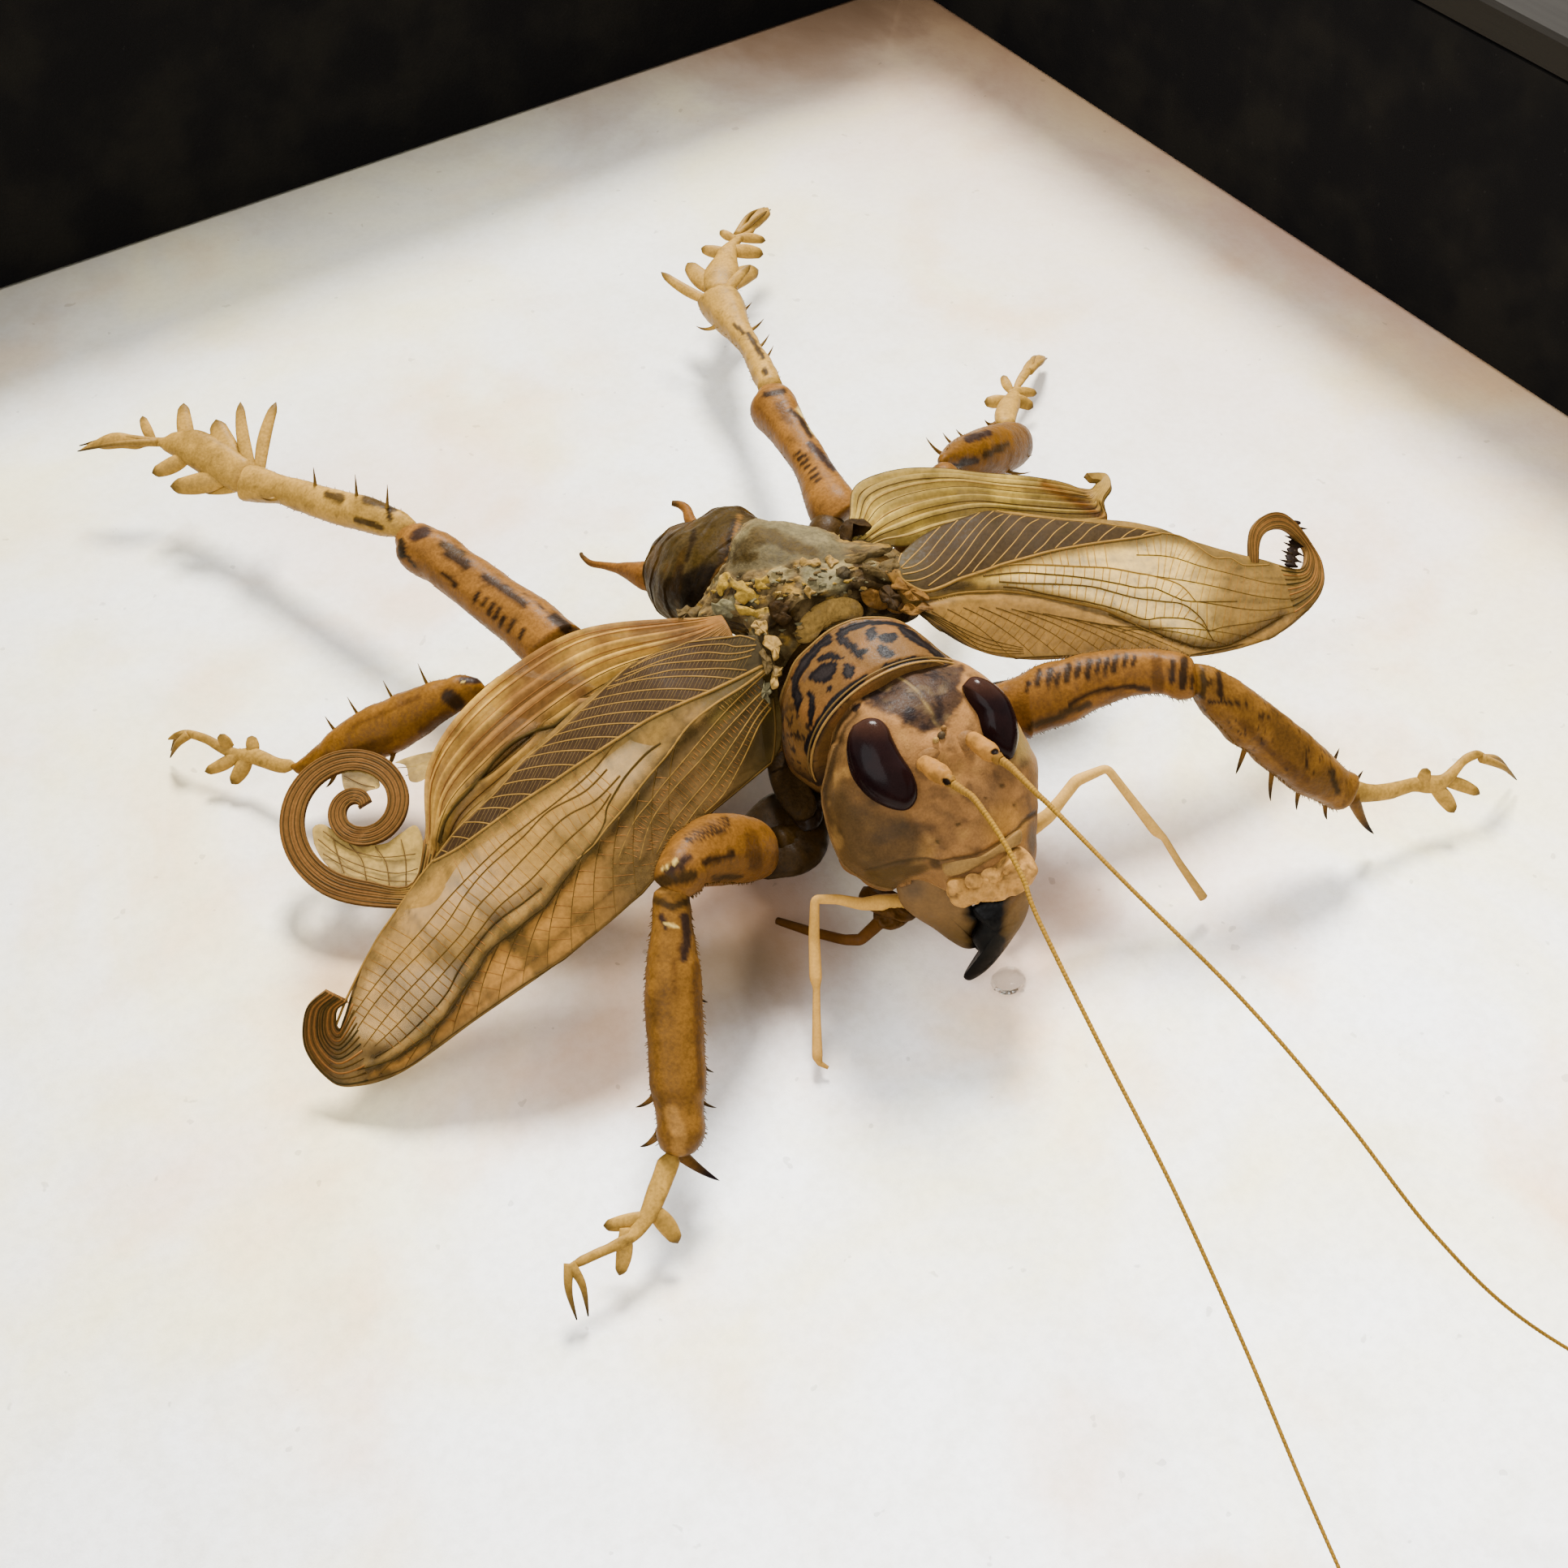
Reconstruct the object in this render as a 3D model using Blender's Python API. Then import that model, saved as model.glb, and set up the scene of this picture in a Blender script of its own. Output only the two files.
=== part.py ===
"""Framed desert cricket: a black tray frame with a dry, spread dune cricket on its paper.

Row frame: +X across the frame, +Y towards its top edge and the insect's head, +Z out of the paper,
origin at the middle of the flat back. Sizes are millimetres here and metres in the meshes.
Right and left are the insect's own.
"""
import math

import bmesh
import bpy
from mathutils import Vector

MM = 0.001
GAP = 0.3

# The frame: opening, boards and moulding
OPENING_WIDTH = 152.0
OPENING_LENGTH = 203.0
BACKING_THICK = 5.0
PAPER_THICK = 0.5
LINER_THICK = 3.0
LINER_RISE = 26.6
LIP_RISE = 2.9
LIP_FLAT = 5.6
RAIL_WIDTH = 12.0
RAIL_SHOULDER = 6.0
# Where the moulding's rounded outer edge bends: distance in from its outside, and drop from the top
RAIL_BENDS = ((3.2, 0.9), (1.2, 2.8))
RAIL_EASE = 0.4
MITRE_TRIM = 0.22

# Levels above the flat back
PAPER_TOP = BACKING_THICK + GAP + PAPER_THICK
LINER_FOOT = PAPER_TOP + GAP
LINER_TOP = LINER_FOOT + LINER_RISE
LIP_FOOT = LINER_TOP + GAP
RAIL_TOP = LIP_FOOT + LIP_RISE

# Sides of the turned parts
HEAD_SIDES = 16
BODY_SIDES = 14
LEG_SIDES = 8
MOUTHPART_SIDES = 6
FEELER_SIDES = 5
SHARP_ANGLE = 50

UP = Vector((0, 0, 1))


def clear_scene():
    for item in list(bpy.data.objects):
        bpy.data.objects.remove(item, do_unlink=True)


def material(name, colour, roughness, metallic=0.0):
    finish = bpy.data.materials.new(name)
    finish.use_nodes = True
    shader = finish.node_tree.nodes["Principled BSDF"]
    shader.inputs["Base Color"].default_value = (*colour, 1.0)
    shader.inputs["Roughness"].default_value = roughness
    shader.inputs["Metallic"].default_value = metallic
    return finish


def add_object(name, bm, finish, smooth=True):
    """Turn a mesh in millimetres into an object in metres, faces out."""
    bmesh.ops.recalc_face_normals(bm, faces=bm.faces)
    if bm.calc_volume(signed=True) < 0:
        bmesh.ops.reverse_faces(bm, faces=bm.faces)
    for vertex in bm.verts:
        vertex.co *= MM
    mesh = bpy.data.meshes.new(name)
    bm.to_mesh(mesh)
    bm.free()
    if smooth:
        mesh.shade_smooth()
        mesh.set_sharp_from_angle(angle=math.radians(SHARP_ANGLE))
    mesh.materials.append(finish)
    item = bpy.data.objects.new(name, mesh)
    bpy.context.scene.collection.objects.link(item)
    return item


def at(x, y, z):
    """A place on the specimen, with z counted from the paper."""
    return Vector((x, y, z + PAPER_TOP))


def blend(values, t):
    """Smooth curve through evenly spaced numbers or vectors, t from 0 to 1."""
    last = len(values) - 1
    place = min(max(t, 0.0), 1.0) * last
    i = min(int(place), last - 1)
    f = place - i
    a = values[max(i - 1, 0)]
    b = values[i]
    c = values[i + 1]
    d = values[min(i + 2, last)]
    return b + (c - a) * (0.5 * f) + (a * 2 - b * 5 + c * 4 - d) * (0.5 * f * f) + (
        (b - c) * 3 + d - a) * (0.5 * f * f * f)


def resample(points, count):
    return [blend(points, i / (count - 1)) for i in range(count)]


def skin(bm, rings):
    """Join rings of vertices with quads and close both ends with a pole or a cap."""
    made = []
    for ring in rings:
        made.append([bm.verts.new(p) for p in ring])
    for low, high in zip(made, made[1:]):
        for i in range(len(low)):
            j = (i + 1) % len(low)
            bm.faces.new((low[i], low[j], high[j], high[i]))
    for ring, flip in ((made[0], True), (made[-1], False)):
        pole = bm.verts.new(sum((v.co for v in ring), Vector()) / len(ring))
        for i in range(len(ring)):
            j = (i + 1) % len(ring)
            bm.faces.new((ring[j], ring[i], pole) if flip else (ring[i], ring[j], pole))


def tube(bm, path, radii, sides, up=UP):
    """Tube along a path; a radius is a number, or a (sideways, upwards) pair."""
    rings = []
    for i, centre in enumerate(path):
        ahead = path[min(i + 1, len(path) - 1)] - path[max(i - 1, 0)]
        along = ahead.normalized()
        side = along.cross(up).normalized()
        top = side.cross(along).normalized()
        wide, high = radii[i] if isinstance(radii[i], tuple) else (radii[i], radii[i])
        ring = []
        for k in range(sides):
            angle = math.tau * k / sides
            ring.append(centre + side * (wide * math.cos(angle)) + top * (high * math.sin(angle)))
        rings.append(ring)
    skin(bm, rings)
    bmesh.ops.recalc_face_normals(bm, faces=bm.faces)


# Millimetres of distance that a face looking the right way makes up for
FACING_WEIGHT = 0.8


def nearest_face(bm, spot, direction):
    """The quad beside a spot that looks most nearly along a direction, on the trunk alone."""
    best = None
    best_score = math.inf
    grown = bm.faces.layers.int.get("grown")
    for face in bm.faces:
        if len(face.verts) != 4 or (grown and face[grown]):
            continue
        score = (face.calc_center_median() - spot).length - FACING_WEIGHT * face.normal.dot(direction)
        if score < best_score:
            best = face
            best_score = score
    return best


# How far a branch's first ring stands from its foot, as a share of a step
FIRST_STEP = 0.15


def branch(bm, spot, tip, widths):
    """Grow a spine, spur or pad from the skin beside a spot: widths are its half widths to the tip."""
    direction = (tip - spot).normalized()
    grown = bm.faces.layers.int.get("grown") or bm.faces.layers.int.new("grown")
    face = nearest_face(bm, spot, direction)
    known = set(bm.faces)
    foot = face.calc_center_median()
    for step, width in enumerate(widths):
        centre = foot.lerp(tip, (step + FIRST_STEP) / len(widths))
        out = bmesh.ops.extrude_discrete_faces(bm, faces=[face])
        face = out["faces"][0]
        middle = face.calc_center_median()
        side = direction.cross(face.verts[0].co - middle).normalized()
        other = side.cross(direction).normalized()
        for vertex in face.verts:
            arm = vertex.co - middle
            flat = other * arm.dot(other) + side * arm.dot(side)
            vertex.co = centre + flat.normalized() * width
    out = bmesh.ops.poke(bm, faces=[face])
    out["verts"][0].co = tip
    bm.normal_update()
    for near in bm.faces:
        if near not in known:
            near[grown] = 1


def cut_by(item, *cutters):
    """Cut an object by its neighbours' outlines, which are a gap larger than they are."""
    for cutter in cutters:
        step = item.modifiers.new("clear_" + cutter.name, "BOOLEAN")
        step.operation = "DIFFERENCE"
        step.solver = "EXACT"
        step.object = cutter


def as_cutter(item):
    item.hide_render = True
    item.display_type = "WIRE"
    return item


def rail_profile():
    """Moulding section: distance out from the opening's edge, and height."""
    inner = LINER_THICK + GAP
    lip = [(inner, 0.0), (inner, LIP_FOOT), (0.0, LIP_FOOT), (0.0, RAIL_TOP - RAIL_EASE),
           (RAIL_EASE, RAIL_TOP), (LIP_FLAT, RAIL_TOP)]
    bends = [(RAIL_WIDTH - inset, RAIL_TOP - drop) for inset, drop in RAIL_BENDS]
    return lip + bends + [(RAIL_WIDTH, RAIL_TOP - RAIL_SHOULDER), (RAIL_WIDTH, 0.0)]


def mitred_bar(name, section, half_run, half_across, turn, finish):
    """A bar of the given section on one side of the opening, with both ends cut at 45 degrees."""
    bm = bmesh.new()
    ends = []
    for sign in (-1, 1):
        ring = []
        for out, height in section:
            along = sign * (half_run + out - MITRE_TRIM)
            ring.append(bm.verts.new((along, half_across + out, height)))
        ends.append(ring)
    count = len(section)
    for i in range(count):
        j = (i + 1) % count
        bm.faces.new((ends[0][i], ends[0][j], ends[1][j], ends[1][i]))
    bm.faces.new(ends[0])
    bm.faces.new(list(reversed(ends[1])))
    bmesh.ops.triangulate(bm, faces=[f for f in bm.faces if len(f.verts) > 4])
    cos = round(math.cos(turn))
    sin = round(math.sin(turn))
    for vertex in bm.verts:
        x, y, z = vertex.co
        vertex.co = Vector((x * cos - y * sin, x * sin + y * cos, z))
    return add_object(name, bm, finish, smooth=False)


def board(name, width, length, low, high, finish):
    bm = bmesh.new()
    bmesh.ops.create_cube(bm, size=1.0)
    for vertex in bm.verts:
        vertex.co.x *= width
        vertex.co.y *= length
        vertex.co.z = high if vertex.co.z > 0 else low
    return add_object(name, bm, finish, smooth=False)


def build_frame():
    black = material("frame_black", (0.015, 0.014, 0.013), 0.35)
    liner = material("liner_black", (0.012, 0.011, 0.010), 0.85)
    hardboard = material("backing_board", (0.16, 0.11, 0.07), 0.8)
    parchment = material("parchment", (0.86, 0.80, 0.74), 0.8)
    half_x = OPENING_WIDTH / 2
    half_y = OPENING_LENGTH / 2
    wall = [(0.0, LINER_FOOT), (0.0, LINER_TOP), (LINER_THICK, LINER_TOP), (LINER_THICK, LINER_FOOT)]
    sides = (("top", half_x, half_y, 0.0), ("left", half_y, half_x, math.pi / 2),
             ("bottom", half_x, half_y, math.pi), ("right", half_y, half_x, -math.pi / 2))
    for side, run, across, turn in sides:
        mitred_bar("frame_rail_" + side, rail_profile(), run, across, turn, black)
        mitred_bar("liner_wall_" + side, wall, run, across, turn, liner)
    width = OPENING_WIDTH + 2 * LINER_THICK
    length = OPENING_LENGTH + 2 * LINER_THICK
    board("backing_board", width, length, 0.0, BACKING_THICK, hardboard)
    board("background_paper", width, length, BACKING_THICK + GAP, PAPER_TOP, parchment)


# Body: places and half sizes of the cross-sections, from front to back
PRONOTUM = [
    ((5.7, 0.6, 12.6), 5.2, 5.0), ((5.7, -0.4, 12.5), 5.9, 5.8), ((5.5, -2.2, 12.3), 5.8, 5.9),
    ((5.4, -4.6, 12.4), 5.6, 6.0), ((5.2, -6.8, 12.6), 5.4, 6.1), ((5.1, -7.6, 12.7), 4.6, 5.3),
]
THORAX = [
    ((5.0, -8.3, 11.6), 4.0, 5.0), ((4.9, -9.6, 11.2), 5.2, 6.4), ((4.7, -12.4, 11.0), 5.5, 6.6),
    ((4.4, -15.2, 10.8), 5.4, 6.5), ((4.3, -17.4, 10.3), 4.9, 5.7), ((4.2, -18.5, 10.0), 3.9, 4.6),
]
ABDOMEN = [
    ((4.2, -19.2, 9.4), 3.6, 4.0), ((4.2, -20.2, 9.2), 4.6, 4.9), ((4.2, -22.8, 8.6), 4.9, 5.1),
    ((4.3, -25.4, 7.7), 4.6, 4.7), ((4.4, -27.8, 6.8), 3.6, 3.7), ((4.5, -29.4, 6.2), 2.2, 2.3),
]
# Roots and tips of the two cerci
CERCI = (((7.4, -26.6, 6.8), (8.6, -34.6, 4.4)), ((2.2, -27.6, 7.8), (1.5, -32.6, 8.0)))
CERCUS_HALF = (0.7, 0.5, 0.35)
SEGMENT_STEP = 0.22


def body_shape(sections, swell, notched=False):
    """Loft a body part; swell enlarges it all round, notches mark its segments."""
    path = [at(*place) for place, _, _ in sections]
    wide = [w + swell for _, w, _ in sections]
    high = [h + swell for _, _, h in sections]
    path[0] += (path[0] - path[1]).normalized() * swell
    path[-1] += (path[-1] - path[-2]).normalized() * swell
    if notched:
        count = 2 * len(path) - 1
        path = resample(path, count)
        wide = resample(wide, count)
        high = resample(high, count)
        for i in range(2, count - 1, 2):
            wide[i] -= SEGMENT_STEP
            high[i] -= SEGMENT_STEP
    bm = bmesh.new()
    tube(bm, path, list(zip(wide, high)), BODY_SIDES)
    return bm


# Head: the face runs from the vertex down and forwards to the labrum
FACE_TOP = (5.5, -0.6, 20.6)
FACE_FOOT = (6.3, 11.6, 9.6)
HEAD_SECTIONS = [
    # share of the way down the face, half width, depth behind the face, rise of the face
    (0.00, 2.6, 3.2, -1.0), (0.06, 4.3, 5.6, -0.2), (0.18, 5.6, 7.8, 0.5), (0.34, 6.2, 9.0, 0.9),
    (0.50, 6.4, 9.2, 1.0), (0.66, 6.0, 8.6, 1.0), (0.80, 4.9, 7.2, 0.9), (0.90, 3.9, 5.4, 0.7),
    (1.00, 3.1, 3.4, 0.5), (1.06, 2.0, 2.0, 0.2),
]
# Eyes: half sizes outwards, down the face and across, and how much the lower end is broader
EYE_HALF = (1.25, 3.0, 1.9)
EYE_FLARE = 0.22
EYE_PLACES = {
    "right": ((10.3, 3.1, 16.9), (0.62, 0.55, 0.56)),
    "left": ((1.2, 4.1, 16.6), (-0.58, 0.58, 0.57)),
}


def head_shape(swell):
    top = at(*FACE_TOP)
    foot = at(*FACE_FOOT)
    down = (foot - top).normalized()
    side = down.cross(UP).normalized()
    out = side.cross(down).normalized()
    if out.z < 0:
        out = -out
    rings = []
    for share, half, depth, rise in HEAD_SECTIONS:
        front = top.lerp(foot, share) + out * (rise + swell)
        middle = front - out * (depth / 2 + swell)
        ring = []
        for k in range(HEAD_SIDES):
            angle = math.tau * k / HEAD_SIDES
            across = (half + swell) * math.cos(angle)
            lift = (depth / 2 + swell) * math.sin(angle)
            ring.append(middle + side * across + out * lift)
        rings.append(ring)
    bm = bmesh.new()
    skin(bm, rings)
    return bm


def eye_shape(which, swell):
    """A kidney-shaped eye: an ellipsoid laid on the side of the face."""
    place, facing = EYE_PLACES[which]
    down = (at(*FACE_FOOT) - at(*FACE_TOP)).normalized()
    normal = Vector(facing).normalized()
    length = (down - normal * down.dot(normal)).normalized()
    width = normal.cross(length)
    bm = bmesh.new()
    bmesh.ops.create_uvsphere(bm, u_segments=12, v_segments=8, radius=1.0)
    for vertex in bm.verts:
        x, y, z = vertex.co
        pinch = 1.0 + EYE_FLARE * z
        vertex.co = (at(*place) + normal * (x * (EYE_HALF[0] + swell))
                     + width * (y * (EYE_HALF[2] + swell) * pinch)
                     + length * (z * (EYE_HALF[1] + swell)))
    return bm


def build_body():
    tan = material("head_tan", (0.55, 0.42, 0.26), 0.5)
    eye = material("eye_maroon", (0.035, 0.010, 0.010), 0.12)
    saddle = material("pronotum_tan", (0.36, 0.22, 0.11), 0.4)
    grey = material("thorax_grey", (0.33, 0.27, 0.20), 0.8)
    brown = material("abdomen_brown", (0.14, 0.08, 0.045), 0.45)
    pronotum = add_object("pronotum", body_shape(PRONOTUM, 0.0), saddle)
    thorax = add_object("thorax", body_shape(THORAX, 0.0), grey)
    bm = body_shape(ABDOMEN, 0.0, notched=True)
    for root, tip in CERCI:
        branch(bm, at(*root), at(*tip), CERCUS_HALF)
    abdomen = add_object("abdomen", bm, brown)
    head = add_object("head", head_shape(0.0), tan)
    around = {}
    for name, sections in (("pronotum", PRONOTUM), ("thorax", THORAX), ("abdomen", ABDOMEN)):
        around[name] = as_cutter(add_object("room_" + name, body_shape(sections, GAP), grey))
    around["head"] = as_cutter(add_object("room_head", head_shape(GAP), grey))
    for which in EYE_PLACES:
        room = as_cutter(add_object("room_eye_" + which, eye_shape(which, GAP), grey))
        add_object("eye_" + which, eye_shape(which, 0.0), eye)
        cut_by(head, room)
    cut_by(head, around["pronotum"])
    cut_by(thorax, around["pronotum"])
    cut_by(abdomen, around["thorax"])
    return around


# Thin parts of the head: routes in millimetres, thickest at the head
ANTENNA_ROUTES = {
    "right": [(7.2, 5.6, 17.6), (7.7, 8.0, 18.2), (9.0, 12.6, 18.5), (10.2, 19.0, 18.0), (12.0, 27.0, 16.0),
              (13.4, 34.8, 13.5), (15.0, 43.0, 10.0), (17.0, 51.0, 7.0), (19.0, 60.0, 4.0), (20.4, 69.0, 2.0),
              (19.6, 78.0, 1.0), (16.6, 86.0, 0.7)],
    "left": [(4.2, 6.2, 18.0), (4.6, 9.0, 18.6), (5.4, 14.4, 19.6), (5.6, 21.0, 20.2), (5.0, 30.0, 19.0),
             (4.6, 37.8, 17.0), (4.0, 45.0, 14.0), (1.6, 50.8, 10.4), (-3.4, 57.4, 6.6), (-9.6, 63.8, 3.8),
             (-16.6, 70.0, 1.8), (-24.0, 75.6, 0.8)],
}
ANTENNA_ROOT = 0.75
ANTENNA_NECK = 0.36
ANTENNA_TIP = 0.2
ANTENNA_POINTS = 30
PALP_ROUTES = {
    "maxillary_right": [(9.4, 5.6, 5.2), (12.6, 5.1, 7.0), (15.2, 4.1, 7.5), (17.3, 7.5, 3.2),
                        (19.3, 11.1, 0.7)],
    "maxillary_left": [(0.3, 8.4, 8.2), (-3.1, 8.0, 10.0), (-6.2, 8.2, 10.5), (-8.2, 12.3, 6.0),
                       (-10.6, 15.8, 0.9)],
    "labial_right": [(9.2, 6.6, 3.6), (11.6, 5.9, 3.6), (13.3, 5.4, 3.2), (15.3, 0.6, 1.0)],
    "labial_left": [(3.6, 8.4, 3.6), (1.4, 8.6, 3.6), (-0.2, 8.2, 3.0), (-2.0, 4.6, 1.0)],
}
MANDIBLE_ROUTES = {
    "right": [(9.7, 7.7, 9.0), (8.9, 8.0, 7.7), (8.2, 8.5, 6.2), (7.1, 9.6, 4.2), (6.2, 10.7, 2.5)],
    "left": [(3.4, 11.0, 8.4), (3.2, 11.5, 6.4), (3.5, 11.9, 4.4), (4.9, 12.0, 2.4), (7.0, 11.5, 0.6)],
}
MANDIBLE_HALF = [(2.0, 1.7), (2.0, 1.6), (1.7, 1.4), (1.0, 1.0), (0.25, 0.25)]
GLUE_PLACE = (4.9, 13.0)
GLUE_HALF = (1.3, 1.1, 0.6)
PALP_ROOT = 0.62
PALP_TIP = 0.32


def build_head_parts(around):
    straw = material("antenna_straw", (0.62, 0.36, 0.09), 0.45)
    palp = material("palp_straw", (0.66, 0.45, 0.20), 0.45)
    horn = material("mandible_horn", (0.30, 0.19, 0.10), 0.3)
    glue = material("clear_glue", (0.85, 0.85, 0.82), 0.05)
    for which, route in ANTENNA_ROUTES.items():
        path = resample([at(*p) for p in route], ANTENNA_POINTS)
        radii = []
        for i in range(ANTENNA_POINTS):
            share = i / (ANTENNA_POINTS - 1)
            radii.append(ANTENNA_ROOT if i < 2 else ANTENNA_NECK + (ANTENNA_TIP - ANTENNA_NECK) * share)
        bm = bmesh.new()
        tube(bm, path, radii, FEELER_SIDES)
        cut_by(add_object("antenna_" + which, bm, straw), around["head"])
    for which, route in PALP_ROUTES.items():
        count = 2 * len(route) - 1
        path = resample([at(*p) for p in route], count)
        radii = [PALP_ROOT + (PALP_TIP - PALP_ROOT) * i / (count - 1) for i in range(count)]
        bm = bmesh.new()
        tube(bm, path, radii, MOUTHPART_SIDES)
        cut_by(add_object("palp_" + which, bm, palp), around["head"])
    for which, route in MANDIBLE_ROUTES.items():
        bm = bmesh.new()
        tube(bm, [at(*p) for p in route], MANDIBLE_HALF, LEG_SIDES, up=Vector((0, 1, 0)))
        cut_by(add_object("mandible_" + which, bm, horn), around["head"])
    bm = bmesh.new()
    bmesh.ops.create_uvsphere(bm, u_segments=12, v_segments=6, radius=1.0)
    bmesh.ops.bisect_plane(bm, geom=bm.verts[:] + bm.edges[:] + bm.faces[:], plane_co=(0, 0, 0),
                           plane_no=(0, 0, -1), clear_outer=True)
    bmesh.ops.holes_fill(bm, edges=[e for e in bm.edges if e.is_boundary])
    for vertex in bm.verts:
        x, y, z = vertex.co
        vertex.co = at(GLUE_PLACE[0] + x * GLUE_HALF[0], GLUE_PLACE[1] + y * GLUE_HALF[1],
                       GAP + z * GLUE_HALF[2])
    add_object("glue_drop", bm, glue)


# Legs: joints from hip to claw tip, and the number of the span that is the shin
SHIN = 2
LEG_JOINTS = {
    "foreleg_right": [(12.1, -0.8, 6.0), (15.3, -1.0, 7.2), (23.4, 1.0, 14.2), (32.1, 12.5, 4.6),
                      (35.1, 14.9, 3.4), (40.6, 14.9, 3.2), (41.3, 17.2, 0.8)],
    "foreleg_left": [(-1.9, -0.8, 7.4), (-7.6, 2.4, 12.6), (-14.3, 8.0, 14.5), (-23.2, 17.2, 4.6),
                     (-29.4, 18.8, 3.4), (-33.9, 19.6, 4.2), (-37.6, 20.8, 0.9)],
    "midleg_right": [(10.8, -12.4, 5.6), (17.0, -16.4, 7.8), (23.4, -23.1, 8.6), (36.4, -28.8, 3.6),
                     (38.6, -32.6, 2.8), (41.5, -36.8, 2.8), (43.0, -37.6, 0.9)],
    "midleg_left": [(-1.6, -12.6, 6.0), (-8.6, -16.4, 9.6), (-16.6, -21.5, 10.8), (-29.7, -29.1, 4.2),
                    (-33.4, -33.1, 3.0), (-37.8, -35.1, 2.6), (-41.9, -37.6, 0.9)],
    "hindleg_right": [(9.2, -16.0, 6.4), (16.9, -22.4, 9.0), (21.2, -41.2, 9.0), (26.6, -55.9, 6.4),
                      (29.1, -61.6, 6.2), (30.8, -64.9, 6.0), (36.3, -68.6, 5.4)],
    "hindleg_left": [(-0.6, -17.8, 6.4), (-7.2, -23.8, 9.2), (-11.5, -39.1, 9.0), (-17.7, -54.7, 6.4),
                     (-22.8, -60.7, 6.2), (-25.3, -62.9, 6.0), (-30.6, -65.4, 5.6)],
}
# Half widths, sideways and upwards, at shares of each span between joints
LEG_GIRTH = {
    "foreleg": [[(0.0, 1.6, 1.9), (0.6, 1.5, 1.8)], [(0.1, 1.6, 2.0), (0.6, 1.6, 1.9)],
                [(0.0, 1.2, 1.3), (0.14, 1.3, 1.4), (0.4, 1.7, 1.9), (0.75, 1.8, 1.9), (0.93, 1.4, 1.4)],
                [(0.1, 0.5, 0.5), (0.8, 0.75, 0.65)], [(0.1, 0.45, 0.45), (0.6, 0.5, 0.45)],
                [(0.0, 0.45, 0.4), (0.6, 0.25, 0.25)]],
    "midleg": [[(0.0, 1.4, 1.6), (0.6, 1.4, 1.7)], [(0.1, 1.5, 1.9), (0.6, 1.4, 1.7)],
               [(0.0, 1.2, 1.4), (0.15, 1.4, 1.7), (0.4, 1.8, 2.2), (0.7, 1.7, 2.0), (0.93, 0.9, 1.0)],
               [(0.1, 0.45, 0.45), (0.85, 0.75, 0.7)], [(0.1, 0.45, 0.45), (0.6, 0.5, 0.45)],
               [(0.0, 0.45, 0.4), (0.6, 0.25, 0.25)]],
    "hindleg": [[(0.0, 1.6, 1.8), (0.6, 1.8, 2.2)], [(0.1, 1.9, 2.4), (0.5, 1.8, 2.2), (0.92, 1.5, 1.9)],
                [(0.0, 1.1, 1.2), (0.1, 1.0, 1.1), (0.5, 0.95, 1.1), (0.85, 1.1, 1.2), (0.97, 0.9, 0.9)],
                [(0.2, 0.9, 0.6), (0.8, 1.0, 0.6)], [(0.2, 0.7, 0.5), (0.7, 0.6, 0.5)],
                [(0.2, 0.55, 0.35), (0.7, 0.5, 0.3)]],
}
CLAW_TIP_HALF = 0.12
# What grows from each leg. Spines stand on the shin: share of its length, roll about it, lean
# forward and length. Pads, spurs and leaves: span, share, roll, lean, length and half width.
LEG_SPINES = {
    "foreleg_right": [
        (0.80, 180, 28, 2.3), (0.95, 205, 25, 2.1), (0.40, 320, 30, 3.1), (0.62, 330, 34, 3.6),
        (0.76, 330, 28, 3.7), (0.88, 320, 22, 3.3)],
    "foreleg_left": [
        (0.35, 310, 18, 4.0), (0.50, 318, 28, 4.4), (0.68, 307, 30, 3.7), (0.84, 303, 38, 3.1),
        (0.80, 150, 0, 2.2), (0.94, 152, 14, 2.1)],
    "midleg_right": [
        (0.25, 126, 4, 3.7), (0.42, 125, 8, 3.5), (0.60, 125, 11, 3.4), (0.74, 127, 14, 2.7),
        (0.50, 345, 25, 3.2), (0.80, 345, 30, 2.8)],
    "midleg_left": [
        (0.20, 160, -8, 3.3), (0.40, 166, 4, 2.9), (0.60, 172, 2, 2.6), (0.92, 155, -35, 1.8),
        (0.50, 342, 25, 5.0), (0.65, 347, 34, 4.4), (0.85, 353, 28, 2.7)],
    "hindleg_right": [
        (0.08, 106, -10, 3.7), (0.27, 105, -5, 3.6), (0.55, 104, -4, 3.0), (0.75, 20, 10, 2.4)],
    "hindleg_left": [
        (0.30, 13, 34, 3.1), (0.45, 10, 28, 3.1), (0.65, 15, 8, 2.9), (0.85, 17, 6, 2.6),
        (0.80, 196, 20, 2.9)],
}
SPINE_HALF = 0.26
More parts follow.
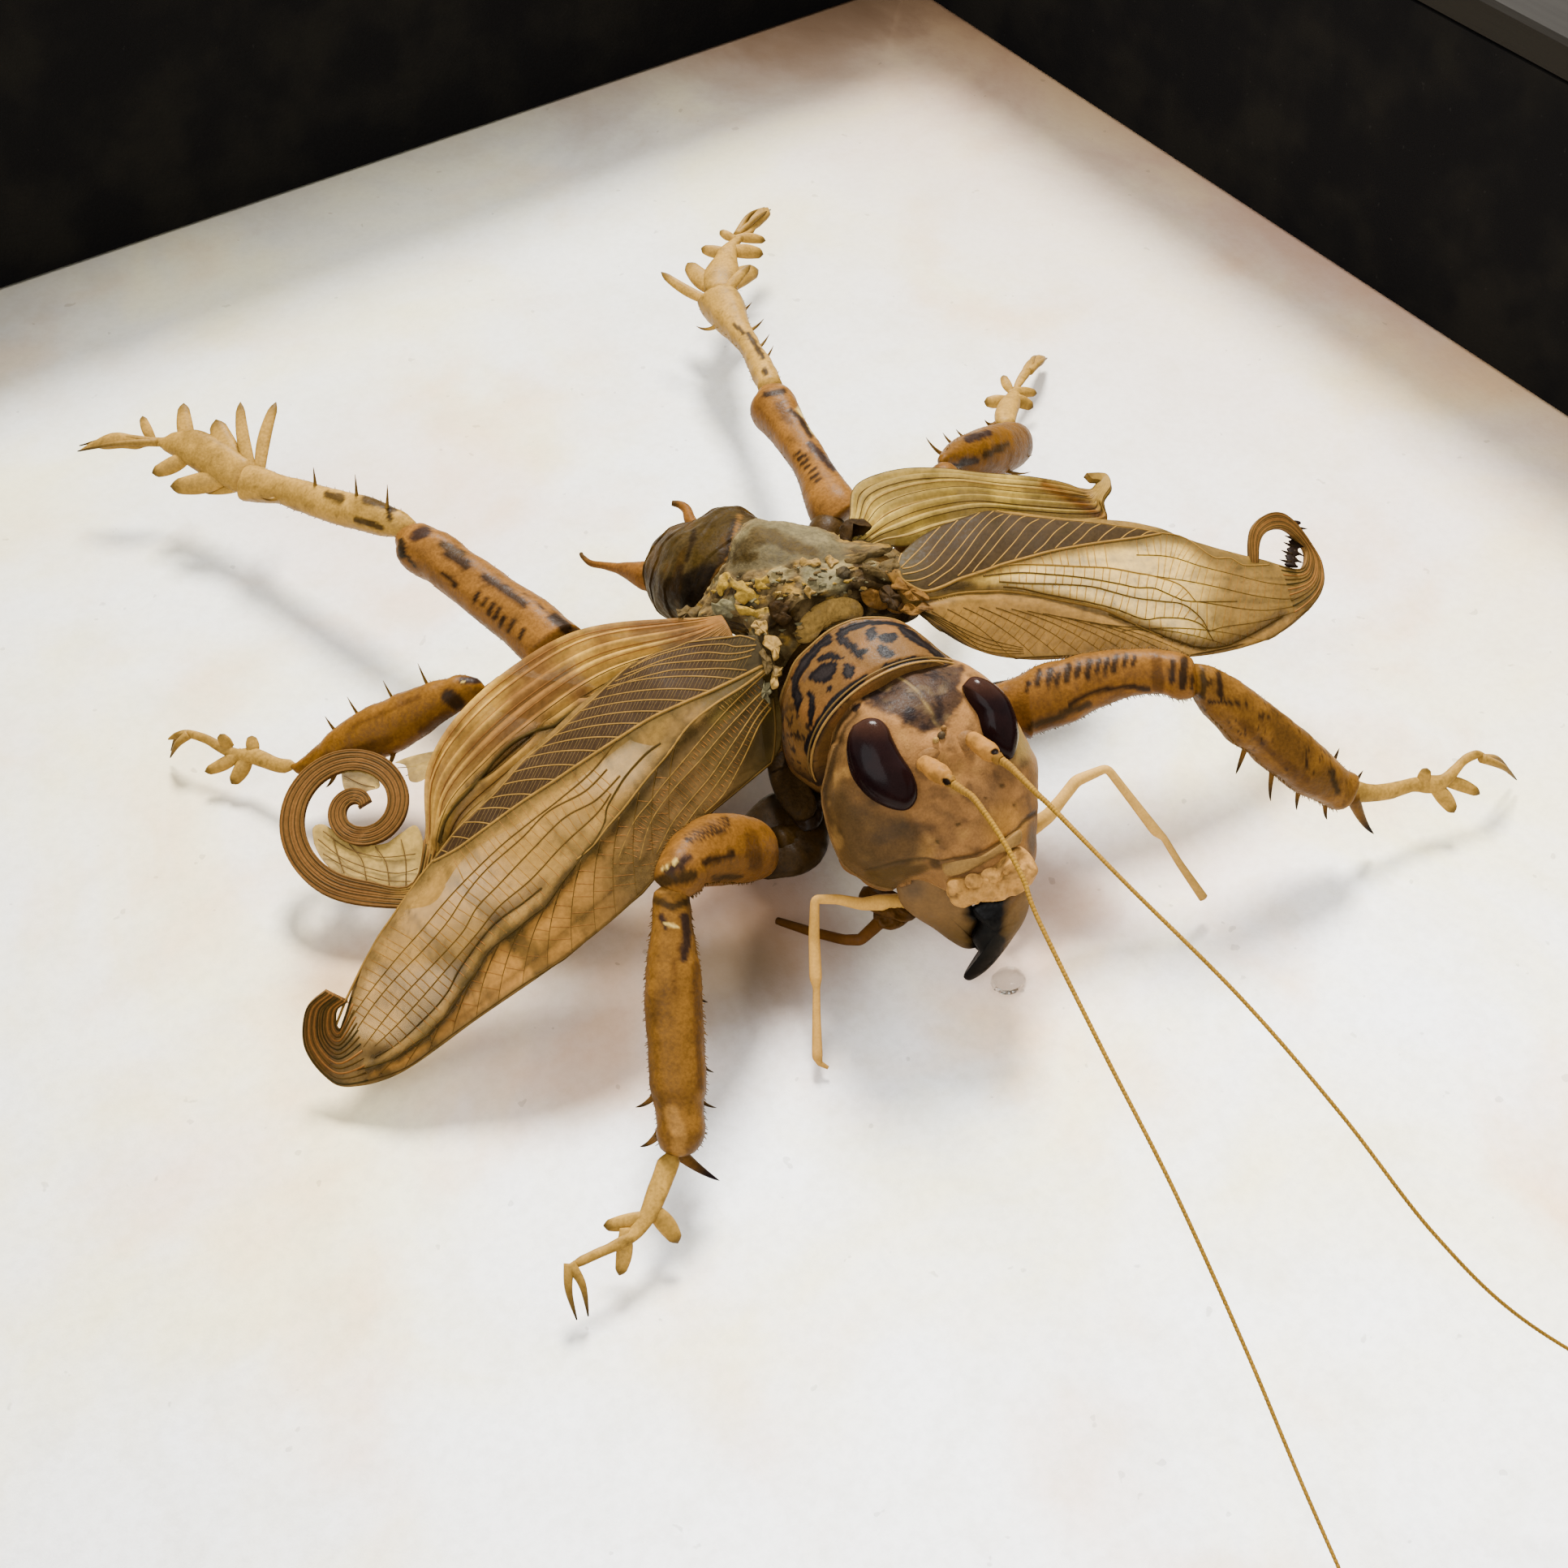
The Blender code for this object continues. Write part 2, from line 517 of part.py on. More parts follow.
LEG_LEAVES = {
    "foreleg_right": [
        (2, 0.98, 340, 34, 4.1, 0.3), (4, 0.05, 187, 68, 2.5, 0.5), (3, 0.92, 327, 30, 2.8, 0.6),
        (4, 0.30, 317, 35, 2.8, 0.5)],
    "foreleg_left": [
        (2, 0.97, 285, 72, 4.2, 0.3), (4, 0.05, 323, 15, 2.7, 0.6), (4, 0.20, 311, 48, 3.6, 0.5),
        (3, 0.92, 110, 0, 1.5, 0.5)],
    "midleg_right": [
        (4, 0.02, 321, 15, 2.6, 0.6), (4, 0.12, 328, 46, 3.2, 0.5), (3, 0.90, 130, 20, 1.4, 0.5),
        (4, 0.30, 101, 40, 1.3, 0.45)],
    "midleg_left": [
        (3, 0.92, 186, -14, 2.0, 0.6), (3, 0.95, 339, 14, 2.7, 0.6), (4, 0.10, 336, 56, 3.2, 0.5),
        (4, 0.20, 158, 37, 1.9, 0.45)],
    "hindleg_right": [
        (2, 0.97, 331, 64, 5.4, 0.35), (2, 0.98, 137, 38, 7.0, 0.55), (2, 0.95, 151, 22, 7.2, 0.55),
        (3, 0.15, 146, 56, 5.9, 1.0), (3, 0.30, 339, 54, 5.6, 0.9), (4, 0.05, 150, 38, 4.8, 0.7),
        (4, 0.10, 342, 38, 3.5, 0.7), (5, 0.05, 145, 22, 2.5, 0.45)],
    "hindleg_left": [
        (2, 0.97, 163, 49, 6.8, 0.5), (2, 0.97, 197, 68, 5.8, 0.3), (2, 0.97, 30, 35, 4.9, 0.5),
        (3, 0.20, 178, 50, 5.4, 0.9), (3, 0.20, 337, 62, 6.6, 1.0), (4, 0.05, 180, 0, 2.6, 0.6),
        (4, 0.05, 343, 34, 3.6, 0.7), (4, 0.80, 165, 10, 1.6, 0.45), (4, 0.80, 348, 27, 3.0, 0.5)],
}
# Share of a leaf's half width at its foot, middle and end
LEAF_SHARES = (0.7, 1.0, 0.7)
# How far out of the leg's middle a branch looks for its foot, on the shin and on the tarsus
SHIN_REACH = 1.2
TARSUS_REACH = 0.4


def leg_axes(start, end, sign):
    """Along a leg's span, towards the insect's front, and away from the paper."""
    along = (end - start).normalized()
    front = (UP.cross(along) * sign).normalized()
    top = (along.cross(front) * sign).normalized()
    if top.z < 0:
        top = -top
    return along, front, top


def aim(axes, roll, lean):
    along, front, top = axes
    around = front * math.cos(math.radians(roll)) + top * math.sin(math.radians(roll))
    return around * math.cos(math.radians(lean)) + along * math.sin(math.radians(lean))


def grow(bm, places, sign, span, share, roll, lean, length, widths):
    """Grow one spine, spur, pad or leaf from a leg's skin; its length counts from the leg's middle."""
    axes = leg_axes(places[span], places[span + 1], sign)
    middle = places[span].lerp(places[span + 1], share)
    reach = SHIN_REACH if span == SHIN else TARSUS_REACH
    branch(bm, middle + aim(axes, roll, 0) * reach, middle + aim(axes, roll, lean) * length, widths)


def build_leg(name, joints, gold, cutters):
    kind, side = name.split("_")
    sign = 1 if side == "right" else -1
    places = [at(*p) for p in joints]
    path = []
    radii = []
    for span, stations in enumerate(LEG_GIRTH[kind]):
        for share, wide, high in stations:
            path.append(places[span].lerp(places[span + 1], share))
            radii.append((wide, high))
    path.append(places[-1])
    radii.append((CLAW_TIP_HALF, CLAW_TIP_HALF))
    bm = bmesh.new()
    tube(bm, path, radii, LEG_SIDES)
    for share, roll, lean, length in LEG_SPINES[name]:
        grow(bm, places, sign, SHIN, share, roll, lean, length, (SPINE_HALF,))
    for span, share, roll, lean, length, half in LEG_LEAVES[name]:
        widths = [half * part for part in LEAF_SHARES]
        grow(bm, places, sign, span, share, roll, lean, length, widths)
    cut_by(add_object(name, bm, gold), *cutters)


def build_legs(around):
    gold = material("leg_gold", (0.52, 0.30, 0.09), 0.4)
    for name, joints in LEG_JOINTS.items():
        near = (around["head"], around["pronotum"]) if name.startswith("fore") else (around["thorax"],)
        build_leg(name, joints, gold, near)


# Wings: rear edge, front edge and crown of each station from root to tip, then along the rolled tip
WINGS = {
    "forewing_right": [
        ((9.9, -10.0, 17.2), (10.6, -8.0, 15.4), 0.3), ((13.0, -12.6, 16.4), (13.4, -4.2, 13.2), 0.8),
        ((18.0, -14.2, 15.0), (18.2, -2.9, 11.8), 1.2), ((24.0, -13.8, 12.8), (25.0, -1.1, 9.9), 1.2),
        ((30.1, -13.0, 10.5), (31.3, -0.8, 8.0), 1.0), ((35.4, -11.6, 8.2), (37.3, -1.6, 5.4), 0.8),
        ((40.6, -9.6, 5.8), (42.4, -2.4, 3.0), 0.5), ((43.6, -7.4, 4.4), (45.4, -4.0, 1.9), 0.2),
        ((44.2, -7.0, 3.9), (46.4, -5.5, 2.1), 0.0), ((44.3, -7.3, 4.1), (46.6, -7.5, 3.3), 0.0),
        ((43.8, -7.8, 4.8), (45.5, -8.8, 5.0), 0.0), ((43.1, -7.7, 5.2), (44.0, -8.7, 6.0), 0.0)],
    "forewing_left": [
        ((-0.6, -9.6, 17.6), (-0.7, -7.6, 16.4), 0.3), ((-5.0, -10.9, 17.9), (-2.6, -3.0, 15.0), 0.8),
        ((-10.7, -10.5, 17.4), (-6.4, -0.6, 13.4), 1.2), ((-15.6, -7.6, 16.6), (-11.4, 1.4, 12.5), 1.2),
        ((-21.4, -4.5, 15.0), (-17.4, 4.0, 11.1), 1.0), ((-25.6, -1.2, 13.2), (-23.2, 5.1, 9.9), 0.8),
        ((-29.2, 1.2, 11.6), (-28.2, 4.9, 9.3), 0.4), ((-31.0, 2.1, 11.0), (-31.8, 3.9, 9.8), 0.0),
        ((-32.4, 0.9, 11.3), (-33.4, 1.6, 10.5), 0.0), ((-31.3, -0.6, 12.7), (-31.9, -1.4, 13.3), 0.0),
        ((-29.0, -0.6, 13.2), (-28.7, -1.4, 13.7), 0.0), ((-27.6, 0.5, 12.0), (-26.9, 0.6, 12.0), 0.0)],
    "hindwing_right": [
        ((9.6, -14.4, 15.2), (10.0, -12.4, 15.2), 0.2), ((12.4, -16.8, 14.4), (13.4, -11.4, 13.4), 0.6),
        ((17.1, -20.4, 13.0), (18.4, -11.6, 11.4), 1.0), ((21.7, -21.5, 11.5), (22.4, -11.8, 9.8), 1.0),
        ((26.7, -21.0, 10.0), (27.0, -12.2, 7.8), 0.9), ((30.2, -19.6, 8.0), (30.8, -13.2, 6.0), 0.6),
        ((32.4, -16.6, 5.6), (33.0, -13.2, 4.2), 0.3)],
    "hindwing_left": [
        ((-0.6, -15.6, 15.6), (-0.6, -13.0, 16.2), 0.2), ((-4.4, -19.0, 15.4), (-5.0, -13.4, 16.0), 0.6),
        ((-9.6, -20.6, 14.6), (-10.0, -12.9, 15.9), 0.9), ((-14.4, -18.4, 13.8), (-14.6, -12.0, 15.0), 0.8),
        ((-18.8, -15.4, 12.8), (-18.4, -10.6, 13.6), 0.5), ((-21.8, -13.2, 12.2), (-21.4, -10.6, 12.6), 0.2),
        ((-23.0, -12.3, 12.2), (-23.2, -11.3, 12.3), 0.0), ((-23.2, -12.2, 12.9), (-23.8, -11.7, 13.1), 0.0),
        ((-22.8, -12.5, 13.1), (-22.6, -12.9, 13.4), 0.0)],
}
WING_THICK = 0.34
WING_COLUMNS = 5
WING_ROWS = 20
# A wing thickens to this where it is rolled, which starts below this width
ROLL_THICK = 0.9
ROLL_WIDTH = 4.0
# The coil of the right hindwing: a flat spiral that winds inwards, clockwise from above
COIL_CENTRE = (35.3, -21.2, 5.6)
COIL_ACROSS = (-0.80, 0.60, 0.0)
COIL_RISE = (-0.555, -0.74, 0.38)
COIL_START = 7.6
COIL_END = 0.5
COIL_SHRINK = 0.5
COIL_TURNS = -1.76
COIL_FIRST_ANGLE = -0.91
COIL_HALF = 0.85
COIL_HALF_SHRINK = 0.45
COIL_STEPS = 24


def coil_stations():
    """Outer and inner edge of the spiral ribbon, from the wing to its inner end."""
    across = Vector(COIL_ACROSS).normalized()
    rise = Vector(COIL_RISE).normalized()
    centre = at(*COIL_CENTRE)
    stations = []
    for i in range(COIL_STEPS + 1):
        share = i / COIL_STEPS
        angle = COIL_FIRST_ANGLE + math.tau * COIL_TURNS * share
        radius = COIL_START + (COIL_END - COIL_START) * share ** COIL_SHRINK
        half = min(COIL_HALF * (1.0 - COIL_HALF_SHRINK * share), radius)
        arm = across * math.cos(angle) + rise * math.sin(angle)
        stations.append((centre + arm * (radius - half), centre + arm * (radius + half), 0.0))
    return stations


def wing_sheet(stations, rows):
    """Rows of points across the wing, crowned between its edges."""
    rear = resample([s[0] for s in stations], rows)
    front = resample([s[1] for s in stations], rows)
    crown = resample([s[2] for s in stations], rows)
    sheet = []
    for i in range(rows):
        line = []
        for j in range(WING_COLUMNS + 1):
            share = j / WING_COLUMNS
            lift = crown[i] * 4 * share * (1 - share)
            line.append(rear[i].lerp(front[i], share) + UP * lift)
        sheet.append(line)
    return sheet


def wing_shape(stations, rows):
    """A thin closed sheet through the stations, thicker where it is rolled or coiled."""
    sheet = wing_sheet(stations, rows)
    rings = []
    for i, line in enumerate(sheet):
        ahead = sheet[min(i + 1, rows - 1)]
        back = sheet[max(i - 1, 0)]
        width = (line[-1] - line[0]).length
        half = (WING_THICK + (ROLL_THICK - WING_THICK) * max(0.0, 1 - width / ROLL_WIDTH)) / 2
        upper = []
        lower = []
        for j, point in enumerate(line):
            across = line[min(j + 1, WING_COLUMNS)] - line[max(j - 1, 0)]
            normal = (ahead[j] - back[j]).cross(across).normalized()
            upper.append(point + normal * half)
            lower.append(point - normal * half)
        rings.append(upper + list(reversed(lower)))
    bm = bmesh.new()
    skin(bm, rings)
    return bm


def build_wings(around):
    gauze = material("wing_gauze", (0.50, 0.36, 0.18), 0.35)
    for name, listed in WINGS.items():
        stations = [(at(*rear), at(*front), crown) for rear, front, crown in listed]
        rows = WING_ROWS
        if name == "hindwing_right":
            stations += coil_stations()
            rows = WING_ROWS + COIL_STEPS
        item = add_object(name, wing_shape(stations, rows), gauze)
        cut_by(item, around["thorax"], around["pronotum"])


def main():
    clear_scene()
    build_frame()
    around = build_body()
    build_head_parts(around)
    build_legs(around)
    build_wings(around)


main()
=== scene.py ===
"""Looks of the framed desert cricket: finishes for the tray frame, and the insect in full detail.

Millimetres in the script, metres in the meshes, in the part's own frame: +X across, +Y towards the
insect's head, +Z out of the paper. Right and left are the insect's own. Places on the insect count z
from the paper. Pixels are those of the 1932 x 1932 photograph.
"""
import math

import bpy
import numpy as np
from mathutils import Matrix, Vector
from mathutils.bvhtree import BVHTree


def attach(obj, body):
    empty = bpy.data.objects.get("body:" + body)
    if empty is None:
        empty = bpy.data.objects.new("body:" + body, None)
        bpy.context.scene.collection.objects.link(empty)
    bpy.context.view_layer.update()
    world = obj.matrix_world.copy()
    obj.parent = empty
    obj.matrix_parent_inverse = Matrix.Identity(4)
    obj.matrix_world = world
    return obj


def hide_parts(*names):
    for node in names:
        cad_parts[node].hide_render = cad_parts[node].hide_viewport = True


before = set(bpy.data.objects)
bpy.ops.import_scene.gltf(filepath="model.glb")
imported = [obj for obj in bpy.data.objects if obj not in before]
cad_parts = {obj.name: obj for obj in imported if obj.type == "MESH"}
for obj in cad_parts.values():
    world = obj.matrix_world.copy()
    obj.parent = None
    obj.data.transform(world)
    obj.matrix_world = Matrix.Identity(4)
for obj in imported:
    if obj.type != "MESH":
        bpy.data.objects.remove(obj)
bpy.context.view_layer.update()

MM = 0.001
PAPER_TOP = 5.8
UP = np.array([0.0, 0.0, 1.0])
TAU = math.tau

# The photograph's camera: place in millimetres, aim in degrees, focal length in pixels
PHOTO_SIZE = 1932
CAMERA_PLACE = np.array([60.94, 61.25, 105.23 + PAPER_TOP])
CAMERA_DIP = 49.64
CAMERA_TURN = 37.06
CAMERA_ROLL = 1.81
CAMERA_FOCAL = 2300.0
SENSOR = 36.0


# Camera and light

def camera_axes():
    """Right, up and forward of the camera."""
    dip = math.radians(CAMERA_DIP)
    turn = math.radians(CAMERA_TURN)
    roll = math.radians(CAMERA_ROLL)
    forward = np.array([-math.sin(turn) * math.cos(dip), -math.cos(turn) * math.cos(dip), -math.sin(dip)])
    level = np.cross(forward, UP)
    level /= np.linalg.norm(level)
    above = np.cross(level, forward)
    right = level * math.cos(roll) + above * math.sin(roll)
    return right, np.cross(right, forward), forward


RIGHT, ABOVE, FORWARD = camera_axes()


def photo(points):
    """Pixels of places given in millimetres."""
    gap = np.asarray(points, float) - CAMERA_PLACE
    depth = gap @ FORWARD
    half = PHOTO_SIZE / 2
    return np.stack([half + CAMERA_FOCAL * (gap @ RIGHT) / depth,
                     half - CAMERA_FOCAL * (gap @ ABOVE) / depth], axis=-1)


def ray(pixel):
    """Direction from the camera through a pixel."""
    half = PHOTO_SIZE / 2
    way = FORWARD + RIGHT * (pixel[0] - half) / CAMERA_FOCAL + ABOVE * (half - pixel[1]) / CAMERA_FOCAL
    return way / np.linalg.norm(way)


def add_camera():
    lens = bpy.data.cameras.new("photo_camera")
    lens.sensor_width = SENSOR
    lens.lens = CAMERA_FOCAL / PHOTO_SIZE * SENSOR
    lens.clip_start = 0.001
    lens.clip_end = 10.0
    camera = bpy.data.objects.new("photo_camera", lens)
    bpy.context.scene.collection.objects.link(camera)
    turn = Matrix((RIGHT, ABOVE, -FORWARD)).transposed().to_4x4()
    camera.matrix_world = Matrix.Translation(Vector(CAMERA_PLACE * MM)) @ turn
    bpy.context.scene.camera = camera


def add_light(name, place, aim, size, power, colour=(1.0, 1.0, 1.0)):
    lamp = bpy.data.lights.new(name, "AREA")
    lamp.shape = "DISK"
    lamp.size = size
    lamp.energy = power
    lamp.color = colour
    item = bpy.data.objects.new(name, lamp)
    bpy.context.scene.collection.objects.link(item)
    item.location = place
    item.rotation_euler = (Vector(aim) - Vector(place)).to_track_quat("-Z", "Y").to_euler()


def add_studio():
    world = bpy.data.worlds.new("studio")
    bpy.context.scene.world = world
    world.use_nodes = True
    sky = world.node_tree.nodes["Background"]
    sky.inputs["Color"].default_value = (1.0, 0.99, 0.97, 1.0)
    sky.inputs["Strength"].default_value = 1.55
    aim = (0.0, 0.0, 0.01)
    add_light("key_light", (-0.42, -0.62, 0.85), aim, 0.30, 62.0, (1.0, 0.98, 0.94))
    add_light("fill_light", (0.75, 0.25, 0.7), aim, 0.9, 14.0, (0.97, 0.98, 1.0))
    bpy.ops.mesh.primitive_plane_add(size=3.0, location=(0.0, 0.0, -0.0004))
    floor = bpy.context.object
    floor.name = "floor"
    floor.data.materials.append(plain("floor_pale", (0.60, 0.585, 0.56), 0.7))


# Numbers, curves and noise

def unit(rows):
    rows = np.asarray(rows, float)
    return rows / np.maximum(np.linalg.norm(rows, axis=-1, keepdims=True), 1e-9)


def at(points):
    """Places on the insect, with z counted from the paper."""
    return np.asarray(points, float) + (0.0, 0.0, PAPER_TOP)


def spline(values, count):
    """Smooth curve through evenly spaced rows of numbers."""
    v = np.asarray(values, float)
    if v.ndim == 1:
        return spline(v[:, None], count)[:, 0]
    last = len(v) - 1
    t = np.linspace(0, last, count)
    i = np.minimum(t.astype(int), last - 1)
    f = (t - i)[:, None]
    a, b, c, d = v[np.maximum(i - 1, 0)], v[i], v[i + 1], v[np.minimum(i + 2, last)]
    return b + (c - a) * f / 2 + (2 * a - 5 * b + 4 * c - d) * f ** 2 / 2 + (3 * (b - c) + d - a) * f ** 3 / 2


def route(points, count):
    """Even steps of length along a smooth curve through the points."""
    dense = spline(points, 12 * len(points))
    run = np.concatenate(([0.0], np.cumsum(np.linalg.norm(np.diff(dense, axis=0), axis=1))))
    want = np.linspace(0, run[-1], count)
    return np.stack([np.interp(want, run, dense[:, k]) for k in range(dense.shape[1])], axis=1)


def ease(x, low, high):
    """0 below low, 1 above high, smooth between."""
    t = np.clip((np.asarray(x, float) - low) / (high - low), 0, 1)
    return t * t * (3 - 2 * t)


def leftward(px, start, end):
    """Ease from 0 to 1 as pixels go left from one column to another."""
    return ease(-px[:, 0], -start, -end)


def upward(px, start, end):
    """Ease from 0 to 1 as pixels go up from one row to another."""
    return ease(-px[:, 1], -start, -end)


def lattice(cells, seed):
    """A repeatable number from -1 to 1 for each cell of a lattice."""
    n = cells[..., 0] * 374761393 + cells[..., 1] * 668265263 + cells[...,
            2] * 2147483647 + seed * 974634777
    n = (n ^ (n >> 13)) & 0x7FFFFFFF
    n = (n * 1274126177) & 0x7FFFFFFF
    return ((n ^ (n >> 16)) & 0xFFFF) / 32767.5 - 1


def cloud(points, size, seed, octaves=3):
    """Soft random field from about -1 to 1, with features of the given size."""
    p = np.asarray(points, float)
    if p.shape[-1] == 2:
        p = np.concatenate([p, np.zeros(p.shape[:-1] + (1,))], axis=-1)
    total = np.zeros(p.shape[:-1])
    share = 1.0
    whole = 0.0
    for octave in range(octaves):
        q = p / size * 2 ** octave + 17.3 * octave
        cell = np.floor(q).astype(np.int64)
        f = q - cell
        f = f * f * (3 - 2 * f)
        value = np.zeros(p.shape[:-1])
        for corner in range(8):
            step = np.array([corner & 1, corner >> 1 & 1, corner >> 2])
            weight = np.prod(np.where(step, f, 1 - f), axis=-1)
            value += weight * lattice(cell + step, seed + octave)
        total += value * share
        whole += share
        share *= 0.55
    return total / whole * 1.6


def to_line(points, line):
    """Distance of each 2-D point from a polyline."""
    p = np.asarray(points, float)
    best = np.full(len(p), 1e9)
    line = np.asarray(line, float)
    for a, b in zip(line, line[1:]):
        way = b - a
        t = np.clip(((p - a) @ way) / max(way @ way, 1e-9), 0, 1)
        best = np.minimum(best, np.linalg.norm(p - a - t[:, None] * way, axis=1))
    return best


def within(points, outline):
    """Distance inside a closed 2-D outline, negative outside it."""
    p = np.asarray(points, float)
    ring = np.asarray(outline, float)
    inside = np.zeros(len(p), bool)
    for a, b in zip(ring, np.roll(ring, -1, axis=0)):
        crosses = (a[1] > p[:, 1]) != (b[1] > p[:, 1])
        x = a[0] + (p[:, 1] - a[1]) * (b[0] - a[0]) / (b[1] - a[1] if b[1] != a[1] else 1e-9)
        inside ^= crosses & (p[:, 0] < x)
    edge = to_line(p, np.vstack([ring, ring[:1]]))
    return np.where(inside, edge, -edge)


def blotch(points, centre, long, short, angle):
    """1 in the middle of a tilted ellipse, 0 at its edge, negative outside."""
    turn = math.radians(angle)
    d = np.asarray(points, float) - centre
    along = d[:, 0] * math.cos(turn) + d[:, 1] * math.sin(turn)
    across = -d[:, 0] * math.sin(turn) + d[:, 1] * math.cos(turn)
    return 1 - np.hypot(along / long, across / short)


# Colours and finishes

def lay(paint, colour, mask):
    """Paint a colour over others where the mask is 1."""
    m = np.clip(mask, 0, 1)[:, None]
    return paint * (1 - m) + np.asarray(colour) * m


def stain(paint, colour, points, scale, seed, low, high, share):
    """Paint cloudy patches of a colour over others."""
    return lay(paint, tone(*colour), ease(cloud(points, scale, seed), low, high) * share)


def spot(paint, colour, px, centre, wide, high, turn, start, full, share):
    """Paint one soft oval of a colour, placed in pixels."""
    return lay(paint, tone(*colour), ease(blotch(px, centre, wide, high, turn), start, full) * share)


def plain(name, colour, roughness):
    finish = bpy.data.materials.new(name)
    finish.use_nodes = True
    shader = finish.node_tree.nodes["Principled BSDF"]
    shader.inputs["Base Color"].default_value = (*colour, 1.0)
    shader.inputs["Roughness"].default_value = roughness
    return finish


class Tree:
    """Short ways to wire a material's nodes."""

    def __init__(self, name):
        self.finish = bpy.data.materials.new(name)
        self.finish.use_nodes = True
        self.nodes = self.finish.node_tree.nodes
        self.links = self.finish.node_tree.links
        self.shader = self.nodes["Principled BSDF"]
        self.place = self.add("ShaderNodeNewGeometry").outputs["Position"]

    def add(self, kind, **settings):
        node = self.nodes.new(kind)
        for key, value in settings.items():
            setattr(node, key, value)
        return node

    def set(self, socket, value):
        if isinstance(value, bpy.types.NodeSocket):
            self.links.new(value, socket)
        else:
            socket.default_value = value

    def noise(self, size, detail=4.0, rough=0.55, where=None, distort=0.0):
        """Noise with features of the given size in millimetres."""
        node = self.add("ShaderNodeTexNoise")
        self.set(node.inputs["Vector"], where or self.place)
        node.inputs["Scale"].default_value = 1 / (size * MM)
        node.inputs["Detail"].default_value = detail
        node.inputs["Roughness"].default_value = rough
        node.inputs["Distortion"].default_value = distort
        return node.outputs["Fac"]

    def ramp(self, factor, low, high, start=0.0, end=1.0):
        node = self.add("ShaderNodeMapRange", interpolation_type="SMOOTHSTEP")
        self.set(node.inputs["Value"], factor)
        for key, value in (("From Min", low), ("From Max", high), ("To Min", start), ("To Max", end)):
            node.inputs[key].default_value = value
        return node.outputs["Result"]

    def maths(self, operation, a, b):
        node = self.add("ShaderNodeMath", operation=operation)
        self.set(node.inputs[0], a)
        self.set(node.inputs[1], b)
        return node.outputs[0]

    def mix(self, factor, a, b, blend="MIX"):
        node = self.add("ShaderNodeMix", data_type="RGBA", blend_type=blend)
        self.set(node.inputs["Factor"], factor)
        for socket, value in ((node.inputs[6], a), (node.inputs[7], b)):
            if isinstance(value, bpy.types.NodeSocket):
                self.links.new(value, socket)
            else:
                socket.default_value = (*value, 1.0)
        return node.outputs[2]

    def bump(self, height, depth, under=None):
        """Relief of the given depth in millimetres."""
        node = self.add("ShaderNodeBump")
        node.inputs["Distance"].default_value = depth * MM
        self.set(node.inputs["Height"], height)
        if under is not None:
            self.links.new(under, node.inputs["Normal"])
        return node.outputs["Normal"]


def cuticle(name, roughness=0.42, relief=0.03, grain=0.25, mottle=0.18, gloss=0.4, see_through=False):
    """Dry insect skin: the painted colour, broken by fine clouds, with a pitted satin surface."""
    tree = Tree(name)
    paint = tree.add("ShaderNodeAttribute", attribute_name="paint")
    fine = tree.noise(grain, 3.0)
    broad = tree.noise(grain * 6, 4.0)
    shade = tree.ramp(fine, 0.3, 0.7, 1 - mottle, 1 + mottle * 0.6)
    wide = tree.ramp(broad, 0.35, 0.65, 1 - mottle * 0.6, 1 + mottle * 0.5)
    scale = tree.maths("MULTIPLY", shade, wide)
    grey = tree.add("ShaderNodeCombineColor")
    for channel in grey.inputs:
        tree.links.new(scale, channel)
    colour = tree.mix(1.0, paint.outputs["Color"], grey.outputs[0], "MULTIPLY")
    tree.links.new(colour, tree.shader.inputs["Base Color"])
    tree.links.new(tree.ramp(fine, 0.3, 0.7, roughness - 0.08, roughness + 0.12),
                   tree.shader.inputs["Roughness"])
    tree.shader.inputs["Specular IOR Level"].default_value = gloss
    tree.links.new(tree.bump(fine, relief), tree.shader.inputs["Normal"])
    if see_through:
        tree.links.new(paint.outputs["Alpha"], tree.shader.inputs["Alpha"])
    return tree.finish


# Meshes

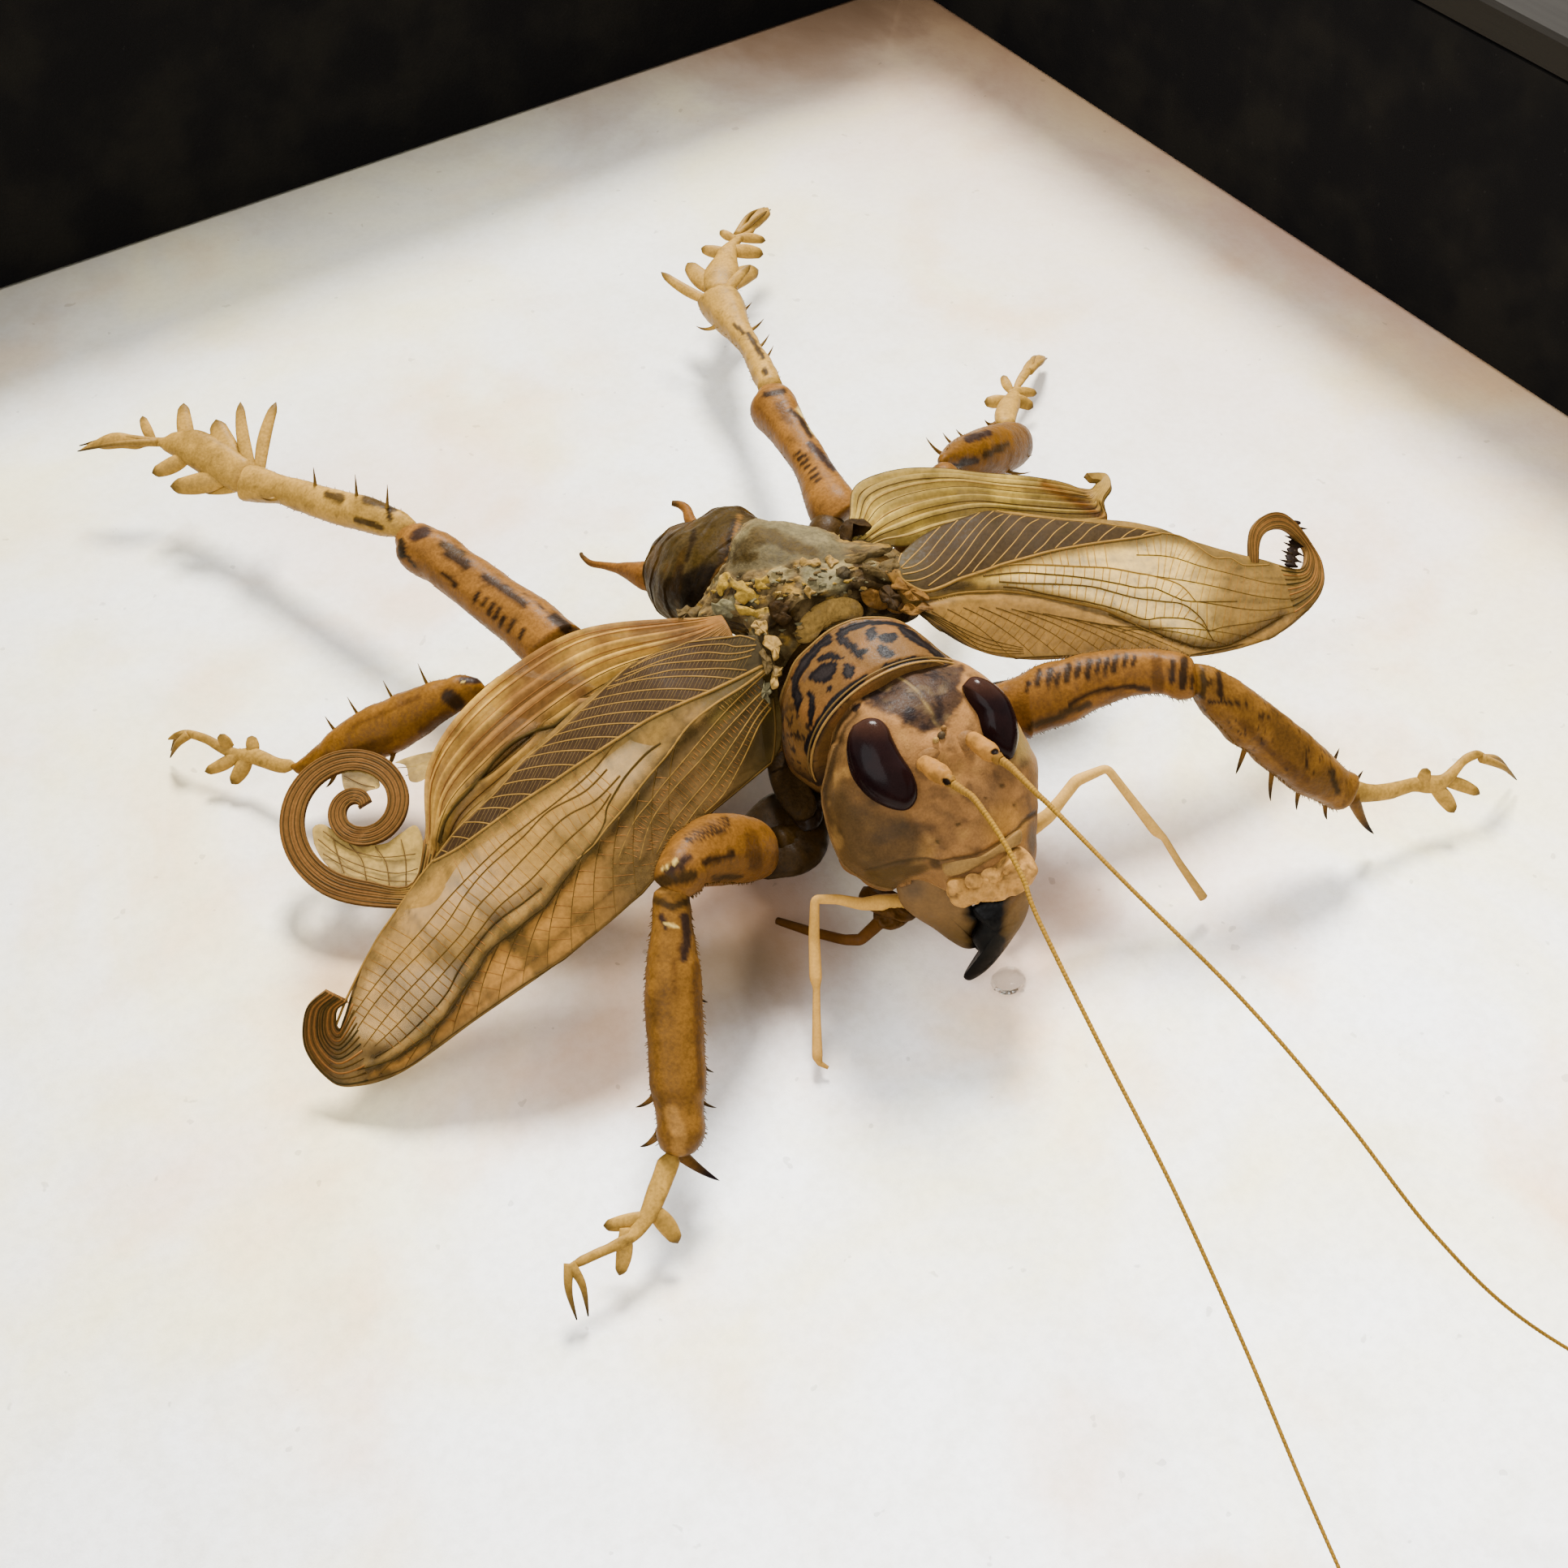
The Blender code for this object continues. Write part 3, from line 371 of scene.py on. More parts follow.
class Shape:
    """A mesh under construction, in millimetres, with a painted colour and opacity at each point."""

    def __init__(self):
        self.points = []
        self.paint = []
        self.faces = []
        self.slots = []
        self.count = 0

    def add(self, points, faces, paint, slot=0):
        points = np.asarray(points, float).reshape(-1, 3)
        paint = np.asarray(paint, float)
        if paint.ndim == 1:
            paint = np.tile(paint, (len(points), 1))
        if paint.shape[1] == 3:
            paint = np.hstack([paint, np.ones((len(points), 1))])
        for block in faces:
            if len(block):
                self.faces.append(np.asarray(block, np.int64) + self.count)
                self.slots.append(slot)
        self.points.append(points)
        self.paint.append(paint)
        self.count += len(points)

    def grid(self, points, paint, wrap=False, caps=False, slot=0):
        """Quads over rows of points; wrap joins the last column to the first, caps close the ends."""
        rows, columns = points.shape[:2]
        index = np.arange(rows * columns).reshape(rows, columns)
        right = np.roll(index, -1, axis=1)
        if not wrap:
            index, right = index[:, :-1], right[:, :-1]
        quads = np.stack([index[:-1], right[:-1], right[1:], index[1:]], axis=-1).reshape(-1, 4)
        flat = points.reshape(-1, 3)
        colours = np.asarray(paint, float)
        colours = np.tile(colours, (len(flat), 1)) if colours.ndim == 1 else colours.reshape(len(flat), -1)
        blocks = [quads]
        if caps:
            first = flat[:columns].mean(axis=0)
            last = flat[-columns:].mean(axis=0)
            head = np.arange(columns)
            tail = head + (rows - 1) * columns
            pole = len(flat)
            blocks.append(np.stack([np.roll(head, -1), head, np.full(columns, pole)], axis=1))
            blocks.append(np.stack([tail, np.roll(tail, -1), np.full(columns, pole + 1)], axis=1))
            flat = np.vstack([flat, first, last])
            colours = np.vstack([colours, colours[0], colours[-1]])
        self.add(flat, blocks, colours, slot)

    def tube(self, path, wide, high, paint, sides=10, up=UP, slot=0):
        ring = rings(path, wide, high, sides, up)
        colours = np.asarray(paint, float)
        if colours.ndim == 2:
            colours = np.repeat(colours, sides, axis=0)
        self.grid(ring, colours, wrap=True, caps=True, slot=slot)


def rings(path, wide, high, sides, up=UP):
    """Rings of points round a path, with half widths sideways and upwards."""
    path = np.asarray(path, float)
    along = unit(np.gradient(path, axis=0))
    side = unit(np.cross(along, up))
    top = np.cross(side, along)
    wide = np.broadcast_to(np.asarray(wide, float), len(path))
    high = np.broadcast_to(np.asarray(high, float), len(path))
    angle = np.arange(sides) * TAU / sides
    return (path[:, None] + side[:, None] * (wide[:, None] * np.cos(angle))[..., None]
            + top[:, None] * (high[:, None] * np.sin(angle))[..., None])


# How much darker dry skin shows than the same paint on open paper, for red, green and blue
SKIN_SHADE = (0.66, 0.66, 0.56)


def make_piece(name, shape, finishes, nodes):
    """Build the mesh, paint it, and let it stand for its CAD nodes."""
    points = np.vstack(shape.points)
    mesh = bpy.data.meshes.new(name)
    mesh.vertices.add(len(points))
    mesh.vertices.foreach_set("co", (points * MM).ravel())
    corners = np.concatenate([block.ravel() for block in shape.faces])
    sizes = np.concatenate([np.full(len(block), block.shape[1]) for block in shape.faces])
    slots = np.concatenate([np.full(len(block), s) for block, s in zip(shape.faces, shape.slots)])
    mesh.loops.add(len(corners))
    mesh.loops.foreach_set("vertex_index", corners.astype(np.int32))
    mesh.polygons.add(len(sizes))
    mesh.polygons.foreach_set("loop_start", np.concatenate(([0], np.cumsum(sizes)[:-1])).astype(np.int32))
    mesh.polygons.foreach_set("material_index", slots.astype(np.int32))
    mesh.update(calc_edges=True)
    mesh.validate()
    colours = mesh.color_attributes.new("paint", "FLOAT_COLOR", "POINT")
    paint = np.vstack(shape.paint)
    paint[:, :3] *= SKIN_SHADE
    colours.data.foreach_set("color", paint.ravel())
    mesh.shade_smooth()
    for finish in finishes:
        mesh.materials.append(finish)
    item = bpy.data.objects.new(name, mesh)
    bpy.context.scene.collection.objects.link(item)
    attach(item, "root")
    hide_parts(*nodes)
    return item


# Tray frame: finishes for the CAD's own boards, walls and rails

def refinish(node, finish):
    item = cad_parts[node]
    item.data.materials.clear()
    item.data.materials.append(finish)


# Painted warm shadows and glows on the paper round the insect: place in millimetres, reach, strength and tone
WARM_SHADE_AND_GLOW_PATCHES = [
    ((14.5, 2.0, 5.8), 11.0, 0.7, (176, 136, 88)),
    ((12.0, -6.0, 5.8), 16.0, 0.6, (204, 166, 120)),
    ((1.5, 9.5, 5.8), 14.0, 0.4, (236, 210, 180)),
    ((22.0, -2.0, 5.8), 18.0, 0.45, (222, 190, 152)),
    ((20.4, 1.4, 5.8), 6.5, 0.7, (150, 116, 70)),
    ((42.0, -12.8, 5.8), 8.0, 0.7, (202, 158, 108)),
    ((38.0, -6.0, 5.8), 15.0, 0.5, (228, 200, 164)),
    ((-14.0, 12.0, 5.8), 14.0, 0.3, (236, 214, 190)),
    ((30.0, -24.0, 5.8), 14.0, 0.4, (232, 206, 172)),
    ((32.3, 1.6, 5.8), 8.0, 0.4, (212, 178, 136)),
    ((-3.5, 10.5, 5.8), 5.0, 0.5, (216, 180, 130)),
    ((15.9, -53.2, 5.8), 18.0, 0.3, (232, 208, 182)),
]


def parchment():
    """Mottled parchment: warm white with faint tan clouds, painted shade that falls off towards its far
    edges, and darker, browner paint close to those edges and round its far corner.
    """
    tree = Tree("parchment_paper")
    half_x, half_y = 76.0 * MM, 101.5 * MM
    split = tree.add("ShaderNodeSeparateXYZ")
    tree.links.new(tree.place, split.inputs[0])
    clouds = tree.noise(30.0, 5.0, 0.6, distort=0.6)
    blush = tree.noise(17.0, 4.0, 0.55, distort=0.3)
    small = tree.noise(4.5, 4.0, 0.6)
    fibres = tree.noise(0.7, 4.0, 0.7)
    colour = tree.mix(tree.ramp(clouds, 0.40, 0.70), tuple(tone(244, 243, 240)), tuple(tone(238, 234, 226)))
    colour = tree.mix(tree.ramp(blush, 0.48, 0.76, 0.0, 0.55), colour, tuple(tone(238, 220, 200)))
    colour = tree.mix(tree.ramp(small, 0.45, 0.75, 0.0, 0.25), colour, tuple(tone(230, 226, 218)))
    colour = tree.mix(tree.ramp(fibres, 0.35, 0.7, 0.0, 0.14), colour, tuple(tone(206, 196, 184)))
    reach_y = tree.maths("ADD", split.outputs["Y"], half_y)
    reach_x = tree.maths("ADD", split.outputs["X"], half_x)
    sway = tree.maths("MULTIPLY", tree.ramp(clouds, 0.3, 0.7, -0.5, 0.5), 0.008)
    near_y = tree.maths("ADD", reach_y, sway)
    near_x = tree.maths("ADD", reach_x, sway)
    # Painted shade: greyer across the 150 mm towards the far -Y edge and tanner across the 60 mm towards the
    # far -X edge, where the light falls off.
    colour = tree.mix(tree.ramp(near_y, 0.0, 0.15, 0.60, 0.0), colour, tuple(tone(216, 212, 204)))
    colour = tree.mix(tree.ramp(near_x, 0.0, 0.060, 0.50, 0.0), colour, tuple(tone(226, 208, 188)))
    # Darker and browner close to the far edges and round the far corner.
    colour = tree.mix(tree.ramp(near_x, -0.004, 0.014, 0.60, 0.0), colour, tuple(tone(216, 176, 140)))
    colour = tree.mix(tree.ramp(near_y, -0.004, 0.016, 0.70, 0.0), colour, tuple(tone(184, 168, 150)))
    corner = tree.maths("ADD", near_x, near_y)
    colour = tree.mix(tree.ramp(corner, 0.005, 0.070, 0.65, 0.0), colour, tuple(tone(206, 170, 136)))
    colour = tree.mix(tree.ramp(corner, 0.0, 0.034, 0.75, 0.0), colour, tuple(tone(168, 128, 96)))
    # Painted warm shadows and glows round the insect, each fading out over its reach.
    for place, size, strength, stain in WARM_SHADE_AND_GLOW_PATCHES:
        shift = tree.add("ShaderNodeVectorMath", operation="DISTANCE")
        tree.links.new(tree.place, shift.inputs[0])
        shift.inputs[1].default_value = tuple(np.array(place) * MM)
        gap = tree.maths("ADD", shift.outputs["Value"], tree.maths("MULTIPLY", sway, 0.5))
        colour = tree.mix(tree.ramp(gap, 0.0, size * MM, strength, 0.0), colour, tuple(tone(*stain)))
    specks = tree.ramp(tree.noise(1.3, 2.0, 0.4), 0.75, 0.77, 0.0, 0.3)
    colour = tree.mix(specks, colour, tuple(tone(176, 160, 140)))
    tree.links.new(colour, tree.shader.inputs["Base Color"])
    tree.shader.inputs["Roughness"].default_value = 0.85
    tree.shader.inputs["Specular IOR Level"].default_value = 0.1
    tree.links.new(tree.bump(fibres, 0.03), tree.shader.inputs["Normal"])
    return tree.finish


def black_wall():
    """Matt black card with a little pale dust."""
    tree = Tree("liner_matt_black")
    dust = tree.ramp(tree.noise(0.7, 3.0, 0.5), 0.70, 0.76, 0.0, 0.30)
    haze = tree.ramp(tree.noise(9.0, 3.0), 0.4, 0.7, 0.0, 0.6)
    colour = tree.mix(haze, tuple(tone(38, 36, 36)), tuple(tone(60, 54, 48)))
    colour = tree.mix(dust, colour, tuple(tone(84, 80, 76)))
    tree.links.new(colour, tree.shader.inputs["Base Color"])
    tree.shader.inputs["Roughness"].default_value = 0.95
    tree.shader.inputs["Specular IOR Level"].default_value = 0.0
    tree.links.new(tree.bump(tree.noise(0.4, 3.0), 0.05), tree.shader.inputs["Normal"])
    return tree.finish


def rail_finish(name, along_x):
    """Black satin lacquer over wood: grain along the rail, paler rubbed edges."""
    tree = Tree(name)
    stretch = tree.add("ShaderNodeMapping")
    tree.links.new(tree.place, stretch.inputs["Vector"])
    stretch.inputs["Scale"].default_value = (0.06, 1.0, 1.0) if along_x else (1.0, 0.06, 1.0)
    grain = tree.noise(1.3, 5.0, 0.6, where=stretch.outputs["Vector"])
    edge = tree.add("ShaderNodeNewGeometry").outputs["Pointiness"]
    worn = tree.ramp(edge, 0.53, 0.60, 0.0, 0.5)
    colour = tree.mix(tree.ramp(grain, 0.3, 0.75), tuple(tone(14, 13, 12)), tuple(tone(32, 28, 26)))
    colour = tree.mix(worn, colour, tuple(tone(78, 66, 56)))
    tree.links.new(colour, tree.shader.inputs["Base Color"])
    tree.links.new(tree.ramp(grain, 0.3, 0.7, 0.35, 0.5), tree.shader.inputs["Roughness"])
    tree.shader.inputs["Specular IOR Level"].default_value = 0.05
    tree.links.new(tree.bump(grain, 0.05), tree.shader.inputs["Normal"])
    return tree.finish


def hardboard():
    """Brown pressed board."""
    tree = Tree("hardboard_brown")
    fibres = tree.noise(1.2, 5.0, 0.7)
    broad = tree.noise(30.0, 3.0)
    colour = tree.mix(tree.ramp(fibres, 0.3, 0.7), (0.115, 0.070, 0.040), (0.20, 0.135, 0.085))
    colour = tree.mix(tree.ramp(broad, 0.4, 0.7, 0.0, 0.35), colour, (0.09, 0.055, 0.032))
    tree.links.new(colour, tree.shader.inputs["Base Color"])
    tree.shader.inputs["Roughness"].default_value = 0.75
    tree.links.new(tree.bump(fibres, 0.12), tree.shader.inputs["Normal"])
    return tree.finish


def dress_frame():
    refinish("background_paper", parchment())
    refinish("backing_board", hardboard())
    wall = black_wall()
    across = rail_finish("rail_lacquer_across", True)
    lengthways = rail_finish("rail_lacquer_lengthways", False)
    for side in ("top", "bottom", "left", "right"):
        refinish("liner_wall_" + side, wall)
        refinish("frame_rail_" + side, across if side in ("top", "bottom") else lengthways)


# Wings

# Brightness of an open white surface in this light
EXPOSURE = 5.2

# How the finished picture's tones follow from light: a cubic in the tone, under an exponential, fitted
# by least squares to a rendered row of test tones
TONE_CURVE = (-5.5303, 15.5686, -22.7807, 15.2862)


def tone(red, green, blue):
    """The surface colour that shows as this 0 to 255 tone in the finished picture."""
    x = np.array([red, green, blue]) / 255
    a, b, c, d = TONE_CURVE
    r, g, b = np.exp(a + b * x + c * x ** 2 + d * x ** 3)
    light = np.array([r - 0.26 * (r - g), g - 0.02 * (r - g) + 0.18 * (g - b),
                      b - 0.02 * (r - g) - 0.06 * (g - b)])
    return np.clip(light / EXPOSURE, 0.0006, 0.93)


def on_height(pixels, heights):
    """Places under pixels, at heights above the paper."""
    pixels = np.atleast_2d(np.asarray(pixels, float))
    half = PHOTO_SIZE / 2
    ways = (FORWARD + RIGHT * ((pixels[:, :1] - half) / CAMERA_FOCAL)
            + ABOVE * ((half - pixels[:, 1:2]) / CAMERA_FOCAL))
    reach = (np.asarray(heights, float) + PAPER_TOP - CAMERA_PLACE[2]) / ways[:, 2]
    return CAMERA_PLACE + ways * np.reshape(reach, (-1, 1))


def shift_view(points, moves):
    """Move places across the view by pixel offsets, at their own distances."""
    depth = (points - CAMERA_PLACE) @ FORWARD
    scale = (depth / CAMERA_FOCAL)[:, None]
    return points + RIGHT * moves[:, :1] * scale - ABOVE * moves[:, 1:2] * scale


def fit_outline(points, outline, start=0.3):
    """Slide points across the view until their silhouette follows a traced ring of pixels."""
    ring = np.asarray(outline, float)
    middle = (ring.min(axis=0) + ring.max(axis=0)) / 2
    gap = photo(points) - middle
    angle = np.arctan2(gap[:, 1], gap[:, 0])
    reach = np.hypot(gap[:, 0], gap[:, 1])
    bins = 120
    slot = ((angle + math.pi) / TAU * bins).astype(int) % bins
    own = np.zeros(bins)
    np.maximum.at(own, slot, reach)
    own = np.maximum(own, 1.0)
    own = (np.roll(own, 1) + own * 2 + np.roll(own, -1)) / 4
    dense = route(np.vstack([ring, ring[:1]]), 600) - middle
    turn = np.arctan2(dense[:, 1], dense[:, 0])
    order = np.argsort(turn)
    middles = (np.arange(bins) + 0.5) / bins * TAU - math.pi
    want = np.interp(middles, turn[order], np.hypot(dense[:, 0], dense[:, 1])[order], period=TAU)
    limit = np.interp(angle, middles, own, period=TAU)
    ratio = np.interp(angle, middles, want / own, period=TAU)
    share = ease(reach / limit, start, 1.0)
    return shift_view(points, gap * ((ratio - 1) * share)[:, None])


def seat(tree, outline, lift=0.0, toward=0.8):
    """Stand a traced ring of pixels on a plane that rests on the surface behind it."""
    hits = []
    facing = []
    ring = np.asarray(outline, float)
    middle = ring.mean(axis=0)
    for share in (0.3, 0.75):
        for pixel in middle + (ring - middle) * share:
            place, normal = tree.ray_cast(Vector(CAMERA_PLACE), Vector(ray(pixel)))[:2]
            if place is not None:
                hits.append(place)
                facing.append(normal * (1 if normal.dot(Vector(FORWARD)) < 0 else -1))
    normal = unit(unit(np.mean(facing, axis=0)) - FORWARD * toward)
    origin = np.mean(hits, axis=0) + normal * lift
    ways = np.array([ray(pixel) for pixel in ring])
    reach = ((origin - CAMERA_PLACE) @ normal) / (ways @ normal)
    return CAMERA_PLACE + ways * reach[:, None], normal


def pillow(shape, ring, axis, front, back, paint_by, rounds=16, power=0.5, lumps=0.0, grain=1.0, seed=0,
           slot=0, points=97):
    """A cushion on a closed ring of places, bulging by front along the axis and by back behind it."""
    ring = np.vstack([ring, ring[:1]])
    edge = route(ring, points)[:-1]
    middle = edge.mean(axis=0)
    shares = np.sin(np.linspace(0.04, 1, rounds) * math.pi / 2)
    rows = []
    for sign, size, steps in ((1, front, shares), (-1, back, shares[::-1][1:])):
        for s in steps:
            row = middle + (edge - middle) * s
            rows.append(row + axis * (sign * size * (1 - s * s) ** power))
    grid = np.array(rows)
    flat = grid.reshape(-1, 3)
    if lumps:
        flat = flat + axis * (cloud(flat, grain, seed) * lumps)[:, None]
    shape.grid(flat.reshape(grid.shape), paint_by(flat), wrap=True, caps=True, slot=slot)


def evenly(colour):
    """A painter that gives one colour, broken by soft clouds."""
    def paint_by(points):
        paint = np.tile(np.asarray(colour, float), (len(points), 1))
        return paint * (1 + 0.18 * cloud(points, 0.9, 77))[:, None]
    return paint_by


def facing_camera(points, normals):
    """1 where a surface faces the camera, 0 where it turns away."""
    return ease((normals * unit(CAMERA_PLACE - points)).sum(axis=1), 0.0, 0.25)


WING_COLUMNS = 50
WING_ROWS = 220
MEMBRANE_HALF = 0.03
ROLL_HALF = 0.32
ROLL_WIDTH = 4.0

WINGS = {
    "forewing_right": [((9.9, -10.0, 17.2), (10.4, -6.7, 15.0), 0.3),
        ((13.0, -12.6, 16.4), (12.4, -3.9, 12.6), 0.8), ((18.0, -14.2, 15.0), (18.2, -2.9, 11.8), 1.2),
        ((24.0, -13.8, 12.8), (25.0, -1.1, 9.9), 1.2), ((30.1, -13.0, 10.5), (31.3, -0.8, 8.0), 1.0),
        ((35.4, -11.6, 8.2), (37.3, -1.6, 5.4), 0.8), ((40.6, -9.6, 5.8), (42.4, -2.4, 3.0), 0.5),
        ((43.6, -7.4, 4.4), (45.4, -4.0, 1.9), 0.2), ((44.2, -7.0, 3.9), (46.4, -5.5, 2.1), 0.0),
        ((44.3, -7.3, 4.1), (46.6, -7.5, 3.3), 0.0), ((43.8, -7.8, 4.8), (45.5, -8.8, 5.0), 0.0),
        ((43.1, -7.7, 5.2), (44.0, -8.7, 6.0), 0.0)],
    "forewing_left": [((-0.6, -9.6, 17.6), (-0.7, -7.6, 16.4), 0.3),
        ((-5.0, -10.9, 17.9), (-2.6, -3.0, 15.0), 0.8), ((-10.7, -10.5, 17.4), (-6.4, -0.6, 13.4), 1.2),
        ((-15.6, -7.6, 16.6), (-11.4, 1.4, 12.5), 1.2), ((-21.4, -4.5, 15.0), (-17.4, 4.0, 11.1), 1.0),
        ((-25.6, -1.2, 13.2), (-23.2, 5.1, 9.9), 0.8), ((-29.2, 1.2, 11.6), (-28.2, 4.9, 9.3), 0.4),
        ((-31.0, 2.1, 11.0), (-31.8, 3.9, 9.8), 0.0), ((-32.4, 0.9, 11.3), (-33.4, 1.6, 10.5), 0.0),
        ((-31.3, -0.6, 12.7), (-31.9, -1.4, 13.3), 0.0), ((-29.0, -0.6, 13.2), (-28.7, -1.4, 13.7), 0.0),
        ((-27.6, 0.5, 12.0), (-26.9, 0.6, 12.0), 0.0)],
    "hindwing_right": [((9.6, -14.4, 15.2), (10.0, -12.4, 15.2), 0.2),
        ((12.4, -16.8, 14.4), (13.4, -11.4, 13.4), 0.6), ((17.1, -20.4, 13.0), (18.4, -11.6, 11.4), 1.0),
        ((21.7, -21.5, 11.5), (22.4, -11.8, 9.8), 1.0), ((26.7, -21.0, 10.0), (27.0, -12.2, 7.8), 0.9),
        ((30.2, -19.6, 8.0), (30.8, -13.2, 6.0), 0.6), ((32.4, -16.6, 5.6), (33.0, -13.2, 4.2), 0.3)],
    "hindwing_left": [((-0.6, -15.6, 15.6), (-0.6, -13.0, 16.2), 0.2),
        ((-3.7, -17.6, 15.0), (-3.5, -13.6, 15.6), 0.4), ((-6.3, -20.5, 14.8), (-5.6, -12.6, 15.6), 0.6),
        ((-9.8, -20.5, 14.6), (-8.5, -12.5, 15.2), 0.6),
        ((-12.9, -19.2, 14.2), (-12.5, -12.1, 14.4), 0.6),
        ((-15.6, -17.3, 13.8), (-15.9, -10.6, 13.6), 0.5),
        ((-18.8, -15.5, 13.2), (-19.0, -9.3, 12.8), 0.4),
        ((-21.3, -13.7, 12.6), (-21.4, -9.0, 12.3), 0.2),
        ((-22.6, -12.3, 12.3), (-22.3, -10.4, 12.8), 0.0),
        ((-23.2, -12.2, 12.5), (-23.8, -11.2, 12.9), 0.0),
        ((-23.6, -12.3, 12.7), (-24.5, -12.6, 12.7), 0.0),
        ((-23.0, -12.6, 12.9), (-22.9, -13.2, 13.1), 0.0)],
}
COIL_CENTRE = (35.3, -21.2, 5.6)
COIL_ACROSS = (-0.80, 0.60, 0.0)
COIL_RISE = (-0.555, -0.74, 0.38)
COIL_START = 7.6
COIL_END = 0.5
COIL_SHRINK = 0.5
COIL_TURNS = -1.76
COIL_FIRST_ANGLE = -0.91
COIL_HALF = 0.85
COIL_HALF_SHRINK = 0.45
COIL_STEPS = 24


def coil_stations():
    """Inner and outer edge of the spiral ribbon, from the wing to its inner end."""
    across = unit(COIL_ACROSS)
    rise = unit(COIL_RISE)
    stations = []
    for i in range(COIL_STEPS + 1):
        share = i / COIL_STEPS
        angle = COIL_FIRST_ANGLE + TAU * COIL_TURNS * share
        radius = COIL_START + (COIL_END - COIL_START) * share ** COIL_SHRINK
        half = min(COIL_HALF * (1.0 - COIL_HALF_SHRINK * share), radius)
        arm = across * math.cos(angle) + rise * math.sin(angle)
        stations.append((COIL_CENTRE + arm * (radius - half), COIL_CENTRE + arm * (radius + half), 0.0))
    return stations


class Wing:
    """A wing's middle sheet as rows from root to tip and columns from rear to front edge."""

    def __init__(self, name, rows=WING_ROWS):
        stations = list(WINGS[name])
        if name == "hindwing_right":
            stations += coil_stations()
        rear = spline([s[0] for s in stations], rows)
        front = spline([s[1] for s in stations], rows)
        crown = spline([s[2] for s in stations], rows)
        self.share = np.linspace(0, 1, WING_COLUMNS)
        lift = crown[:, None] * 4 * self.share * (1 - self.share)
        sheet = rear[:, None] * (1 - self.share[:, None]) + front[:, None] * self.share[:, None]
        self.sheet = at(sheet + lift[..., None] * UP)
        self.width = np.linalg.norm(front - rear, axis=1)
        self.run = np.linspace(0, 1, rows)
        self.settle()

    def settle(self):
        """Work out the normals, pixels and a tree for finding places by pixel."""
        rows, columns = self.sheet.shape[:2]
        along = np.gradient(self.sheet, axis=0)
        across = np.gradient(self.sheet, axis=1)
        self.normal = unit(np.cross(along, across))
        flat = self.sheet.reshape(-1, 3)
        self.pixels = photo(flat)
        index = np.arange(rows * columns).reshape(rows, columns)
        quads = np.stack([index[:-1, :-1], index[:-1, 1:], index[1:, 1:], index[1:, :-1]], axis=-1)
        self.tree = BVHTree.FromPolygons(flat.tolist(), quads.reshape(-1, 4).tolist())

    def drape(self, pixels, step=3.2):
        """Places on the sheet under a line of pixels."""
        run = np.linalg.norm(np.diff(pixels, axis=0), axis=1).sum()
        line = route(pixels, max(3, int(run / step)))
        hits = []
        for pixel in line:
            place = self.tree.ray_cast(Vector(CAMERA_PLACE), Vector(ray(pixel)))[0]
            if place is not None:
                hits.append(place)
        return np.array(hits)

    def membrane(self, shape, paint):
        """The sheet itself as a thin closed skin, thicker where it is rolled."""
        rows = len(self.sheet)
        roll = np.clip(1 - self.width / ROLL_WIDTH, 0, 1)
        half = (MEMBRANE_HALF + (ROLL_HALF - MEMBRANE_HALF) * roll)[:, None, None]
        upper = self.sheet + self.normal * half
        lower = self.sheet - self.normal * half
        ring = np.concatenate([upper, lower[:, ::-1]], axis=1)
        paint = paint.reshape(rows, WING_COLUMNS, -1)
        shape.grid(ring, np.concatenate([paint, paint[:, ::-1]],
                                        axis=1).reshape(ring.shape[0] * ring.shape[1], -1),
                   wrap=True, caps=True)

    def vein(self, shape, pixels, half, colour, taper=0.35):
        path = self.drape(pixels)
        if len(path) > 2:
            size = half * (1 - taper * np.linspace(0, 1, len(path)))
            shape.tube(path, size, size, colour, sides=4, up=-FORWARD, slot=1)

    def rib(self, shape, column, start, end, half, colour):
        """A vein that follows the sheet's own lengthwise run."""
        rows = len(self.sheet)
        low, high = int(start * (rows - 1)), int(end * (rows - 1)) + 1
        place = column * (WING_COLUMNS - 1)
        j = min(int(place), WING_COLUMNS - 2)
        f = place - j
        path = self.sheet[low:high, j] * (1 - f) + self.sheet[low:high, j + 1] * f
        lift = self.normal[low:high, j]
        bulk = (MEMBRANE_HALF + (ROLL_HALF - MEMBRANE_HALF)
                * np.clip(1 - self.width[low:high] / ROLL_WIDTH, 0, 1))
        for sign in (1, -1):
            shape.tube((path + lift * (sign * bulk[:, None] * 0.8))[::2], half, half, colour, sides=4,
                       up=lift[0], slot=1)


def between(low, high, count, points=40):
    """Lines spread evenly between two border lines that run the same way."""
    a = route(low, points)
    b = route(high, points)
    return [a + (b - a) * (k + 1) / (count + 1) for k in range(count)]


def oblique(low, high, pairs, bow=0.0, points=24):
    """Lines from a share of one border to a share of the other, bowed sideways."""
    a = route(low, 200)
    b = route(high, 200)
    lines = []
    for start, end in pairs:
        p = a[int(np.clip(start, 0, 1) * 199)]
        q = b[int(np.clip(end, 0, 1) * 199)]
        t = np.linspace(0, 1, points)[:, None]
        side = np.array([-(q - p)[1], (q - p)[0]])
        lines.append(p + (q - p) * t + side * bow * 4 * t * (1 - t))
    return lines


def wing_finishes(name):
    return [cuticle(name + "_membrane", 0.5, 0.02, 0.3, 0.16, 0.03, see_through=True),
            cuticle(name + "_veins", 0.5, 0.01, 0.2, 0.15, 0.03)]


VEIN_GOLD = tone(206, 174, 112)

VEIN_BROWN = tone(164, 112, 58)

VEIN_DARK = tone(136, 90, 44)

MEMBRANE_PALE = tone(224, 200, 154)

MEMBRANE_TAN = tone(200, 168, 116)

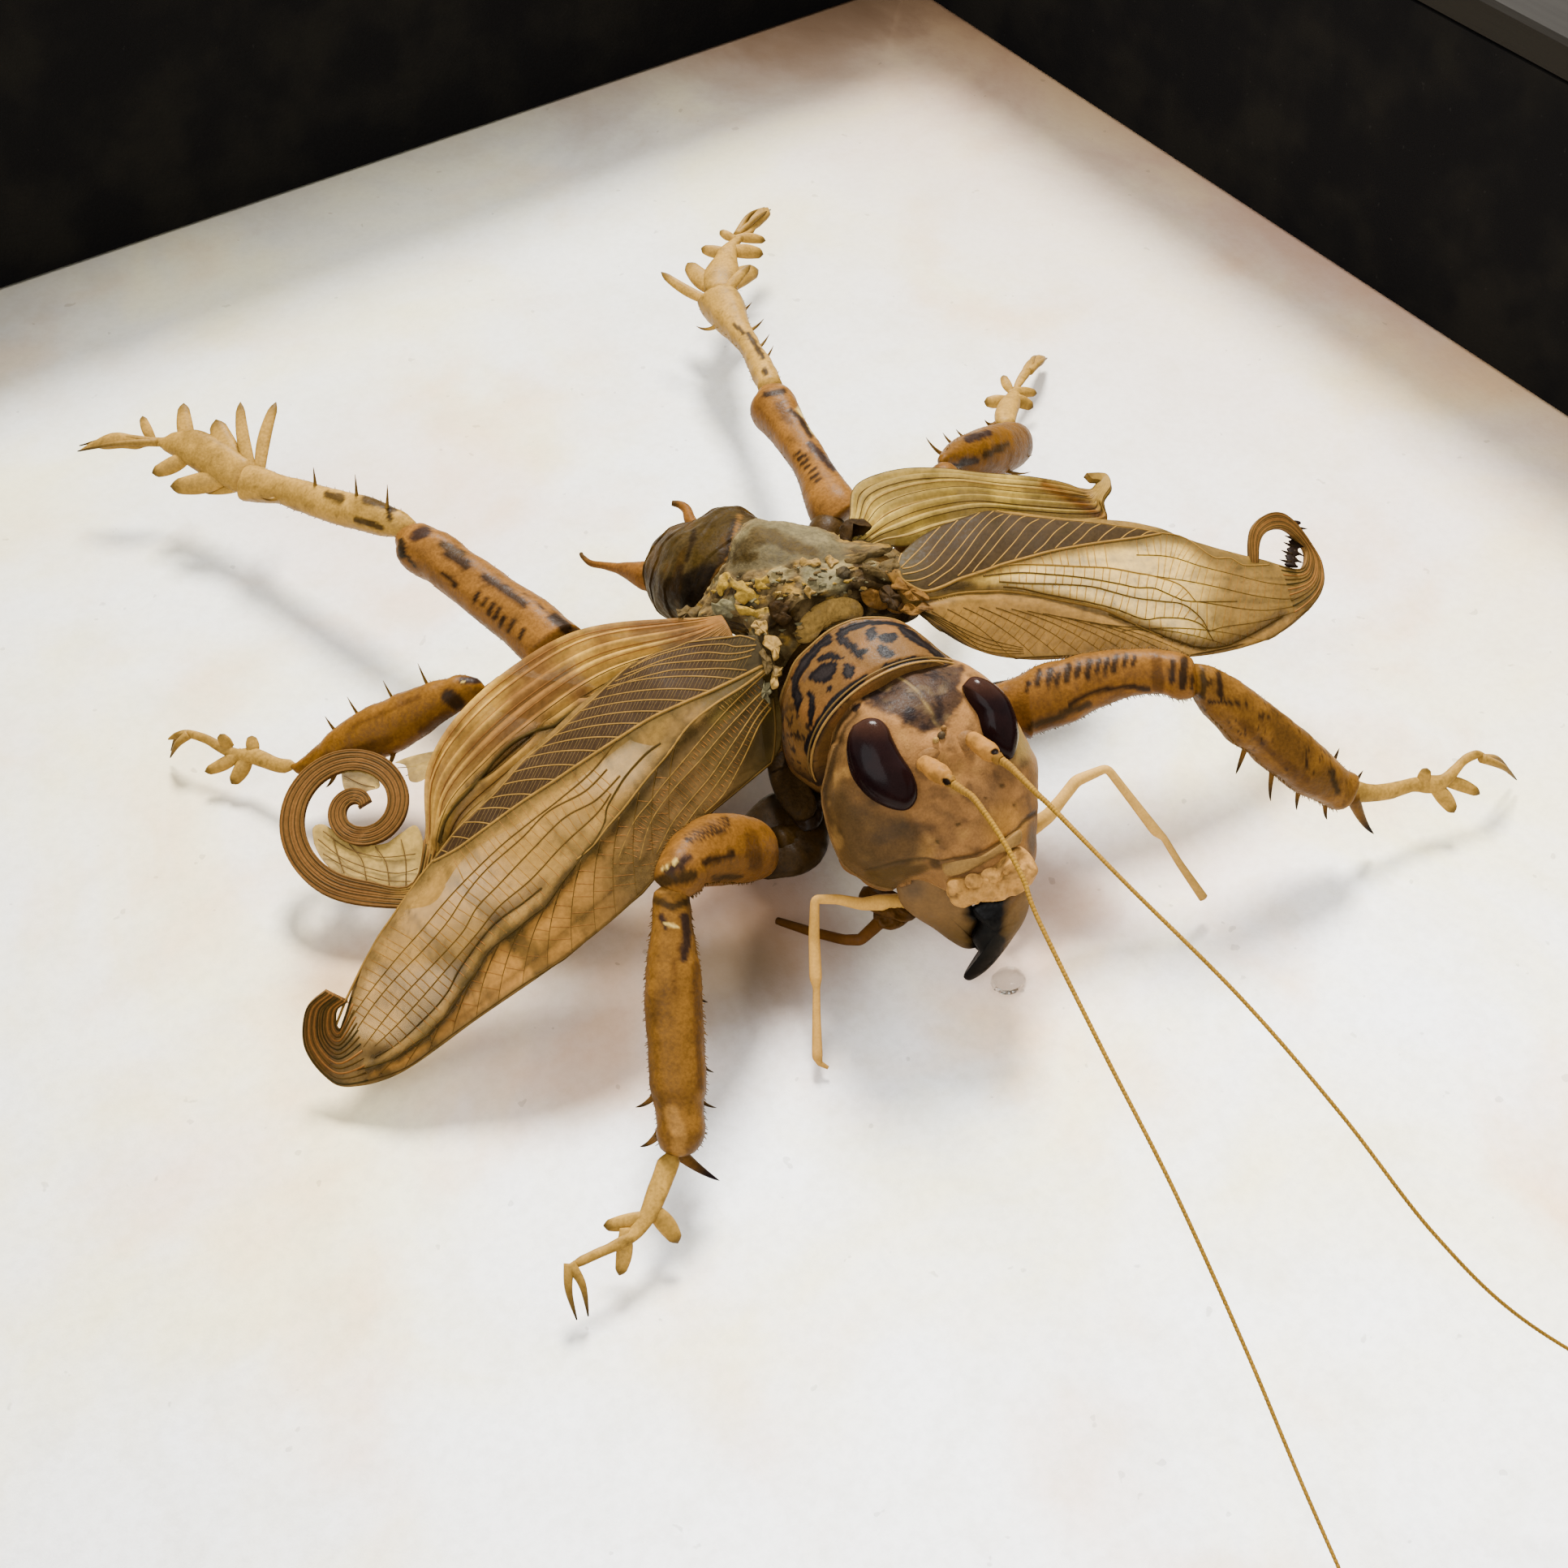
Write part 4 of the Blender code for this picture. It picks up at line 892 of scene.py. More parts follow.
MEMBRANE_BROWN = tone(158, 118, 62)

PANEL_DARK = tone(122, 78, 56)

PANEL_RED = tone(104, 62, 40)

VEIN_TONES = {"gold": VEIN_GOLD, "brown": VEIN_BROWN, "dark": VEIN_DARK}

VEIN_PALE = tone(208, 164, 104)

# Pixels of the right forewing's borders, root first
RF_REAR = [
    (940, 777), (916, 771), (881, 771), (855, 777), (828, 790), (801, 803), (774, 822), (753, 841),
    (731, 862), (710, 881), (694, 897), (678, 911), (662, 924), (646, 937), (627, 959), (608, 980),
    (587, 999), (560, 1026), (537, 1056),
]
RF_GOLD = [
    (948, 817), (916, 833), (876, 852), (839, 868), (801, 886), (761, 911), (721, 937), (681, 964),
    (640, 991), (600, 1020), (564, 1046), (534, 1062),
]
RF_REAR_TIP = [
    (534, 1060), (513, 1086), (494, 1107), (483, 1126), (467, 1153), (451, 1182), (438, 1206),
    (427, 1230), (418, 1254), (406, 1281),
]
RF_FOLD = [
    (948, 824), (916, 848), (881, 872), (849, 898), (820, 934), (796, 965), (769, 1000), (750, 1022),
    (733, 1042), (710, 1066), (690, 1091), (673, 1115), (655, 1129), (636, 1145), (615, 1161),
    (601, 1174), (590, 1193), (574, 1214), (561, 1236), (548, 1254), (521, 1281), (489, 1303),
    (455, 1316),
]
RF_FRONT = [
    (952, 860), (955, 905), (945, 950), (900, 982), (868, 1008), (835, 1042), (800, 1090), (760, 1132),
    (718, 1166), (645, 1213), (593, 1249), (547, 1282), (500, 1316), (450, 1333),
]

# Long veins of the right forewing: half width, tone and pixels
RF_VEINS = [
    (0.15, "gold", [(948, 822), (916, 846), (881, 868), (849, 894), (823, 929), (796, 961), (769, 996),
        (748, 1020), (731, 1042), (710, 1060)]),
    (0.10, "brown", [(748, 948), (721, 975), (676, 1000), (644, 1032), (601, 1070), (574, 1102),
        (553, 1134), (526, 1166), (489, 1204), (462, 1236), (440, 1268)]),
    (0.10, "brown", [(764, 956), (734, 986), (695, 1008), (655, 1048), (614, 1091), (588, 1118),
        (569, 1150), (534, 1188), (499, 1225), (473, 1257), (448, 1290)]),
    (0.10, "brown", [(753, 978), (735, 1003), (695, 1040), (655, 1083), (614, 1118), (588, 1150),
        (558, 1185), (521, 1228), (489, 1263), (462, 1289)]),
    (0.10, "brown", [(761, 911), (730, 950), (690, 985), (655, 1012), (618, 1042), (580, 1078),
        (548, 1112), (520, 1146), (488, 1182), (456, 1222), (430, 1258)]),
    (0.11, "dark", [(668, 1094), (641, 1115), (614, 1134), (596, 1153), (580, 1174), (564, 1198),
        (553, 1220), (537, 1241), (515, 1263), (489, 1287), (462, 1303)]),
    (0.12, "dark", [(814, 916), (796, 929), (774, 953), (761, 972), (748, 996), (745, 1015), (732, 1038),
        (722, 1048), (706, 1070), (690, 1091), (673, 1115), (655, 1129), (636, 1145), (615, 1161),
        (601, 1174), (590, 1193), (574, 1214), (561, 1236), (548, 1254), (521, 1281), (489, 1303),
        (440, 1319)]),
]

# Fan of the right forewing's front field
RF_FAN = [
    [(948, 825), (908, 862), (876, 897), (844, 935), (817, 967), (801, 988), (780, 1015), (761, 1060)],
    [(943, 849), (916, 876), (887, 908), (860, 940), (828, 975), (801, 1015), (788, 1060)],
    [(946, 854), (927, 881), (903, 916), (876, 956), (849, 988), (828, 1015), (809, 1052)],
    [(948, 866), (930, 889), (908, 929), (881, 969), (855, 1002), (836, 1028)],
    [(950, 872), (935, 894), (916, 935), (892, 978), (868, 1002)],
]

# Dark lines along the right forewing's creases, their own brown with painted shade in the folds: half width
# in pixels, strength and pixels
RF_CREASE_SHADE_LINES = [
    (7, 0.85, RF_FOLD[3:]),
    (6, 0.6, [(668, 1094), (614, 1134), (580, 1174), (553, 1220), (515, 1263), (462, 1303)]),
    (5, 0.6, [(948, 832), (900, 872), (850, 918), (812, 962)]),
    (8, 0.7, [(955, 840), (948, 880), (940, 930)]),
    (4, 0.5, [(801, 1050), (740, 1110), (660, 1180), (560, 1262)]),
    (10, 0.5, [(440, 1250), (420, 1290), (400, 1312)]),
]


def hatch(lines, spacing, rng, way=None, border=None, jitter=0.2, reach=40.0):
    """Cross veins from each line to the next, along one way or square to the line."""
    made = []
    for a, b in zip(lines, lines[1:]):
        length = np.linalg.norm(np.diff(a, axis=0), axis=1).sum()
        count = max(int(length / spacing), 2)
        places = route(a, count * 4 + 1)
        targets = [b] if border is None else [b, border]
        for k in range(1, count):
            spot = int((k + rng.uniform(-jitter, jitter)) * 4)
            p = places[spot]
            if way is None:
                run = unit(places[min(spot + 1, count * 4)] - places[spot - 1])
                aim_at = np.array([-run[1], run[0]])
                middle = b[np.argmin(np.linalg.norm(b - p, axis=1))]
                aim_at = aim_at if (middle - p) @ aim_at > 0 else -aim_at
            else:
                aim_at = unit(np.array(way, float))
            best = None
            for target in targets:
                start = target[:-1]
                step = np.diff(target, axis=0)
                cross = aim_at[0] * step[:, 1] - aim_at[1] * step[:, 0]
                cross = np.where(np.abs(cross) < 1e-9, 1e-9, cross)
                gap = start - p
                along = (gap[:, 0] * step[:, 1] - gap[:, 1] * step[:, 0]) / cross
                share = (gap[:, 0] * aim_at[1] - gap[:, 1] * aim_at[0]) / cross
                good = (share >= 0) & (share <= 1) & (along > 0.5) & (along < reach)
                if good.any():
                    nearest = along[good].min()
                    best = nearest if best is None else min(best, nearest)
            if best is not None:
                q = p + aim_at * best
                made.append(np.array([p, (p + q) / 2 + rng.normal(0, 0.25, 2), q]))
    return made


# Veins at the right panel's root, rear edge first
RF_ROOT_NET = [
    [(936, 784), (900, 777), (870, 780), (840, 786), (826, 792), (803, 803)],
    [(934, 790), (920, 785), (896, 782), (864, 786), (830, 799), (808, 806), (785, 818)],
    [(932, 795), (906, 797), (892, 794), (860, 796), (830, 802), (800, 812), (776, 824)],
    [(930, 800), (916, 804), (896, 806), (870, 804), (840, 808), (816, 814), (790, 824), (768, 832)],
    [(926, 808), (900, 814), (870, 814), (840, 816), (820, 818), (800, 822), (780, 831), (758, 840)],
    [(920, 826), (890, 824), (860, 825), (830, 826), (810, 830), (780, 838), (748, 850)],
]

# Where the right forewing's paint changes: columns, a row and a spot, in pixels
RF_DISTAL = (640, 520)
RF_PALE_FRONT = (800, 640)
RF_PALE_SPOT = (905, 868)
RF_ROOT_ROW = 900
RF_ROOT_DARK = (846, 930)
RF_ROOT_PANEL = (860, 930)


def forewing_right():
    rng = np.random.default_rng(11)
    wing = Wing("forewing_right")
    ridge = np.exp(-(to_line(wing.pixels, RF_FOLD) / 7) ** 2) * 0.35
    ridge -= np.exp(-(to_line(wing.pixels, RF_CREASE_SHADE_LINES[1][2]) / 8) ** 2) * 0.3
    for line in RF_FAN:
        ridge = ridge + np.exp(-(to_line(wing.pixels, line) / 5) ** 2) * 0.12
    ripple = cloud(wing.sheet.reshape(-1, 3), 5.0, 3) * 0.22
    wing.sheet = wing.sheet + (wing.normal * (ridge + ripple).reshape(wing.sheet.shape[:2])[..., None])
    wing.settle()
    px = wing.pixels
    panel = within(px, RF_GOLD + RF_REAR[::-1])
    distal = leftward(px, *RF_DISTAL)
    streak = cloud(np.stack([px @ np.array([0.75, -0.66]) / 14, px @ np.array([0.66, 0.75]) / 140,
                             px[:, 0] * 0], axis=1), 1.0, 21)
    paint = np.tile(MEMBRANE_TAN, (len(px), 1))
    cells = ease(within(px, RF_GOLD[3:] + RF_REAR_TIP + RF_FOLD[::-1][1:-4]), 2, 22)
    paint = lay(paint, MEMBRANE_PALE, cells * 0.7)
    front = within(px, RF_FOLD + RF_FRONT[::-1])
    paint = lay(paint, tone(180, 138, 90), ease(front, 0, 6) * 0.85)
    paint = lay(paint, tone(224, 194, 138), ease(front, 0, 8) * leftward(px, *RF_PALE_FRONT) * 0.85)
    paint = spot(paint, (222, 204, 158), px, RF_PALE_SPOT, 48, 14, -40, 0, 0.7, 0.8)
    root_dark = ease(px[:, 0] - 0.35 * (px[:, 1] - RF_ROOT_ROW), *RF_ROOT_DARK)
    paint = lay(paint, tone(98, 66, 30), root_dark * 0.85)
    paint = lay(paint, MEMBRANE_BROWN, np.exp(-(to_line(px, RF_GOLD + RF_REAR_TIP[:2]) / 9) ** 2) * 0.6)
    # Dark crease lines: the wing's own brown with painted shade in the folds.
    for width, strength, line in RF_CREASE_SHADE_LINES:
        gap = to_line(px, line) + cloud(px, 14, 9) * width * 0.5
        paint = lay(paint, tone(96, 62, 28), np.exp(-(gap / width) ** 2) * strength)
    paint = lay(paint, tone(146, 102, 56), ease(streak, 0.0, 0.7) * 0.6)
    paint = stain(paint, (150, 112, 60), px, 40, 22, 0.1, 0.8, 0.4)
    paint = lay(paint, PANEL_DARK * (1 - distal[:, None]) + PANEL_RED * distal[:, None],
                ease(panel, -1, 1.5))
    paint = lay(paint, tone(150, 124, 92), ease(panel, -1, 1.5) * ease(px[:, 0], *RF_ROOT_PANEL) * 0.6)
    tail = ease(wing.run, 0.66, 0.74)[:, None].repeat(WING_COLUMNS, 1).ravel()
    paint = lay(paint, tone(190, 142, 88), tail)
    specks = ease(cloud(px, 3.2, 23), 0.70, 0.80)
    paint = lay(paint, tone(110, 72, 40), specks * 0.4)
    alpha = np.full(len(px), 0.9)
    alpha = alpha * (1 - cells * 0.24)
    alpha = np.maximum(alpha, ease(panel, -1, 1.5))
    alpha = np.maximum(alpha, tail)
    shape = Shape()
    wing.membrane(shape, np.hstack([paint, alpha[:, None]]))
    net = [route(np.array(line, float), 60) for line in RF_ROOT_NET]
    net += oblique(RF_GOLD, RF_REAR, [(g, 0.36 + 0.65 * g) for g in 0.10 + np.arange(14) * 0.066], bow=0.05,
                   points=60)
    gold = route(np.array(RF_GOLD, float), 120)
    for line in net:
        wing.vein(shape, line, 0.075, VEIN_GOLD, 0.2)
    for line in hatch(net, 4.6, rng, way=(-0.45, 0.9), border=gold):
        wing.vein(shape, line, 0.042, tone(190, 158, 108), 0.0)
    for line, half, colour in ((RF_GOLD, 0.15, VEIN_GOLD), (RF_REAR, 0.08, VEIN_GOLD),
                               (RF_FRONT, 0.09, VEIN_BROWN),
                               (RF_REAR_TIP, 0.10, VEIN_GOLD)):
        wing.vein(shape, line, half, colour, 0.2)
    for half, colour, line in RF_VEINS:
        wing.vein(shape, line, half * 0.8, VEIN_TONES[colour], 0.4)
    inner = [route(np.array(line, float), 90) for line in (RF_VEINS[4][2], RF_VEINS[1][2], RF_VEINS[2][2],
                                                           RF_VEINS[3][2])]
    edge = route(np.array(RF_GOLD[5:] + RF_REAR_TIP[1:], float), 90)
    fold = route(np.array(RF_FOLD[5:-1], float), 90)
    for line in hatch([edge, *inner, fold], 12.0, rng):
        wing.vein(shape, line, 0.04, VEIN_PALE, 0.0)
    fan = [route(np.array(line, float), 60) for line in RF_FAN]
    for line in fan:
        wing.vein(shape, line, 0.08, VEIN_GOLD, 0.3)
    for line in hatch(fan, 6.0, rng):
        wing.vein(shape, line, 0.04, VEIN_PALE, 0.0)
    comb = [fan[0], route(np.array(RF_VEINS[0][2][1:], float), 60)]
    for line in hatch(comb, 4.5, rng, way=(-0.75, -0.66), reach=16):
        wing.vein(shape, line, 0.045, tone(214, 186, 136), 0.0)
    outer = oblique(RF_FOLD, RF_FRONT, [(0.22 + k / 13 * 0.66, 0.34 + k / 13 * 0.64) for k in range(14)],
                    bow=0.05, points=60)
    for line in outer:
        wing.vein(shape, line, 0.07, VEIN_BROWN)
    for line in hatch(outer, 14, rng):
        wing.vein(shape, line, 0.045, VEIN_PALE, 0.0)
    for column in np.linspace(0.04, 0.96, 13):
        wing.rib(shape, column, 0.60, 1.0, 0.07, (tone(126, 90, 48), VEIN_BROWN,
                                                  VEIN_PALE)[int(column * 22) % 3])
    make_piece("forewing_right_net", shape, wing_finishes("forewing_right"),
               ["forewing_right"])


# Pixels of the left forewing's borders, root first
LF_REAR = [
    (1104, 688), (1111, 672), (1125, 657), (1145, 645), (1168, 634), (1190, 627), (1213, 625),
    (1233, 631), (1264, 636), (1294, 639), (1325, 642), (1356, 645), (1376, 648), (1400, 651),
    (1430, 657),
]
LF_GOLD = [
    (1107, 704), (1111, 714), (1127, 725), (1141, 729), (1162, 723), (1182, 714), (1207, 706),
    (1235, 696), (1264, 688), (1294, 680), (1325, 674), (1356, 669), (1400, 663), (1430, 658),
]
LF_REAR_TIP = [
    (1430, 657), (1454, 661), (1471, 670), (1487, 682), (1499, 688), (1516, 688), (1530, 696),
    (1544, 697), (1564, 696),
]
LF_FOLD = [
    (1128, 742), (1166, 734), (1194, 729), (1235, 729), (1284, 735), (1325, 745), (1366, 757),
    (1400, 770), (1430, 782), (1455, 792), (1480, 798), (1510, 796), (1545, 780), (1580, 760),
]
LF_FRONT = [
    (1132, 752), (1150, 770), (1172, 786), (1194, 802), (1215, 814), (1264, 810), (1309, 808),
    (1360, 806), (1420, 806), (1471, 813), (1495, 813), (1524, 805), (1564, 787), (1595, 769),
    (1618, 744),
]

# Long veins of the left forewing: half width, tone and pixels
LF_VEINS = [
    (0.11, "gold", [(1202, 706), (1243, 696), (1284, 696), (1325, 698), (1366, 700), (1400, 706),
        (1422, 710), (1454, 721), (1473, 741)]),
    (0.10, "brown", [(1211, 710), (1253, 706), (1294, 708), (1335, 712), (1376, 719), (1400, 724),
        (1422, 725), (1446, 735), (1467, 741), (1524, 741)]),
    (0.10, "brown", [(1231, 717), (1264, 719), (1304, 720), (1345, 723), (1376, 731), (1400, 737),
        (1432, 741), (1458, 745), (1479, 761), (1489, 778)]),
    (0.10, "brown", [(1236, 723), (1258, 725), (1284, 731), (1315, 737), (1345, 743), (1376, 751),
        (1409, 763), (1432, 761), (1462, 763), (1483, 772), (1495, 790)]),
    (0.16, "gold", [(1117, 737), (1151, 737), (1182, 731), (1213, 729), (1243, 729), (1274, 733),
        (1304, 739), (1335, 745), (1366, 753), (1400, 770), (1432, 785)]),
]

LF_TIP_VEINS = [
    [(1400, 684), (1440, 686), (1480, 698), (1520, 708), (1560, 718), (1600, 722)],
    [(1422, 710), (1462, 716), (1502, 724), (1546, 734), (1580, 738), (1612, 736)],
    [(1473, 741), (1500, 745), (1530, 750), (1560, 752), (1590, 748), (1614, 742)],
    [(1489, 778), (1510, 772), (1540, 768), (1570, 762), (1600, 752)],
]

LF_ROOT = [(1120, 748), (1136, 756), (1148, 764), (1160, 772)]

# Veins of the left panel from its root outwards, each from the gold vein to the rear edge
LF_NET = [
    [(1106, 698), (1110, 684), (1120, 672), (1136, 656), (1146, 648)],
    [(1110, 700), (1118, 692), (1134, 676), (1148, 660), (1160, 648), (1172, 640)],
    [(1112, 701), (1126, 698), (1140, 688), (1156, 668), (1170, 652), (1184, 638), (1200, 630)],
    [(1112, 708), (1132, 704), (1148, 696), (1164, 678), (1180, 658), (1194, 642), (1210, 630)],
    [(1108, 715), (1124, 716), (1140, 712), (1160, 700), (1180, 678), (1196, 658), (1212, 640),
        (1224, 630)],
    [(1144, 722), (1160, 710), (1176, 698), (1192, 678), (1208, 656), (1224, 640), (1236, 634)],
    [(1180, 710), (1192, 698), (1208, 678), (1224, 658), (1240, 640), (1246, 634)],
    [(1198, 706), (1204, 698), (1220, 680), (1238, 658), (1256, 640), (1266, 636)],
    [(1220, 700), (1232, 688), (1250, 668), (1266, 648), (1280, 640)],
    [(1250, 690), (1256, 682), (1272, 664), (1288, 648), (1300, 640)],
    [(1274, 682), (1286, 672), (1300, 656), (1316, 644)],
    [(1300, 676), (1310, 666), (1324, 654), (1338, 642)],
    [(1322, 672), (1332, 664), (1344, 652), (1356, 646)],
    [(1352, 668), (1362, 658), (1376, 648)],
    [(1380, 665), (1390, 657), (1402, 651)],
    [(1404, 662), (1414, 656), (1424, 655)],
]

# Where the left forewing's paint changes and its short lines run, in pixels
LF_CELLS = (1520, 1440)
LF_ROOT_SPOT = (1178, 722)
LF_ROOT_DOT = (1121, 751)
LF_ROOT_PATCH = [(1112, 742), (1141, 760), (1170, 778), (1196, 796), (1180, 800), (1150, 782), (1125, 764),
                 (1108, 750)]
LF_RUST_COLUMNS = (1134, 1105)
LF_RUST_ROWS = (742, 728)
LF_ROOT_PANEL = (1150, 1105)
LF_COMB_EDGE = [(1148, 748), (1200, 743), (1260, 746), (1330, 757)]
LF_OUTER_EDGE = [(1148, 753), (1200, 748), (1260, 752), (1330, 765), (1400, 782), (1440, 792)]
LF_ROOT_VEIN = [(1122, 748), (1160, 760), (1210, 780), (1260, 796)]
LF_ROOT_END = [(1210, 806), (1262, 808)]


def forewing_left():
    rng = np.random.default_rng(12)
    wing = Wing("forewing_left")
    ripple = cloud(wing.sheet.reshape(-1, 3), 5.0, 5) * 0.2
    ridge = np.exp(-(to_line(wing.pixels, LF_FOLD) / 6) ** 2) * 0.3
    wing.sheet = wing.sheet + (wing.normal * (ridge + ripple).reshape(wing.sheet.shape[:2])[..., None])
    wing.settle()
    px = wing.pixels
    panel = within(px, LF_GOLD + LF_REAR[::-1])
    streak = cloud(np.stack([px[:, 1] / 9, px[:, 0] / 110, px[:, 0] * 0], axis=1), 1.0, 24)
    paint = np.tile(tone(206, 176, 116), (len(px), 1))
    cells = ease(within(px, LF_GOLD[4:] + LF_REAR_TIP + LF_FOLD[::-1][1:-3]), 2, 18)
    cells = cells * leftward(px, *LF_CELLS)
    paint = lay(paint, tone(238, 222, 180), cells * 0.85)
    paint = lay(paint, tone(212, 180, 120), ease(within(px, LF_FOLD + LF_FRONT[::-1]), 0, 5) * 0.7)
    paint = lay(paint, MEMBRANE_BROWN, np.exp(-(to_line(px, LF_GOLD[6:] + LF_REAR_TIP) / 8) ** 2) * 0.6)
    # Dark band along the fold: the wing's own brown with painted shade in the crease.
    paint = lay(paint, tone(126, 86, 42), np.exp(-(to_line(px, LF_FOLD) / 4) ** 2) * 0.5)
    paint = lay(paint, tone(140, 100, 52), np.exp(-(to_line(px, LF_VEINS[2][2]) / 5) ** 2) * 0.5)
    paint = lay(paint, tone(152, 114, 60), ease(streak, 0.1, 0.7) * 0.45)
    paint = spot(paint, (70, 42, 24), px, LF_ROOT_SPOT, 40, 8, -8, 0, 0.6, 0.8)
    paint = lay(paint, tone(56, 32, 18), ease(within(px, LF_ROOT_PATCH), -2, 3) * 0.85)
    paint = lay(paint, tone(20, 12, 8), ease(blotch(px, LF_ROOT_DOT, 9, 7, 0), 0, 0.4))
    paint = lay(paint, tone(190, 140, 72), leftward(px, *LF_RUST_COLUMNS) * upward(px, *LF_RUST_ROWS)
                * 0.8)
    paint = lay(paint, tone(126, 84, 56), ease(panel, -1, 1.5))
    paint = lay(paint, tone(160, 132, 92), ease(panel, -1, 1.5) * leftward(px, *LF_ROOT_PANEL) * 0.6)
    tail = ease(wing.run, 0.56, 0.66)[:, None].repeat(WING_COLUMNS, 1).ravel()
    paint = lay(paint, tone(196, 152, 96), tail * 0.85)
    paint = stain(paint, (120, 86, 46), px, 14, 18, 0.35, 0.9, 0.35)
    paint = stain(paint, (110, 72, 40), px, 3.2, 25, 0.72, 0.82, 0.35)
    alpha = np.maximum(0.92 * (1 - cells * 0.22), np.maximum(ease(panel, -1, 1.5), tail))
    shape = Shape()
    wing.membrane(shape, np.hstack([paint, alpha[:, None]]))
    net = [route(np.array(line, float), 60) for line in LF_NET]
    gold = route(np.array(LF_GOLD, float), 120)
    for line in net:
        wing.vein(shape, line, 0.075, tone(214, 186, 128), 0.2)
    for line in hatch(net, 3.2, rng, way=(1.0, 0.06), border=gold):
        wing.vein(shape, line, 0.032, tone(164, 132, 92), 0.0)
    for line, half, colour in ((LF_GOLD, 0.15, VEIN_GOLD), (LF_REAR, 0.08, VEIN_GOLD),
                               (LF_FRONT, 0.09, VEIN_BROWN),
                               (LF_REAR_TIP, 0.09, VEIN_GOLD), (LF_FOLD[6:], 0.10, VEIN_BROWN)):
        wing.vein(shape, line, half, colour, 0.2)
    for half, colour, line in LF_VEINS:
        wing.vein(shape, line, half * 0.85, VEIN_TONES[colour], 0.3)
    edge = route(np.array(LF_GOLD[6:] + LF_REAR_TIP[1:], float), 90)
    long_veins = [edge] + [route(np.array(line, float), 90) for _, _, line in LF_VEINS]
    for line in hatch(long_veins, 11.0, rng, reach=34):
        wing.vein(shape, line, 0.048, VEIN_PALE, 0.0)
    tip = [route(np.array(line, float), 60) for line in LF_TIP_VEINS]
    for line in tip:
        wing.vein(shape, line, 0.06, VEIN_BROWN, 0.2)
    for line in hatch([edge, *tip, route(np.array(LF_FOLD[-5:], float), 40)], 9.0, rng, reach=36):
        wing.vein(shape, line, 0.042, VEIN_PALE, 0.0)
    comb = [route(np.array(LF_VEINS[4][2][1:8], float), 60),
            route(np.array(LF_COMB_EDGE, float), 60)]
    for line in hatch(comb, 4.5, rng, way=(0.5, 0.87), reach=14):
        wing.vein(shape, line, 0.045, tone(206, 178, 120), 0.0)
    outer = oblique(LF_OUTER_EDGE, LF_FRONT[2:],
                    [(0.0 + k / 12 * 0.80, 0.12 + k / 12 * 0.72) for k in range(13)], bow=-0.05, points=60)
    for line in outer:
        wing.vein(shape, line, 0.065, VEIN_BROWN)
    for line in hatch(outer, 9, rng):
        wing.vein(shape, line, 0.045, tone(196, 156, 92), 0.0)
    for line in between(LF_ROOT_VEIN, LF_ROOT + LF_ROOT_END, 4, 40):
        wing.vein(shape, line, 0.07, VEIN_DARK)
    for column in np.linspace(0.04, 0.96, 11):
        wing.rib(shape, column, 0.55, 1.0, 0.07, (VEIN_BROWN, VEIN_PALE,
                                                  tone(126, 90, 48))[int(column * 22) % 3])
    ring_strip(shape, rng)
    make_piece("forewing_left_net", shape, wing_finishes("forewing_left"),
               ["forewing_left"])


RH_FOLD = [
    (720, 868), (694, 886), (683, 894), (662, 900), (635, 913), (614, 932), (592, 959), (576, 977),
    (560, 995), (548, 1015), (541, 1038),
]


def pleat(wing, count, depth, until):
    """Fold the sheet into lengthwise pleats that fade towards its narrow end."""
    wave = np.abs((wing.share * count) % 1.0 - 0.5) * 2 - 0.5
    fade = ease(wing.width, 1.5, 5.0) * (1 - ease(wing.run, until, until + 0.12))
    fade = fade * ease(wing.run, 0.0, 0.05)
    wing.sheet = wing.sheet + wing.normal * (wave[None, :] * fade[:, None] * depth)[..., None]
    wing.settle()
    return wave


COIL_SKIN_VEINS = [
    [(392, 1034), (420, 1056), (455, 1070), (490, 1076), (515, 1070)],
    [(398, 1024), (430, 1046), (470, 1056), (512, 1052)],
    [(430, 1040), (446, 1060), (452, 1086)],
    [(462, 1043), (476, 1064), (480, 1094)],
    [(494, 1034), (500, 1060), (500, 1092)],
    [(410, 1032), (416, 1052), (424, 1076)],
    [(398, 1052), (430, 1070), (470, 1084), (506, 1086)],
    [(424, 956), (445, 966), (462, 970)],
    [(490, 946), (510, 944), (532, 936)],
    [(500, 956), (520, 946), (540, 932)],
]

# Columns and rows between which the right hindwing turns pale, in pixels
RH_PALE_COLUMNS = (700, 600)
RH_PALE_ROWS = (900, 960)


